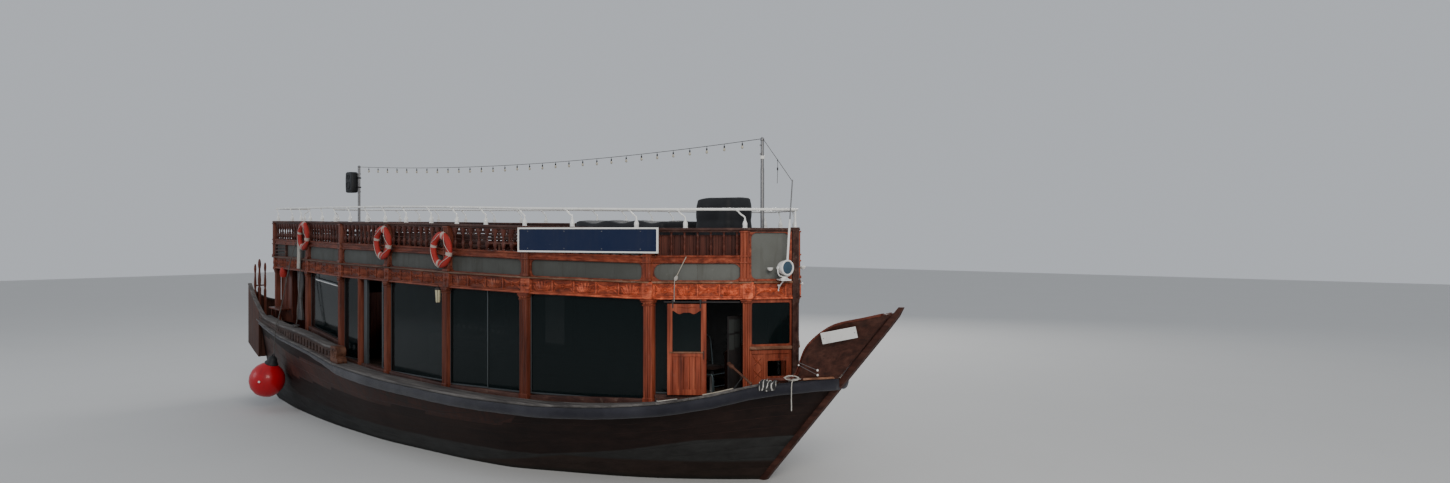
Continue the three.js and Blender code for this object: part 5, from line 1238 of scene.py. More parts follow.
for s, nm in ((1, "port"), (-1, "starboard")):
    rt = rail_top
    wood_g, grey_g, spin_g, rail_g = Geo(), Geo(), Geo(), Geo()
    sweep(rail_g, s, -8.71, NOSE_X - 0.004, lambda x: [(a, rt(x) + b) for a, b in rrect(-0.022, 0.128, -0.052, 0.0, 0.018)])
    sweep(rail_g, s, -8.70, NOSE_X - 0.01, lambda x: [(a, rt(x) + b) for a, b in rrect(0.006, 0.105, -0.078, -0.050, 0.008)])
    # band over the panels: two beads and a hollow
    band = [(0.10, -0.492), (0.02, -0.486), (-0.012, -0.490), (-0.026, -0.503), (-0.022, -0.520), (-0.004, -0.530), (0.004, -0.548), (0.004, -0.572), (-0.006, -0.588), (-0.020, -0.598), (-0.020, -0.616), (-0.004, -0.628), (0.10, -0.628)]
    sweep(wood_g, s, -8.70, 7.29, lambda x: [(a, rt(x) + b) for a, b in band])
    sweep(wood_g, s, -8.70, NOSE_X - 0.01, lambda x: [(0.058, rt(x) - 0.95), (0.085, rt(x) - 0.95), (0.085, rt(x) - 0.50), (0.058, rt(x) - 0.50)])
    for i, x in enumerate(PILLARS):
        fr = Frame(x, s)
        w = 0.17 if x > -8 else 0.13
        z = rail_top(x)
        c = -0.055 if x == P6 else 0.0
        fr.prism(wood_g, [(a + c, b) for a, b in reeds(w, 3, -0.034, 0.018, 0.11)], z - 0.945, z - 0.055, 1)
        fr.box(wood_g, c - w / 2 - 0.014, c + w / 2 + 0.014, -0.048, 0.11, z - 0.948, z - 0.89, 0.010, 1)
        fr.box(wood_g, c - w / 2 - 0.012, c + w / 2 + 0.012, -0.046, 0.11, z - 0.63, z - 0.60, 0.008, 1)
        fr.box(wood_g, c - w / 2 - 0.012, c + w / 2 + 0.012, -0.046, 0.11, z - 0.515, z - 0.485, 0.008, 1)
        fr.box(wood_g, c - w / 2 - 0.012, c + w / 2 + 0.012, -0.044, 0.11, z - 0.085, z - 0.052, 0.008, 1)
    for i, (xa, xb) in enumerate(zip(PILLARS, PILLARS[1:])):
        fr = Frame(xa + 1e-4, s)
        zf = zrail(fr)
        L = math.hypot(xb - xa, side_half(xb) - side_half(xa))
        a, b = 0.075, L - 0.075
        r = 0.148 if i == len(PILLARS) - 2 else 0.085
        holed(wood_g, fr, a, b, -0.952, -0.622, a + 0.045, b - 0.045, -0.932, -0.634, r, 0.012, 0.058, zf)
        n = max(2, int(L / 0.6))
        for q in range(n):
            u0, u1 = a + 0.02 + (b - a - 0.04) * q / n, a + 0.02 + (b - a - 0.04) * (q + 1) / n - 0.002
            grey_g.loft([[fr.at(u, d, zf(u) + zz) for d, zz in ((0.040, -0.945), (0.0575, -0.945), (0.0575, -0.625), (0.040, -0.625))] for u in (u0, u1)])
        kind = 1 if i == len(PILLARS) - 2 else 0
        step = 0.25 if kind else 0.21
        n = round((b - a) / step)
        for q in range(n):
            sc = a + (b - a) * (q + 0.5) / n
            z = zf(sc)
            spindle(spin_g, fr, sc, z - 0.49, z - 0.075, kind, kind)
    # bow bay with its large plain panel
    fr = Frame(P6, s, 7)
    holed(wood_g, fr, 0.025, 0.815, 3.675, 4.57, 0.066, 0.765, 3.712, 4.535, 0.10, 0.008, 0.058)
    grey_g.loft([[fr.at(u, d, zz) for d, zz in ((0.040, 3.70), (0.0575, 3.70), (0.0575, 4.555), (0.040, 4.555))] for u in (0.045, 0.80)])
    # across the stern
    z = rail_top(-8.7)
    rail_g.box(-8.71, -8.575, 0.30 * s if s > 0 else -1.36, 1.36 if s > 0 else -0.30, z - 0.052, z, 0.016)
    wood_g.box(-8.70, -8.60, 0.34 if s > 0 else -1.30, 1.30 if s > 0 else -0.34, z - 0.628, z - 0.49, 0.012)
    wood_g.box(-8.70, -8.60, 0.34 if s > 0 else -1.30, 1.30 if s > 0 else -0.34, z - 0.95, z - 0.90, 0.012)
    y0, y1 = (0.32, 0.42) if s > 0 else (-0.42, -0.32)
    wood_g.box(-8.70, -8.59, y0, y1, z - 0.949, z - 0.05, 0.012, 1)
    grey_g.box(-8.665, -8.64, 0.42 if s > 0 else -1.24, 1.24 if s > 0 else -0.42, z - 0.90, z - 0.625, 0.002)
    for k in range(4):
        yc = (0.52 + k * 0.2) * s
        spin_g.lathe([(0.028, 0), (0.03, 0.03), (0.018, 0.05), (0.03, 0.11), (0.034, 0.16), (0.018, 0.22), (0.026, 0.24), (0.02, 0.28), (0.03, 0.36), (0.045, 0.42)], 10, (-8.645, yc, z - 0.49))
    shown(f"balustrade_frame_{nm}", wood_g, [m_railing, m_post], hide=[f"balustrade_{nm}"])
    shown(f"balustrade_panels_{nm}", grey_g, m_grey, flat=True)
    shown(f"balusters_{nm}", spin_g, [m_spindle, m_spindle], angle=45)
    shown(f"hand_rail_{nm}", rail_g, m_hand, angle=50)

# ------------------------------------------------------------------ pipe rail
g = Geo()
pts = []
d = 0.06


def pipe_pt(i, s):
    m = MITRE[i]
    return Vector((SIDE[i][0] + m[0] * d, (SIDE[i][1] + m[1] * d) * s, SIDE[i][2] + PIPE_ABOVE))


def rounded(corners, r=0.10, n=5):
    out = [corners[0]]
    for a, b, c in zip(corners, corners[1:], corners[2:]):
        u, v = (a - b), (c - b)
        k = min(r, u.length * 0.45, v.length * 0.45)
        p, q = b + u.normalized() * k, b + v.normalized() * k
        for i in range(n + 1):
            t = i / n
            out.append(p * (1 - t) ** 2 + b * 2 * t * (1 - t) + q * t * t)
    return out + [corners[-1]]


left = [Vector((-8.64, 0.36, 5.15)), Vector((-8.64, 1.27, 5.15))] + [pipe_pt(i, 1) for i in range(1, 8)] + [Vector((7.755, 0.05, 4.95))]
corners = left + [Vector((p.x, -p.y, p.z)) for p in reversed(left)]
g.tube(rounded(corners), 0.0235, 10)


def bottle(g, foot, aft, h=0.31):
    foot, aft = Vector(foot), Vector(aft).normalized()
    g.lathe([(0.046, 0.001), (0.046, 0.010), (0.040, 0.016), (0.042, 0.04), (0.044, 0.07), (0.037, 0.10), (0.022, 0.128), (0.0165, 0.150), (0.0175, 0.158), (0.0145, 0.166)], 12, foot)
    up = Vector((0, 0, 1))
    a = foot + up * 0.16
    P = [a, a + up * 0.03 + aft * 0.005, a + up * 0.055 + aft * 0.03, a + up * 0.085 + aft * 0.075, foot + up * h + aft * 0.135]
    sm = []
    for i in range(len(P) - 1):
        p0, p1, p2, p3 = P[max(i - 1, 0)], P[i], P[i + 1], P[min(i + 2, len(P) - 1)]
        for k in range(3):
            t = k / 3
            sm.append(0.5 * ((2 * p1) + (p2 - p0) * t + (2 * p0 - 5 * p1 + 4 * p2 - p3) * t * t + (3 * p1 - p0 - 3 * p2 + p3) * t ** 3))
    g.tube(sm + [P[-1]], 0.0145, 8)
    g.lathe([(0.001, -0.026), (0.026, -0.022), (0.0275, 0.0), (0.026, 0.022), (0.001, 0.026)], 10, P[-1] + up * 0.012, aft)


for x in PIPE_FEET:
    for s in (1, -1):
        fr = Frame(x, s)
        bottle(g, fr.at(0, 0.06, rail_top(x) - 0.002), -fr.u)
for y in (0.40, -0.40):
    bottle(g, (-8.64, y + (0.10 if y > 0 else -0.10), rail_top(-8.7) - 0.002), (0, -1 if y > 0 else 1, 0))
g.lathe([(0.036, 0.0), (0.030, 0.03), (0.014, 0.12), (0.012, 0.31)], 10, (7.755, 0, 4.631))
shown("pipe_rail_tube", g, m_white, angle=40, hide=["pipe_rail"])

# ------------------------------------------------------------------ upper deck
paint("upper_deck", m_deck)
deck_at = lambda x: rail_top(x) - DECK_TOP
for s, nm in ((1, "port"), (-1, "starboard")):
    g = Geo()
    x0, x1 = -7.6, 2.2
    # seat slats, back slats, legs
    for k in range(5):
        a = 0.20 + k * 0.082
        sweep(g, s, x0, x1, lambda x: [(p, deck_at(x) + q) for p, q in rrect(a, a + 0.07, 0.408, 0.436, 0.006, 2)])
    for k in range(3):
        b = 0.50 + k * 0.088
        sweep(g, s, x0, x1, lambda x: [(p, deck_at(x) + q) for p, q in rrect(0.165, 0.188, b, b + 0.076, 0.006, 2)], 1)
    for x in along(x0 + 0.08, x1 - 0.08, 1.05):
        fr = Frame(x, s)
        z = deck_at(x)
        fr.box(g, -0.022, 0.022, 0.19, 0.232, z + 0.004, z + 0.77, 0.005)
        fr.box(g, -0.022, 0.022, 0.555, 0.595, z + 0.004, z + 0.406, 0.005)
        fr.box(g, -0.018, 0.018, 0.232, 0.555, z + 0.35, z + 0.405, 0.005)
        fr.box(g, -0.014, 0.014, 0.232, 0.555, z + 0.10, z + 0.14, 0.005)
    shown(f"deck_bench_{nm}", g, [m_bench, m_hand], hide=[f"upper_bench_{nm}"])
    # boarded back of the forward bay
    g = Geo()
    fr = Frame(5.87, s, 6)
    n = 15
    for q in range(n):
        a, b = 0.02 + 1.70 * q / n, 0.02 + 1.70 * (q + 1) / n - 0.005
        z = 4.62
        fr.box(g, a, b, 0.150, 0.172, z - DECK_TOP + 0.004, z - 0.125, 0.003)
    fr.box(g, 0.01, 1.72, 0.173, 0.20, 4.42, 4.48, 0.004)
    shown(f"forward_boarding_{nm}", g, m_board)

# ------------------------------------------------------------------ soft goods
def fitted_cover(name, x0, x1, y0, y1, top, drop, mat, r=0.06, seed=0.0, crown=None, ties=(), step=0.055, thick=0.006, pull=0.0):
    """sewn cover pulled over a box: crowned top, rounded shoulders, skirt with folds; returns the piece and its area"""
    def outline(grow, rad):
        a0, a1, b0, b1 = x0 - grow, x1 + grow, y0 - grow, y1 + grow
        pts = []
        for cx, cy, w0 in ((a1 - rad, b1 - rad, 0), (a0 + rad, b1 - rad, 90), (a0 + rad, b0 + rad, 180), (a1 - rad, b0 + rad, 270)):
            for k in range(6):
                w = math.radians(w0 + 90 * k / 5)
                pts.append((cx + rad * math.cos(w), cy + rad * math.sin(w)))
        out = []
        for p, q in zip(pts, pts[1:] + pts[:1]):
            L = math.hypot(q[0] - p[0], q[1] - p[1])
            n = max(1, int(L / step))
            for k in range(n):
                out.append((p[0] + (q[0] - p[0]) * k / n, p[1] + (q[1] - p[1]) * k / n))
        return out
    base = outline(0, r * 1.2)
    cx, cy = (x0 + x1) / 2, (y0 + y1) / 2
    N = len(base)
    rings = []
    for f in (0.0, 0.25, 0.5, 0.72, 0.88, 0.96):
        rings.append([(cx + (p[0] - cx) * max(f, 0.02), cy + (p[1] - cy) * max(f, 0.02), top + (crown((cx + (p[0] - cx) * f), cy + (p[1] - cy) * f) if crown else 0)
                       + noise.noise(Vector((p[0] * f * 3 + seed, p[1] * f * 3, 1))) * 0.012) for p in base])
    m = max(6, int(drop / step))
    per = [0.0]
    for p, q in zip(base, base[1:]):
        per.append(per[-1] + math.hypot(q[0] - p[0], q[1] - p[1]))
    for j in range(m + 1):
        t = j / m
        ring = []
        for i, p in enumerate(base):
            d = math.hypot(p[0] - cx, p[1] - cy)
            nx, ny = (p[0] - cx) / d, (p[1] - cy) / d
            dz = crown(p[0], p[1]) * (1 - t) if crown else 0
            fold = (0.004 + 0.020 * t) * math.sin(per[i] * 11.0 + 2.2 * math.sin(per[i] * 2.3 + seed)) * 0.55
            sag = noise.noise(Vector((p[0] * 2.2 + seed, p[1] * 2.2, t * 3.0))) * 0.022
            tie = sum(-0.022 * math.exp(-((t - q) / 0.035) ** 2) for q in ties)
            out = fold + sag + tie + (r * 0.25 if t > 0.04 else r * 0.1) - pull * t * t
            ring.append((p[0] + nx * out, p[1] + ny * out, top + dz - 0.012 - (drop - 0.012) * t))
        rings.append(ring)
    V = [v for ring in rings for v in ring]
    F = []
    for a in range(len(rings) - 1):
        for i in range(N):
            F.append((a * N + i, a * N + (i + 1) % N, (a + 1) * N + (i + 1) % N, (a + 1) * N + i))
    F.append(tuple(range(N - 1, -1, -1)))
    me = bpy.data.meshes.new(name)
    me.from_pydata(V, [], F)
    me.materials.append(mat)
    bm = bmesh.new()
    bm.from_mesh(me)
    bmesh.ops.recalc_face_normals(bm, faces=bm.faces)
    for _ in range(2):
        bmesh.ops.smooth_vert(bm, verts=[v for v in bm.verts if not v.is_boundary], factor=0.4, use_axis_x=True, use_axis_y=True, use_axis_z=True)
    area = sum(f.calc_area() for f in bm.faces)
    bm.to_mesh(me)
    bm.free()
    o = bpy.data.objects.new(name, me)
    bpy.context.collection.objects.link(o)
    md = o.modifiers.new("thick", "SOLIDIFY")
    md.thickness, md.offset = thick, 0.0
    dg = bpy.context.evaluated_depsgraph_get()
    new = bpy.data.meshes.new_from_object(o.evaluated_get(dg))
    o.modifiers.clear()
    o.data = new
    bpy.data.meshes.remove(me)
    new.polygons.foreach_set("use_smooth", [True] * len(new.polygons))
    return o, area


def hung(name, mat, nu, nv, fn, thick=0.004):
    """sheet from a function of (u, v), given thickness"""
    V = [tuple(fn(i / nu, j / nv)) for j in range(nv + 1) for i in range(nu + 1)]
    F = [(j * (nu + 1) + i, j * (nu + 1) + i + 1, (j + 1) * (nu + 1) + i + 1, (j + 1) * (nu + 1) + i) for j in range(nv) for i in range(nu)]
    me = bpy.data.meshes.new(name)
    me.from_pydata(V, [], F)
    me.materials.append(mat)
    area = sum(p.area for p in me.polygons)
    o = bpy.data.objects.new(name, me)
    bpy.context.collection.objects.link(o)
    md = o.modifiers.new("thick", "SOLIDIFY")
    md.thickness, md.offset = thick, 0.0
    dg = bpy.context.evaluated_depsgraph_get()
    new = bpy.data.meshes.new_from_object(o.evaluated_get(dg))
    o.modifiers.clear()
    o.data = new
    bpy.data.meshes.remove(me)
    new.polygons.foreach_set("use_smooth", [True] * len(new.polygons))
    return o, area


def curve_cord(name, pts, dia, mat):
    cu = bpy.data.curves.new(name, "CURVE")
    cu.dimensions = "3D"
    sp = cu.splines.new("POLY")
    sp.points.add(len(pts) - 1)
    for q, p in zip(sp.points, pts):
        q.co = (*p, 1)
    cu.bevel_depth = dia / 2
    cu.bevel_resolution = 3
    cu.use_fill_caps = True
    cu.materials.append(mat)
    o = bpy.data.objects.new(name, cu)
    bpy.context.collection.objects.link(o)
    return o


def length_of(pts):
    return sum((Vector(b) - Vector(a)).length for a, b in zip(pts, pts[1:]))


def spline(P, n=8):
    P = [Vector(p) for p in P]
    out = []
    for i in range(len(P) - 1):
        p0, p1, p2, p3 = P[max(i - 1, 0)], P[i], P[i + 1], P[min(i + 2, len(P) - 1)]
        for k in range(n):
            t = k / n
            out.append(0.5 * ((2 * p1) + (p2 - p0) * t + (2 * p0 - 5 * p1 + 4 * p2 - p3) * t * t + (3 * p1 - p0 - 3 * p2 + p3) * t ** 3))
    return out + [P[-1]]


def cushion(name, fr_o, u, v, a, b, h, mat, button=True, seed=0):
    """crowned cushion: a along u, b along v, h thick, base at fr_o"""
    u, v = Vector(u).normalized(), Vector(v).normalized()
    w = u.cross(v).normalized()
    if w.z < 0 and abs(w.z) > 0.5:
        w = -w
    nu, nv = max(8, int(a / 0.06)), max(6, int(b / 0.06))
    V, F = [], []

    def P(i, j, side):
        x, y = -1 + 2 * i / nu, -1 + 2 * j / nv
        ex, ey = 1 - abs(x) ** 6, 1 - abs(y) ** 6
        crown = (max(ex, 0) * max(ey, 0)) ** 0.5
        pinch = 1 - 0.035 * (1 - y * y) * (abs(x) ** 4) - 0.0
        pinch2 = 1 - 0.035 * (1 - x * x) * (abs(y) ** 4)
        full = 0.5 + 0.5 * (1 - 0.25 * (x * x + y * y))
        wr = noise.noise(Vector((x * a * 6 + seed, y * b * 6, side * 3))) * 0.006
        dz = h * 0.5 * crown * (full if side > 0 else 0.92) * side + (wr * crown if side > 0 else 0)
        if button and side > 0:
            for bx, by in ((-0.5, 0), (0, 0), (0.5, 0)):
                dd = ((x - bx) * a / 2) ** 2 + ((y - by) * b / 2) ** 2
                dz -= 0.016 * math.exp(-dd / 0.0018)
        return Vector(fr_o) + u * (x * a / 2 * pinch) + v * (y * b / 2 * pinch2) + w * (h * 0.5 + dz)
    idx = {}
    for side in (1, -1):
        for j in range(nv + 1):
            for i in range(nu + 1):
                rim = i in (0, nu) or j in (0, nv)
                key = (i, j, 0 if rim else side)
                if key not in idx:
                    idx[key] = len(V)
                    V.append(P(i, j, side))
    for side in (1, -1):
        for j in range(nv):
            for i in range(nu):
                q = []
                for di, dj in ((0, 0), (1, 0), (1, 1), (0, 1)):
                    ii, jj = i + di, j + dj
                    rim = ii in (0, nu) or jj in (0, nv)
                    q.append(idx[ii, jj, 0 if rim else side])
                F.append(tuple(q))
    g = Geo()
    g.add(V, F)
    # piping round the edge
    o = shown(name, g, mat, angle=80)
    md = o.modifiers.new("soft", "SUBSURF")
    md.levels = md.render_levels = 1
    dg = bpy.context.evaluated_depsgraph_get()
    new = bpy.data.meshes.new_from_object(o.evaluated_get(dg))
    o.modifiers.clear()
    o.data = new
    new.polygons.foreach_set("use_smooth", [True] * len(new.polygons))
    rim = [V[idx[i, 0, 0]] for i in range(nu + 1)] + [V[idx[nu, j, 0]] for j in range(1, nv + 1)] + [V[idx[i, nv, 0]] for i in range(nu - 1, -1, -1)] + [V[idx[0, j, 0]] for j in range(nv - 1, 0, -1)]
    pg = Geo()
    pg.tube(rim, 0.005, 6, loop=True)
    p = shown(name + "_piping", pg, mat, body=None, angle=80)
    p.parent = o
    return o


# covered seats and covered box on the upper deck
g = Geo()
zd = deck_at(2.7) + 0.006
for xa in (2.80, 3.62, 4.45):
    g.box(xa, xa + 0.50, -0.68, 0.68, zd + 0.40, zd + 0.46, 0.01)
    g.box(xa - 0.02, xa + 0.03, -0.68, 0.68, zd + 0.44, zd + 1.02, 0.01)
    for y in (-0.62, 0.62):
        g.box(xa, xa + 0.05, y - 0.03, y + 0.03, zd, zd + 0.40, 0.006)
        g.box(xa + 0.42, xa + 0.47, y - 0.03, y + 0.03, zd, zd + 0.40, 0.006)
shown("seat_rows", g, m_bench)
seat_crown = lambda x, y: -0.045 + 0.05 * math.cos((x - 2.80) * 2 * math.pi / 0.825) * math.exp(-((y / 0.8) ** 4))
o, area = fitted_cover("seat_tarp", 2.70, 5.15, -0.74, 0.74, 4.785, 1.04, m_tarp, r=0.07, seed=3.0, crown=seat_crown, ties=(0.62,), pull=0.02)
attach(o, "hull")
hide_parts("low_seats")
zb = deck_at(5.66) + 0.012
g = Geo()
g.box(5.71, 6.45, -0.33, 0.33, zb, zb + 0.55, 0.02)
g.box(5.74, 6.42, -0.30, 0.30, zb + 0.56, zb + 1.10, 0.02)
g.box(5.76, 6.40, -0.28, 0.28, zb + 1.11, 5.13, 0.03)
shown("stowed_crates", g, m_bench)
box_crown = lambda x, y: 0.02 - 0.05 * max(0, (6.08 - x)) ** 2 * 4 - 0.03 * abs(y)
o, area = fitted_cover("box_tarp", 5.675, 6.485, -0.365, 0.365, 5.175, 5.16 - zb, m_tarp, r=0.10, seed=8.0, crown=box_crown, ties=(0.28, 0.7), pull=0.015)
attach(o, "hull")
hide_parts("covered_box")

# ------------------------------------------------------------------ masts and lights
g = Geo()
za, zf_ = deck_at(-6.7), deck_at(7.0)
g.lathe([(0.036, 0), (0.036, 6.22 - za), (0.033, 6.24 - za), (0.040, 6.25 - za), (0.040, 6.275 - za), (0.012, 6.30 - za)], 14, (-6.7, 0, za + 0.004))
g.lathe([(0.11, 0), (0.11, 0.012), (0.055, 0.018), (0.050, 0.07), (0.037, 0.08)], 16, (-6.7, 0, za + 0.004))
for z in (5.60, 6.08):
    g.lathe([(0.037, -0.018), (0.045, -0.016), (0.045, 0.016), (0.037, 0.018)], 14, (-6.7, 0, z))
shown("aft_mast_tube", g, m_steel, hide=["aft_mast"])
g = Geo()
g.lathe([(0.036, 0), (0.036, 5.70 - zf_), (0.031, 5.74 - zf_), (0.031, 6.22 - zf_), (0.038, 6.23 - zf_), (0.038, 6.262 - zf_), (0.012, 6.29 - zf_)], 14, (7.0, 0, zf_ + 0.004))
g.lathe([(0.10, 0), (0.10, 0.012), (0.055, 0.018), (0.050, 0.07), (0.037, 0.08)], 16, (7.0, 0, zf_ + 0.004))
g.lathe([(0.037, -0.03), (0.043, -0.028), (0.043, 0.028), (0.037, 0.03)], 14, (7.0, 0, 5.92), m=1)
for z in (5.98, 6.14):
    g.block((7.0, -0.045, z), (1, 0, 0), (0, 1, 0), (0, 0, 1), 0.012, 0.02, 0.012, 0.003)
shown("forward_mast_tube", g, [m_steel, m_white], hide=["forward_mast"])

# string of lights between the mast heads
P0, P1 = Vector((6.966, 0, 6.262)), Vector((-6.662, 0, 6.262))
pts = []
for i in range(37):
    t = i / 36
    p = P0.lerp(P1, t)
    p.z -= 0.20 * 4 * t * (1 - t)
    pts.append(p)
line = curve_cord("light_cable", pts, 0.012, m_drope)
g = Geo()
n = 31
for i in range(1, n):
    t = i / n
    p = P0.lerp(P1, t)
    p.z -= 0.20 * 4 * t * (1 - t)
    k = 0.030 + 0.010 * rnd.random()
    g.tube([p, p - Vector((0, 0, k + 0.004))], 0.0045, 6)
    q = p - Vector((0, 0, k))
    g.lathe([(0.006, 0.004), (0.014, -0.002), (0.015, -0.038), (0.012, -0.044)], 8, q)
    g.lathe([(0.011, -0.040), (0.021, -0.056), (0.025, -0.076), (0.020, -0.094), (0.001, -0.103)], 10, q, m=1)
bulbs = shown("light_bulbs", g, [m_black, m_bulb])
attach(line, "hull")
tuple(P0)
length_of(pts)

g = Geo()
A, B, C = Vector((7.036, -0.016, 6.25)), Vector((7.50, -0.19, 5.84)), Vector((7.92, -0.3285, 5.45))
g.tube(spline([A, B, C], 6), 0.0055, 8)
g.tube([B, B - Vector((0, 0, 0.10)), B - Vector((0.01, 0, 0.42))], 0.0045, 6)
g.lathe([(0.005, 0), (0.013, -0.01), (0.013, -0.05), (0.001, -0.06)], 8, B - Vector((0.003, 0, 0.13)), m=1)
g.lathe([(0.003, 0), (0.010, -0.01), (0.010, -0.03), (0.001, -0.036)], 8, B - Vector((0, 0, -0.012)), m=1)
shown("forestay_wire", g, [m_drope, m_black], hide=["forestay"])

# loudspeaker
g = Geo()
c = Vector((-6.915, -0.09, 5.85))
prof = []
for k in range(24):
    a = 2 * math.pi * k / 24
    ca, sa = math.cos(a), math.sin(a)
    prof.append((math.copysign(abs(ca) ** 0.45, ca), math.copysign(abs(sa) ** 0.45, sa)))
rings = []
for z, w, dpt in ((-0.275, 0.70, 0.80), (-0.262, 0.86, 0.93), (-0.235, 0.93, 0.98), (-0.1, 1, 1), (0.12, 1, 1), (0.235, 0.95, 0.98), (0.265, 0.86, 0.92), (0.278, 0.70, 0.80)):
    rings.append([(c.x + a * 0.18 * w, c.y + b * 0.108 * dpt, c.z + z) for a, b in prof])
g.loft(rings)
g.box(-6.742, -6.66, -0.045, 0.045, 5.70, 5.735, 0.006)
g.box(-6.742, -6.66, -0.045, 0.045, 5.95, 5.985, 0.006)
for z, r in ((-0.085, 0.085), (0.14, 0.05)):
    g.lathe([(r + 0.012, 0.0), (r + 0.012, 0.010), (r, 0.013), (r * 0.95, 0.004), (r * 0.5, -0.012), (r * 0.3, 0.002), (0.001, 0.006)], 24, c + Vector((0, -0.107, z)), (0, -1, 0), 1)
for z in (-0.215, -0.235):
    g.box(c.x - 0.10, c.x + 0.10, c.y - 0.112, c.y - 0.10, c.z + z - 0.005, c.z + z + 0.005, 0.002, 1)
shown("speaker_cabinet", g, [m_black, m_black], hide=["speaker"])

# ------------------------------------------------------------------ blank boards
for s, nm in ((1, "port"), (-1, "starboard")):
    g = Geo()
    fr = Frame(3.37 + 1e-4, s)
    L = fr.length
    a, b, z0, z1 = -0.12, L + 0.255, 4.172, 4.628
    fr.box(g, a + 0.012, b - 0.012, -0.068, -0.052, z0 + 0.012, z1 - 0.012, 0.003)
    holed(g, fr, a, b, z0, z1, a + 0.028, b - 0.028, z0 + 0.028, z1 - 0.028, 0.02, -0.080, -0.050, m=1)
    for q in (0.10, 0.9, 1.7, L - 0.10):
        fr.box(g, q - 0.02, q + 0.02, -0.052, -0.030, z0 + 0.03, z1 - 0.03, 0.003, 2)
        for zz in (z0 + 0.07, z1 - 0.07):
            g.lathe([(0.009, 0), (0.009, 0.003), (0.004, 0.006), (0.001, 0.006)], 8, fr.at(q, -0.068, zz), -fr.n, 2)
    shown(f"name_board_{nm}", g, [m_navy, m_white, m_steel], hide=[f"sign_board_{nm}"])
    # plate on the prow
    p0, p1, q0 = Vector(PROW[2]), Vector(PROW[4]), Vector(PROW_FOOT[2])
    w = (p1 - p0).cross(q0 - p0).normalized()
    if w.y < 0:
        w = -w
    u = Vector((0.505, -0.327, 0.123))
    u = (u - w * w.dot(u)).normalized()
    v = w.cross(u).normalized()
    if v.z < 0:
        v = -v
    c = Vector((9.035, 0.512, 2.813))
    T = lambda p: Vector((p.x, p.y * s, p.z))
    g = Geo()
    U, V_, W = T(u), T(v), T(w)
    g.block(T(c), U, V_, W, 0.30, 0.1025, 0.006, 0.004)
    for q in (-1, 1):
        g.block(T(c) + W * 0.006 + V_ * (0.096 * q), U, V_, W, 0.295, 0.0035, 0.002, 0.001)
        g.block(T(c) + W * 0.006 + U * (0.292 * q), U, V_, W, 0.0035, 0.096, 0.002, 0.001)
        g.lathe([(0.008, 0), (0.008, 0.003), (0.001, 0.006)], 8, T(c) + W * 0.005 + U * (0.265 * q), W, 1)
        g.block(T(c) - W * 0.016 + U * (0.2 * q), U, V_, W, 0.03, 0.06, 0.012, 0.003, 1)
    shown(f"plate_{nm}", g, [m_plate, m_steel], hide=[f"number_plate_{nm}"])

# ------------------------------------------------------------------ searchlight
g = Geo()
c = Vector((7.813, -0.405, 3.92))
ax = Vector((0.974, -0.227, 0.0)).normalized()
g.lathe([(0.001, -0.125), (0.045, -0.122), (0.085, -0.105), (0.108, -0.07), (0.122, -0.02), (0.130, 0.03), (0.134, 0.055), (0.134, 0.066), (0.140, 0.070), (0.140, 0.092), (0.126, 0.100), (0.112, 0.094), (0.108, 0.070), (0.001, 0.070)], 32, c, ax)
g.lathe([(0.001, 0.072), (0.107, 0.072), (0.107, 0.084), (0.075, 0.094), (0.001, 0.100)], 28, c, ax, 1)
g.lathe([(0.020, -0.145), (0.028, -0.140), (0.028, -0.118), (0.001, -0.118)], 12, c, ax)
sd = ax.cross(Vector((0, 0, 1))).normalized()
yoke = [c + sd * 0.150 + Vector((0, 0, 0.0)), c + sd * 0.152 - Vector((0, 0, 0.07)), c + sd * 0.12 - Vector((0, 0, 0.135)), c + sd * 0.05 - Vector((0, 0, 0.155))]
yoke = yoke + [c - Vector((0, 0, 0.157))] + [Vector((2 * c.x - p.x, 2 * c.y - p.y, p.z)) for p in reversed(yoke)]
g.tube(spline(yoke, 4), 0.011, 8)
for k in (1, -1):
    g.lathe([(0.024, -0.008), (0.026, 0.0), (0.026, 0.012), (0.018, 0.018), (0.001, 0.018)], 12, c + sd * (0.150 * k), sd * k)
g.lathe([(0.075, 0.0), (0.078, 0.01), (0.060, 0.022), (0.046, 0.03), (0.044, 0.045), (0.052, 0.05)], 20, (c.x, c.y, 3.7155))
shown("searchlight_lamp", g, [m_white, m_lens], hide=["searchlight"])
g = Geo()
ring = [(7.5706, -0.3235), (7.8268, -0.5133), (7.916, -0.3428), (7.6839, -0.1709)]
g.loft([[(x, y, 3.69) for x, y in ring], [(x, y, 3.697) for x, y in ring], [(x, y, 3.715) for x, y in ring]])
g.tube([(7.625, -0.335, 3.50), (7.66, -0.36, 3.58), (7.78, -0.39, 3.685)], 0.012, 8)
g.lathe([(0.020, 0.0), (0.020, 0.98), (0.0135, 1.02), (0.0135, 1.06)], 12, (7.8015, -0.335, 3.716), (0.073, 0, 1.0), 1)
g.lathe([(0.012, 0.0), (0.0115, 0.70)], 10, (7.879, -0.335, 4.77), (0.08, 0, 1.0), 2)
g.lathe([(0.026, 0), (0.026, 0.045), (0.018, 0.055)], 12, (7.801, -0.335, 3.716), m=1)
shown("light_bracket", g, [m_white, m_white, m_steel])
# small lamps beside it
g = Geo()
for s in (1, -1):
    fr = Frame(P6, s, 7)
    p = fr.at(0.39, -0.02, 3.90)
    g.lathe([(0.001, -0.045), (0.030, -0.036), (0.050, -0.010), (0.055, 0.012), (0.052, 0.018), (0.001, 0.020)], 16, p - fr.n * 0.055)
    fr.box(g, 0.378, 0.402, -0.03, 0.035, 3.895, 3.915, 0.003, 1)
    p = fr.at(0.56, -0.055, 3.60)
    g.lathe([(0.001, -0.030), (0.022, -0.022), (0.034, 0.0), (0.030, 0.012), (0.001, 0.014)], 14, p)
    fr.box(g, 0.552, 0.568, -0.045, 0.02, 3.608, 3.622, 0.003, 1)
shown("bow_lamps", g, [m_white, m_steel])

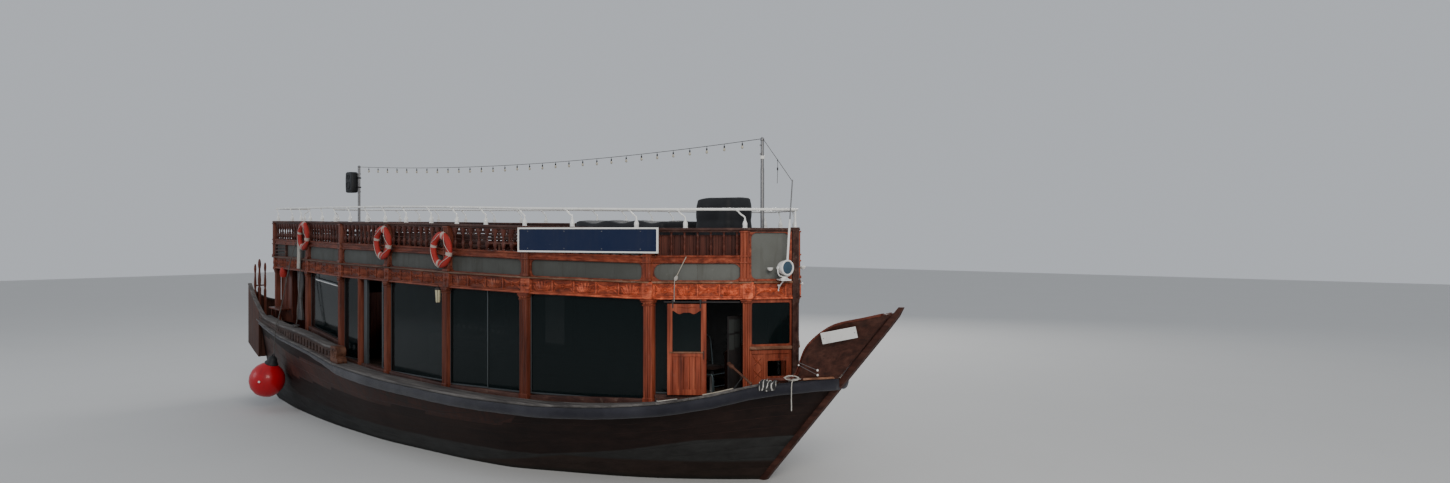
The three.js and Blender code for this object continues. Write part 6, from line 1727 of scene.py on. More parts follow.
# ------------------------------------------------------------------ lifebuoys
for i, (x, z) in enumerate(BUOYS):
    for s, nm in ((1, "port"), (-1, "starboard")):
        fr = Frame(x, s)
        c = fr.at(0, -0.078, z)
        u, n_, k_ = fr.u, fr.n, Vector((0, 0, 1))
        R, r = 0.285, 0.075

        def P(a, b, grow=0.0):
            e = u * math.cos(a) + k_ * math.sin(a)
            return c + e * (R + (r + grow) * math.cos(b)) + n_ * ((r + grow) * 0.75 * math.sin(b))
        g = Geo()
        g.loft([[P(2 * math.pi * q / 56, 2 * math.pi * w / 16) for w in range(16)] for q in range(56)], 0, loop=True)
        for q in range(4):
            m_ = math.radians((75, -15, -105, 165)[q])
            g.loft([[P(m_ - 0.11 + 0.22 * t / 4, 2 * math.pi * w / 16, 0.0045) for w in range(16)] for t in range(5)], 1)
        g.block(c + n_ * 0.062 + k_ * 0.20, u, n_, k_, 0.03, 0.014, 0.03, 0.004, 2)
        buoy = shown(f"lifebuoy_{i + 1}_{nm}_ring", g, [m_orange, m_bandw, m_steel], angle=60, hide=[f"lifebuoy_{i + 1}_{nm}"])
        # grab line: held under the four bands, slack between them
        rope = []
        for q in range(4):
            a0 = math.radians((75, -15, -105, 165)[q])
            a1 = a0 - math.pi / 2
            for w in range(9):
                t = w / 9
                a = a0 + (a1 - a0) * t
                slack = math.sin(math.pi * t)
                rad = R + r + 0.012 - 0.115 * slack
                over = -(0.010 + 0.062 * math.sin(math.pi * min(1, max(0, t))) ** 0.6)
                e = u * math.cos(a) + k_ * math.sin(a)
                rope.append(c + e * rad + n_ * over - k_ * (0.020 * slack))
        rope.append(rope[0] + u * 0.006 - k_ * 0.012)
        ro = curve_cord(f"grab_line_{i + 1}_{nm}", rope, 0.011, m_rope)
        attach(ro, "hull")
        tuple(rope[0])
        length_of(rope)

# ------------------------------------------------------------------ fender and its rope
fc = Vector((-7.07, -2.34, 0.79))
g = Geo()
f_ax = Vector((0.22, 0.06, 0.64)).normalized()
g.lathe([(0.001, -0.44), (0.11, -0.425), (0.24, -0.37), (0.35, -0.265), (0.415, -0.12), (0.43, 0.02), (0.40, 0.16), (0.33, 0.28), (0.235, 0.365), (0.17, 0.41), (0.145, 0.44)], 40, fc, f_ax)
g.lathe([(0.150, 0.425), (0.165, 0.435), (0.165, 0.455), (0.145, 0.475), (0.125, 0.51), (0.115, 0.565), (0.095, 0.60), (0.05, 0.635), (0.035, 0.64), (0.001, 0.64)], 24, fc, f_ax, 1)
g.lathe([(0.022, 0.0), (0.03, 0.012), (0.022, 0.03), (0.001, 0.032)], 12, fc + Vector((0.27, -0.335, 0.0)), Vector((0.63, -0.77, 0)), m=2)
ringp = [fc + f_ax * (0.66 + 0.045 * math.sin(a)) + Vector((0.045 * math.cos(a), 0, 0)) for a in [2 * math.pi * k / 20 for k in range(20)]]
g.tube(ringp, 0.012, 8, m=1, loop=True)
fend = shown("fender_buoy", g, [m_red, m_black, m_white], angle=50, hide=["fender"])
tip = fc + f_ax * 0.705
pts = spline([(-6.582, -1.806, 4.245), (-6.585, -1.842, 4.225), (-6.60, -1.895, 4.05), (-6.65, -2.01, 3.50), (-6.70, -2.09, 2.95), (-6.745, -2.155, 2.55), (-6.775, -2.205, 2.32), (-6.80, -2.240, 2.16),
              (-6.815, -2.255, 2.02), (-6.83, -2.262, 1.80), (-6.842, -2.268, 1.62), (tip.x, tip.y, tip.z)], 3)
rope = curve_cord("fender_rope", pts, 0.022, m_drope)
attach(rope, "hull")
tuple(pts[0])
length_of(pts)
ck = Vector((-5.84, -2.215, qz(-5.84) + 0.002))
g = Geo()
g.lathe([(0.055, 0), (0.055, 0.012), (0.022, 0.02), (0.022, 0.06), (0.034, 0.075), (0.001, 0.08)], 16, ck)
g.block(ck + Vector((0, 0, 0.062)), (1, 0.2, 0), (-0.2, 1, 0), (0, 0, 1), 0.125, 0.018, 0.014, 0.007)
lp = [ck + Vector((0.036 * math.cos(a), 0.036 * math.sin(a), 0.018 + 0.0045 * k / 3)) for k, a in enumerate([2 * math.pi * q / 12 for q in range(30)])]
g.tube(lp, 0.011, 8, m=1)
shown("quarter_cleat", g, [m_iron, m_drope])
# a line from the balustrade down to the cleat
top_fr = Frame(-6.02, -1)
t0 = top_fr.at(0, -0.050, 4.205)
pts = spline([t0, t0 - top_fr.n * 0.022 + Vector((0, 0, -0.04)), (-6.00, -2.012, 3.95), (-5.975, -2.045, 3.5), (-5.94, -2.10, 3.0), (-5.905, -2.145, 2.6), (-5.88, -2.175, 2.35), tuple(ck + Vector((-0.036, 0.0, 0.030)))], 4)
line = curve_cord("cleat_line", pts, 0.024, m_drope)
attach(line, "hull")
tuple(pts[0])
length_of(pts)

# ------------------------------------------------------------------ cabin doors
for s, nm in ((1, "port"), (-1, "starboard")):
    fr = Frame(5.87, s, 6)
    g, h = Geo(), Geo()
    s0, s1, z0, z1 = 0.36, 1.05, 1.662, 3.278
    f0, f1 = -0.052, -0.0125
    for a, b in ((s0, s0 + 0.092), (s1 - 0.092, s1)):
        fr.box(g, a, b, f0, f1, z0, z1, 0.006)
    fr.box(g, s0 + 0.092, s1 - 0.092, f0, f1, z0, z0 + 0.10, 0.006)
    fr.box(g, s0 + 0.092, s1 - 0.092, f0, f1, 2.34, 2.415, 0.006)
    fr.box(g, s0 + 0.04, s1 - 0.04, f0 - 0.016, f0 + 0.004, 2.405, 2.432, 0.008, 1)
    # head with a wavy lower edge
    m = 28
    wave = [(s0 + 0.090 + (s1 - s0 - 0.18) * k / m, 3.125 + 0.030 * math.cos(2 * math.pi * 2 * k / m) - 0.035 * math.exp(-((k / m - 0.5) / 0.10) ** 2)) for k in range(m + 1)]
    fr.plate(g, [(s0 + 0.090, z1 - 0.004), (s1 - 0.090, z1 - 0.004)] + wave[::-1], f0 + 0.002, f1 - 0.004)
    for k in (-1, 1):
        leaf(g, fr.at((s0 + s1) / 2, f0, 3.20), fr.at((s0 + s1) / 2 + k * 0.17, f0, 3.215), 0.05, -fr.n, 0.012, bend=0.12 * k)
    n = 5
    for k in range(n):
        a = s0 + 0.094 + (s1 - s0 - 0.188) * k / n
        b = s0 + 0.094 + (s1 - s0 - 0.188) * (k + 1) / n - 0.004
        fr.box(g, a, b, f0 + 0.010, f1 - 0.006, z0 + 0.096, 2.344, 0.005)
    fr.box(h, s0 + 0.088, s1 - 0.088, f0 + 0.020, f0 + 0.026, 2.412, 3.16, 0.001)
    # runners on the track and a pull
    for q in (s0 + 0.10, s1 - 0.10):
        g.lathe([(0.006, -0.008), (0.020, -0.007), (0.016, -0.002), (0.016, 0.002), (0.020, 0.007), (0.006, 0.008)], 14, fr.at(q, -0.040, 3.335), -fr.n, 2)
        fr.box(g, q - 0.012, q + 0.012, -0.054, -0.049, 3.20, 3.352, 0.002, 2)
    pull = [fr.at(s1 - 0.045, f0, 2.30), fr.at(s1 - 0.045, f0 - 0.018, 2.31), fr.at(s1 - 0.045, f0 - 0.018, 2.43), fr.at(s1 - 0.045, f0, 2.44)]
    g.tube(pull, 0.006, 8, 2)
    shown(f"door_leaf_{nm}", g, [m_door, m_ledge, m_iron], body=f"{nm}_door", hide=[f"cabin_door_{nm}"])
    shown(f"door_glass_{nm}", h, m_glass, body=f"{nm}_door", flat=True)
    g = Geo()
    fr.box(g, 0.30, 1.645, -0.0435, -0.0365, 3.300, 3.319, 0.001)
    for q in (0.32, 0.75, 1.2, 1.63):
        fr.box(g, q - 0.010, q + 0.010, -0.0370, 0.02, 3.302, 3.317, 0.001)
    shown(f"door_track_{nm}", g, m_iron)

# ------------------------------------------------------------------ ladder, bulkhead, cubicles
g = Geo()
for y in (0.22, -0.22):
    g.tube([(-9.45, y, 2.092), (-9.40, y, 2.225), (-8.80, y, 3.84), (-8.74, y, 4.0)], 0.024, 10)
for i in range(6):
    u = 0.10 + i * 0.145
    g.box(-9.45 + u * 0.71 - 0.045, -9.45 + u * 0.71 + 0.045, -0.232, 0.232, 2.0904 + u * 1.91 - 0.013, 2.0904 + u * 1.91 + 0.013, 0.006)
shown("ladder", g, m_bench, hide=["stern_ladder"])
g = Geo()
n = 11
for k in range(n):
    for s in (1, -1):
        a, b = 0.46 + (1.73 - 0.46) * k / n, 0.46 + (1.73 - 0.46) * (k + 1) / n - 0.004
        low = SALOON_FLOOR + 0.004 if b < 1.55 else 1.785
        ya, yb = (a, b) if s > 0 else (-b, -a)
        g.box(-5.695, -5.662, ya, yb, low, 3.715, 0.004)
g.box(-5.695, -5.662, -0.455, 0.455, 2.96, 3.715, 0.006)
for y in (-0.50, 0.44):
    g.box(-5.712, -5.648, y, y + 0.06, SALOON_FLOOR + 0.003, 3.0, 0.006)
g.box(-5.712, -5.648, -0.50, 0.50, 2.95, 3.02, 0.006)
shown("aft_bulkhead_boards", g, m_inner, hide=["aft_bulkhead"])
for s, nm in ((1, "port"), (-1, "starboard")):
    g = Geo()

    def slab(a, b, z0, z1, t0, t1, n, m=0):
        """upright boards on the line from a to b, between offsets t0 and t1 outwards"""
        a, b = Vector((*a, 0)), Vector((*b, 0))
        u = (b - a).normalized()
        nrm = Vector((-u.y, u.x, 0))
        L = (b - a).length
        for k in range(n):
            c0, c1 = L * k / n + 0.002, L * (k + 1) / n - 0.002
            cc = a + u * ((c0 + c1) / 2) + nrm * ((t0 + t1) / 2)
            g.block((cc.x, cc.y * s, (z0 + z1) / 2), (u.x, u.y * s, 0), (nrm.x, nrm.y * s, 0), (0, 0, 1), (c1 - c0) / 2, abs(t1 - t0) / 2, (z1 - z0) / 2, 0.005, m)
    slab((-8.44, 1.225), (-7.50, 1.41), 2.14, 3.72, 0.0, 0.030, 3)
    slab((-8.44, 0.985), (-7.50, 1.185), SALOON_FLOOR + 0.004, 2.14, 0.0, 0.015, 4)
    slab((-8.425, 0.44), (-8.425, 1.22), SALOON_FLOOR + 0.004, 3.72, 0.0, 0.015, 4)
    slab((-7.515, 0.44), (-7.515, 1.40), SALOON_FLOOR + 0.30, 3.72, 0.0, -0.014, 5)
    slab((-8.42, 0.435), (-7.52, 0.435), SALOON_FLOOR + 0.004, 3.72, -0.014, 0.0, 5)
    slab((-8.44, 1.20), (-7.50, 1.385), 3.68, 3.728, -0.10, 0.03, 1)
    # raised frames with arched heads on the outer face
    a, b = Vector((-8.44, 1.258, 0)), Vector((-7.50, 1.443, 0))
    u = (b - a).normalized()

    class F2:
        def at(self, q, d, z):
            p = a + u * q + Vector((-u.y, u.x, 0)) * (-d)
            return Vector((p.x, p.y * s, z))
    f2 = F2()
    for q0, q1 in ((0.02, 0.44), (0.50, 0.93)):
        holed(g, f2, q0, q1, 2.40, 3.66, q0 + 0.05, q1 - 0.05, 2.47, 3.58, 0.15, -0.014, 0.006, m=1)
    shown(f"cubicle_{nm}", g, [m_door, m_door], hide=[f"stern_cubicle_{nm}"])

# ------------------------------------------------------------------ saloon
cnt = 0
BEN = [(-5.3, 1.66), (-3.35, 2.04), (-1.0, 2.36), (1.3, 2.46), (3.37, 2.18), (4.3, 1.90)]
ben_y = lambda x: lerp(BEN, x)
for s, nm in ((1, "port"), (-1, "starboard")):
    g = Geo()
    for (xa, ya), (xb, yb) in zip(BEN, BEN[1:]):
        n = max(2, round((xb - xa) / 0.16))
        for k in range(n):
            x0, x1 = xa + (xb - xa) * k / n, xa + (xb - xa) * (k + 1) / n - 0.005
            y0, y1 = ben_y(x0) - 0.43, ben_y(x1) - 0.43
            g.loft([[(x0, y0 * s, zz), (x1, y1 * s, zz), (x1, (y1 + 0.016) * s, zz), (x0, (y0 + 0.016) * s, zz)] for zz in (SALOON_FLOOR + 0.004, SALOON_FLOOR + 0.36)])
        g.loft([[(xa + 0.002, (ya - c) * s, zz) for c, zz in ((0.0, 1.315), (0.0, 1.345), (0.445, 1.345), (0.445, 1.315))],
                [(xb - 0.002, (yb - c) * s, zz) for c, zz in ((0.0, 1.315), (0.0, 1.345), (0.445, 1.345), (0.445, 1.315))]], 0)
    shown(f"bench_locker_{nm}", g, m_inner, hide=[f"saloon_bench_{nm}"])
    segs = [(-5.2, -4.3), (-4.28, -3.40), (-3.30, -2.17), (-2.15, -1.05), (-0.95, 0.15), (0.17, 1.25), (1.35, 2.33), (2.35, 3.32), (3.42, 4.25)]
    for xa, xb in segs:
        ya, yb = ben_y(xa), ben_y(xb)
        u = Vector((xb - xa, (yb - ya) * s, 0))
        L = u.length
        u.normalize()
        v = Vector((-u.y, u.x, 0)) * s
        c = Vector(((xa + xb) / 2, ((ya + yb) / 2 - 0.222) * s, 1.346))
        cushion(f"seat_cushion_{nm}_{cnt % 9}", c, u, v, L - 0.02, 0.43, 0.09, m_cushion, seed=cnt)
        cnt += 1

# helm console, wheel and chair
g = Geo()
for k in range(6):
    y0, y1 = -0.395 + 0.79 * k / 6, -0.395 + 0.79 * (k + 1) / 6 - 0.004
    g.loft([[(x, y, z) for x, z in ((6.425, HELM_FLOOR + 0.004), (6.80, HELM_FLOOR + 0.004), (6.80, 2.42), (6.56, 2.42), (6.425, 2.285))] for y in (y0, y1)])
g.loft([[(x, y, z) for x, z in ((6.40, 2.285), (6.415, 2.305), (6.55, 2.448), (6.80, 2.448), (6.80, 2.42), (6.56, 2.42))] for y in (-0.40, 0.40)], 1)
for y in (-0.22, 0.0, 0.22):
    p = Vector((6.475, y, 2.368))
    g.lathe([(0.045, 0), (0.048, 0.008), (0.040, 0.014), (0.001, 0.012)], 20, p, (-0.72, 0, 0.69), 2)
shown("helm_console_boards", g, [m_inner, m_hand, m_iron], hide=["helm_console"])
g = Geo()
g.lathe([(0.20, 0), (0.20, 0.012), (0.17, 0.024), (0.06, 0.032), (0.045, 0.06), (0.036, 0.08), (0.036, 0.34), (0.05, 0.36), (0.05, 0.44), (0.12, 0.452)], 24, (5.75, 0, HELM_FLOOR + 0.002))
g.tube([(5.58, 0.0, 1.885), (5.535, 0.0, 1.93), (5.53, 0.0, 2.30)], 0.016, 8)
shown("helm_pedestal", g, m_steel, hide=["helm_chair"])
cushion("helm_seat", (5.755, 0, 1.895), (1, 0, 0), (0, 1, 0), 0.45, 0.46, 0.10, m_cushion, seed=31)
cushion("helm_back", (5.575, 0, 2.28), (0, 0, 1), (0, 1, 0), 0.50, 0.44, 0.065, m_cushion, seed=37)
g = Geo()
cw = Vector((6.36, 0, 2.16))
rim = [cw + Vector((0, 0.22 * math.cos(a), 0.22 * math.sin(a))) for a in [2 * math.pi * k / 40 for k in range(40)]]
g.tube(rim, 0.0155, 10, loop=True)
g.lathe([(0.03, -0.034), (0.05, -0.03), (0.052, 0.0), (0.045, 0.022), (0.02, 0.034), (0.001, 0.035)], 20, cw, (-1, 0, 0), 1)
for k in range(6):
    a = math.pi / 3 * k
    dr = Vector((0, -math.sin(a), math.cos(a)))
    g.lathe([(0.012, 0.04), (0.010, 0.07), (0.015, 0.11), (0.015, 0.15), (0.009, 0.19), (0.012, 0.21), (0.011, 0.235), (0.016, 0.255), (0.013, 0.285), (0.001, 0.29)], 10, cw, dr)
shown("steering_wheel", g, [m_door, m_bronze], body="helm_wheel", hide=["helm_wheel"])

# ------------------------------------------------------------------ lantern, lamp housing, curtains
g = Geo()
fr = Frame(1.02, -1)
lt = fr.at(0, -0.02, 0)
g.lathe([(0.006, 0.0), (0.006, 0.055)], 8, (lt.x, lt.y, 3.43), m=1)
g.lathe([(0.062, 0.0), (0.066, 0.012), (0.058, 0.030), (0.030, 0.048), (0.012, 0.055)], 16, (lt.x, lt.y, 3.385), m=1)
g.lathe([(0.038, 0.0), (0.044, 0.01), (0.050, 0.12), (0.056, 0.235), (0.056, 0.25)], 16, (lt.x, lt.y, 3.135))
for k in range(4):
    a = math.pi / 4 + k * math.pi / 2
    g.tube([(lt.x + 0.042 * math.cos(a), lt.y + 0.042 * math.sin(a), 3.13), (lt.x + 0.060 * math.cos(a), lt.y + 0.060 * math.sin(a), 3.39)], 0.004, 6, 1)
g.lathe([(0.001, 0), (0.040, 0.004), (0.042, 0.014), (0.036, 0.018)], 16, (lt.x, lt.y, 3.118), m=1)
shown("lantern", g, [m_cream, m_iron])
for s, nm in ((1, "port"), (-1, "starboard")):
    g = Geo()
    fr = Frame(-5.82 + 1e-4, s)
    lamp = [fr.at(0.55 + 1.65 * k / 6, 0.050, 3.365 - 0.085 * k / 6) for k in range(7)]
    g.tube(lamp, 0.017, 8)
    g.loft([[q + Vector((0, 0, zz)) + fr.n * dd for dd, zz in ((-0.030, 0.020), (0.030, 0.020), (0.022, 0.042), (-0.022, 0.042))] for q in (lamp[0], lamp[-1])], 1)
    for q in (lamp[0], lamp[-1]):
        g.tube([q + Vector((0, 0, 0.04)), q + Vector((0, 0, 0.04)) + Vector((0, 0, 3.52 - q.z - 0.04))], 0.006, 6, 1)
    shown(f"lamp_housing_{nm}", g, [m_plate, m_alu])

    # gathered clear curtain under the frieze, tied in the middle
    fr = Frame(-6.62, s)
    zt, zb_ = 3.515, 2.29

    def curtain(u, v):
        w = 0.42 - 0.26 * math.exp(-((v - 0.55) / 0.20) ** 2)
        ph = u * 2 * math.pi * 9
        amp = 0.030 + 0.012 * v - 0.008 * math.exp(-((v - 0.55) / 0.2) ** 2)
        ss = (u - 0.5) * w + 0.006 * math.sin(v * 7 + u * 5)
        dd = 0.075 + amp * math.sin(ph + 0.5 * math.sin(v * 4)) + 0.010 * math.sin(u * 7 + v * 6)
        return fr.at(ss, dd, zt - (zt - zb_) * v)
    o, area = hung(f"clear_curtain_{nm}", m_awning, 90, 30, curtain, 0.003)
    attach(o, "hull")
    W = area / (zt - zb_)
    g = Geo()
    rp = [fr.at(0.105 * math.cos(a), 0.075 + 0.052 * math.sin(a), zt - (zt - zb_) * 0.55) for a in [2 * math.pi * k / 24 for k in range(24)]]
    g.tube(rp, 0.008, 6, loop=True)
    fr.box(g, -0.24, 0.24, 0.062, 0.088, 3.507, 3.522, 0.003)
    shown(f"curtain_tie_{nm}", g, m_drope)

    # loose cloth hanging from the first buoy over the frieze
    fr = Frame(-6.33, s)
    zt2, zb2 = 4.315, 3.60

    def strip(u, v):
        w = 0.16 + 0.05 * v
        ph = u * 2 * math.pi * 4
        d0 = -0.058 - 0.0 * v
        return fr.at((u - 0.5) * w + 0.02 * math.sin(v * 3), d0 - 0.018 * math.sin(ph + v), zt2 - (zt2 - zb2) * v)
    o, area = hung(f"loose_cloth_{nm}", m_rope, 40, 22, strip, 0.003)
    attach(o, "hull")

# ------------------------------------------------------------------ loose gear at the bow and stern
def striped_material():
    M = Mat("striped_cloth")
    wv = M.noise(3.0, 3, 0.5, shift=(2, 7, 1))
    st = M.rng(M.math("ABSOLUTE", M.math("SUBTRACT", M.math("FRACT", M.math("MULTIPLY", M.math("ADD", M.xyz(0), M.math("MULTIPLY", wv, 0.11)), 19.0)), 0.5)), 0.36, 0.41)
    st = M.math("MULTIPLY", st, M.rng(M.noise(7.0, 3, 0.5, shift=(1, 1, 9)), 0.46, 0.52))
    n1 = M.noise(9.0, 5, 0.6)
    col = M.mix(st, (0.012, 0.012, 0.014), (0.50, 0.49, 0.46))
    col = M.mix(M.rng(n1, 0.45, 0.75, 0.0, 0.5), col, (0.10, 0.09, 0.08))
    return M.done(col, 0.85, M.bump(n1, 0.4, 0.006), Sheen_Weight=0.2)


m_stripe = striped_material()
m_pole = painted("pale_pole", (0.42, 0.38, 0.31), dirt=(0.16, 0.12, 0.09), rough=(0.5, 0.7), chips=0.3)
m_notice = painted("blank_notice", (0.050, 0.056, 0.054), dirt=(0.03, 0.03, 0.028), rough=(0.6, 0.8), chips=0.1)
m_tubing = painted("chair_tubing", (0.15, 0.20, 0.22), dirt=(0.08, 0.09, 0.09), rough=(0.3, 0.5), metal=0.5, chips=0.2)


def cloth_over(u, v):
    """folded cloth over the capping, its outer end hanging a little"""
    x = 7.875 + 0.21 * u + 0.014 * math.sin(v * 6 + u * 3)
    e = max(0.0, (v - 0.60) / 0.40)
    y = rail_y(x) - 0.14 + 0.245 * min(v / 0.66, 1.0) + 0.006 * e
    fold = 0.017 * (1 + math.sin(u * 22 + 2.2 * math.sin(v * 5))) + 0.009 * (1 + math.sin(v * 17 + u * 9))
    top = rail_z(x) + (0.055 if x < 7.95 else 0.030)
    return Vector((x, -(y + fold * e * 0.8), top + fold * (1 - e) - 0.135 * e ** 1.4))


o, area = hung("striped_bundle", m_stripe, 60, 40, cloth_over, 0.005)
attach(o, "hull")

g = Geo()
rt, rn = Vector((0.731, 0.682, 0)), Vector((-0.682, 0.731, 0))
bc = Vector((8.245, -0.775, 0)) - rt * 0.215 + rn * 0.02 + Vector((0, 0, rail_z(8.09) + 0.001))
g.lathe([(0.026, 0), (0.026, 0.008), (0.012, 0.014), (0.012, 0.036), (0.018, 0.044), (0.001, 0.048)], 14, bc)
g.block(bc + Vector((0, 0, 0.038)), rt, rn, (0, 0, 1), 0.05, 0.009, 0.008, 0.004)
shown("bow_cleat", g, m_iron)
hc = Vector((8.285, -0.818, rail_z(8.246) + 0.076))
P = [tuple(bc + rt * 0.013 + Vector((0, 0, 0.020)))]
for k in range(26):
    a = math.radians(200 + k * 43.0)
    lean = 0.026 - 0.0026 * k
    tip_ = 0.24 * math.sin(k * 0.23 + 0.4)
    u_, w_ = (0.125 + 0.022 * math.sin(k * 0.9)) * math.cos(a), (0.042 + 0.010 * math.sin(k * 0.55 + 1.0)) * math.sin(a)
    q = hc + rt * (u_ * math.cos(tip_) - 0.3 * w_) + Vector((0, 0, w_ + 0.20 * u_ * math.sin(tip_) - 0.010)) + rn * (lean - 0.016 * math.sin(a + 0.5 * k / 8))
    P.append(tuple(q))
P += [tuple(hc + rt * 0.140 - rn * 0.022 + Vector((0, 0, -0.022))), tuple(hc + rt * 0.085 - rn * 0.034 + Vector((0, 0, -0.018))), (8.312, -0.826, 2.034), (8.297, -0.845, 1.985), (8.291, -0.846, 1.90), (8.289, -0.845, 1.80), (8.288, -0.846, 1.70), (8.290, -0.845, 1.60), (8.290, -0.845, 1.505)]
pts = [Vector(q) for q in P]
bowline = curve_cord("bow_line", pts, 0.018, m_rope)
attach(bowline, "hull")
tuple(pts[0])
length_of(pts)

# short end of a mooring line on the capping, lashed to a pin
g = Geo()
pc = Vector((6.30, -(rail_y(6.30) - 0.045), rail_z(6.30) + 0.049))
g.lathe([(0.024, 0), (0.024, 0.008), (0.011, 0.014), (0.011, 0.05), (0.018, 0.062), (0.001, 0.068)], 12, pc)
shown("capping_pin", g, m_iron)
P = [tuple(pc + Vector((0.014, 0.0, 0.016)))]
for k in range(10):
    t = (k + 1) / 10
    x = 6.32 + 0.33 * t
    P.append((x, -(rail_y(x) - 0.030 + 0.035 * math.sin(t * 7.5)), rail_z(x) + 0.0485 + 0.0105))
pts = spline(P, 3)
tail = curve_cord("line_tail", pts, 0.020, m_rope)
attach(tail, "hull")
tuple(pts[0])
length_of(pts)

# poles on the capping, a boat hook leaning into the doorway, rods on the prow, a rod on the cabin side
g = Geo()
for off in (0.015, 0.048):
    pp = []
    for k in range(7):
        x = 7.02 + 0.42 * k / 6
        pp.append((x, -(rail_y(x) - off), rail_z(x) + 0.049 + 0.011))
    g.tube(pp, 0.011, 8)
shown("capping_poles", g, m_pole)
g = Geo()
A, B = Vector((7.665, -1.150, rail_z(7.665) + 0.062)), Vector((7.130, -1.085, 2.215))
g.tube([A, A.lerp(B, 0.5) + Vector((0, 0, 0.006)), B], 0.021, 10)
d = (B - A).normalized()
g.lathe([(0.022, 0.0), (0.036, 0.02), (0.041, 0.06), (0.033, 0.11), (0.038, 0.14), (0.020, 0.165), (0.006, 0.17)], 14, B - d * 0.10, d)
g.lathe([(0.022, 0.0), (0.026, 0.01), (0.026, 0.05), (0.022, 0.06)], 10, A, d)
M_ = A.lerp(B, 0.46)
foot_ = Vector((7.44, -(rail_y(7.44) - 0.06), rail_z(7.44) + 0.048))
for q in (-0.022, 0.022):
    g.tube([foot_ + d * q * 0.6, M_ + Vector((0, 0, -0.055)) + Vector((q * 0.4, -0.004, 0)), M_ + Vector((q * 1.1, -q * 0.5, -0.004)), M_ + Vector((q * 1.15, -q * 0.5, 0.020))], 0.0065, 8, 1)
g.lathe([(0.001, 0), (0.040, 0), (0.040, 0.006), (0.001, 0.010)], 14, foot_, m=1)
shown("boat_hook", g, [m_scroll, m_black])
g = Geo()
for a, b in ((Vector((8.425, -0.815, 2.335)), Vector((8.600, -0.520, 2.190))), (Vector((8.412, -0.805, 2.290)), Vector((8.585, -0.495, 2.105)))):
    g.tube([a, b], 0.0045, 8)
    g.lathe([(0.001, -0.021), (0.015, -0.015), (0.021, 0), (0.015, 0.015), (0.001, 0.021)], 14, b, m=1)
    g.tube([b, b + Vector((-0.05, 0.09, 0.02))], 0.004, 6)
g.lathe([(0.001, -0.015), (0.011, -0.010), (0.015, 0), (0.011, 0.010), (0.001, 0.015)], 12, Vector((8.412, -0.805, 2.290)), m=1)
g.tube([Vector((8.425, -0.815, 2.335)), Vector((8.415, -0.79, 2.33)), Vector((8.405, -0.765, 2.325))], 0.004, 6)
shown("prow_rods", g, [m_steel, m_white])
g = Geo()
A, B = Vector((6.29, -1.605, 3.70)), Vector((6.456, -1.485, 4.110))
g.tube([A, B], 0.0085, 8)
g.lathe([(0.012, 0.0), (0.030, 0.02), (0.036, 0.05), (0.022, 0.09), (0.010, 0.10)], 10, A - Vector((0, 0, 0.015)), (B - A).normalized(), 1)
g.tube([A, A + Vector((0.004, -0.012, -0.06)), Vector((6.283, -1.612, 3.50)), Vector((6.280, -1.608, 3.315))], 0.0055, 8, 1)
shown("side_rod", g, [m_pole, m_rope])

# edge board over the rub rail at the stem
for s, nm in ((1, "port"), (-1, "starboard")):
    g = Geo()
    rings = []
    for k in range(9):
        x = 8.42 + 0.30 * k / 8
        rings.append([(x, (rail_y(x) + a) * s, rail_z(x) + b) for a, b in rrect(0.0, 0.095, 0.004, 0.040, 0.012)])
    g.loft(rings)
    shown(f"stem_edge_{nm}", g, m_ledge, angle=50)

# board with blank notices beside the console, frame of the helm chair
g = Geo()
g.box(6.803, 6.822, -0.77, -0.405, HELM_FLOOR + 0.003, 3.03, 0.004)
for y0, y1, z0, z1 in ((-0.745, -0.60, 2.72, 2.97), (-0.59, -0.43, 2.74, 2.96), (-0.74, -0.59, 2.42, 2.69), (-0.575, -0.435, 2.45, 2.70)):
    g.box(6.8215, 6.8235, y0, y1, z0, z1, 0.0008, 1)
shown("notice_board", g, [m_iron, m_notice])
g = Geo()
hoop = [(5.625, -0.24, 1.46), (5.60, -0.24, 1.86), (5.545, -0.245, 2.30), (5.535, -0.225, 2.47), (5.532, -0.15, 2.545), (5.530, 0.0, 2.56), (5.532, 0.15, 2.545), (5.535, 0.225, 2.47), (5.545, 0.245, 2.30), (5.60, 0.24, 1.86), (5.625, 0.24, 1.46)]
g.tube(spline(hoop, 3), 0.0125, 8)
for y in (-0.24, 0.24):
    g.tube([(5.605, y, 1.845), (5.98, y, 1.845), (6.00, y, 1.80), (6.005, y, HELM_FLOOR + 0.02)], 0.0125, 8)
g.tube([(5.985, -0.24, 1.845), (5.985, 0.24, 1.845)], 0.011, 8)
g.tube([(6.00, -0.24, 1.62), (6.00, 0.24, 1.62)], 0.010, 8)
shown("helm_chair_frame", g, m_tubing)

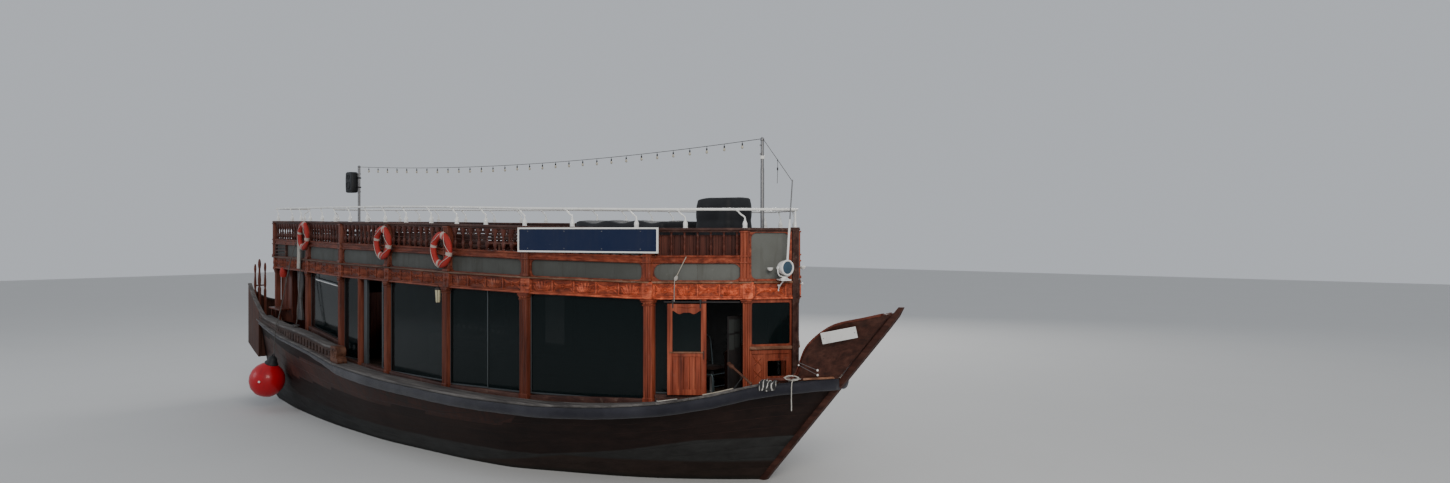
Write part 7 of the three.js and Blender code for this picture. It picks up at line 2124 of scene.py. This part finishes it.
# slatted opening at the after end of the balustrade, shelf and life vest by the cubicle
for s, nm in ((1, "port"), (-1, "starboard")):
    g = Geo()
    fr = Frame(-8.45, s)
    zr = rail_top(-8.2)
    for k in range(4):
        zz = zr - 0.60 - 0.088 * k
        fr.box(g, -0.02, 0.86, -0.012, 0.050, zz - 0.030, zz, 0.008)
    for q in (-0.045, 0.86):
        fr.box(g, q, q + 0.045, -0.020, 0.055, zr - 0.935, zr - 0.575, 0.008)
    shown(f"stern_slats_{nm}", g, m_hand)
    g = Geo()
    g.loft([[(-8.47, y * s, z) for y, z in ((1.245, 2.49), (1.60, 2.49), (1.60, 2.525), (1.245, 2.525))], [(-7.62, y * s, z) for y, z in ((1.415, 2.47), (1.745, 2.47), (1.745, 2.505), (1.415, 2.505))]])
    for x, y in ((-8.40, 1.54), (-7.70, 1.68)):
        g.box(x - 0.02, x + 0.02, *((y - 0.02, y + 0.02) if s > 0 else (-y - 0.02, -y + 0.02)), 2.10, 2.485, 0.004)
    shown(f"stern_shelf_{nm}", g, m_door)
    g = Geo()
    c = Vector((-7.86, 1.50 * s, 3.46))
    g.lathe([(0.02, -0.135), (0.075, -0.125), (0.095, -0.06), (0.098, 0.03), (0.080, 0.10), (0.045, 0.13), (0.02, 0.135)], 16, c, (0.1, 0, 1))
    g.tube([c + Vector((0, 0, 0.12)), c + Vector((0.005, 0.005 * s, 0.20)), Vector((-7.86, (side_half(-7.86) - 0.005) * s, 3.70))], 0.007, 6, 1)
    shown(f"spare_float_{nm}", g, [m_orange, m_drope])

# ------------------------------------------------------------------ floor and light
def stage():
    me = bpy.data.meshes.new("floor")
    me.from_pydata([(-90, -90, 0), (90, -90, 0), (90, 90, 0), (-90, 90, 0)], [], [(0, 1, 2, 3)])
    M = Mat("floor_pale")
    n = M.noise(0.4, 3, 0.5)
    me.materials.append(M.done(M.mix(M.rng(n, 0.3, 0.7, 0.0, 0.25), (0.60, 0.60, 0.59), (0.56, 0.56, 0.55)), 0.75))
    o = bpy.data.objects.new("floor", me)
    bpy.context.collection.objects.link(o)
    w = bpy.data.worlds.new("studio")
    bpy.context.scene.world = w
    w.use_nodes = True
    bg = w.node_tree.nodes["Background"]
    bg.inputs[0].default_value = (0.80, 0.84, 0.90, 1)
    bg.inputs[1].default_value = 0.62

    def area(name, loc, target, size, power, color):
        l = bpy.data.lights.new(name, "AREA")
        l.shape = "RECTANGLE"
        l.size, l.size_y = size
        l.energy = power
        l.color = color
        q = bpy.data.objects.new(name, l)
        bpy.context.collection.objects.link(q)
        q.location = loc
        q.rotation_euler = (Vector(target) - Vector(loc)).to_track_quat("-Z", "Y").to_euler()
    area("key", (26, -16, 16), (0, 0, 2), (12, 8), 3900, (1.0, 0.95, 0.88))
    area("fill", (-22, -24, 12), (0, 0, 2), (14, 10), 1700, (0.86, 0.92, 1.0))
    area("back", (-10, 26, 16), (0, 0, 3), (14, 8), 2200, (1.0, 0.97, 0.93))


stage()
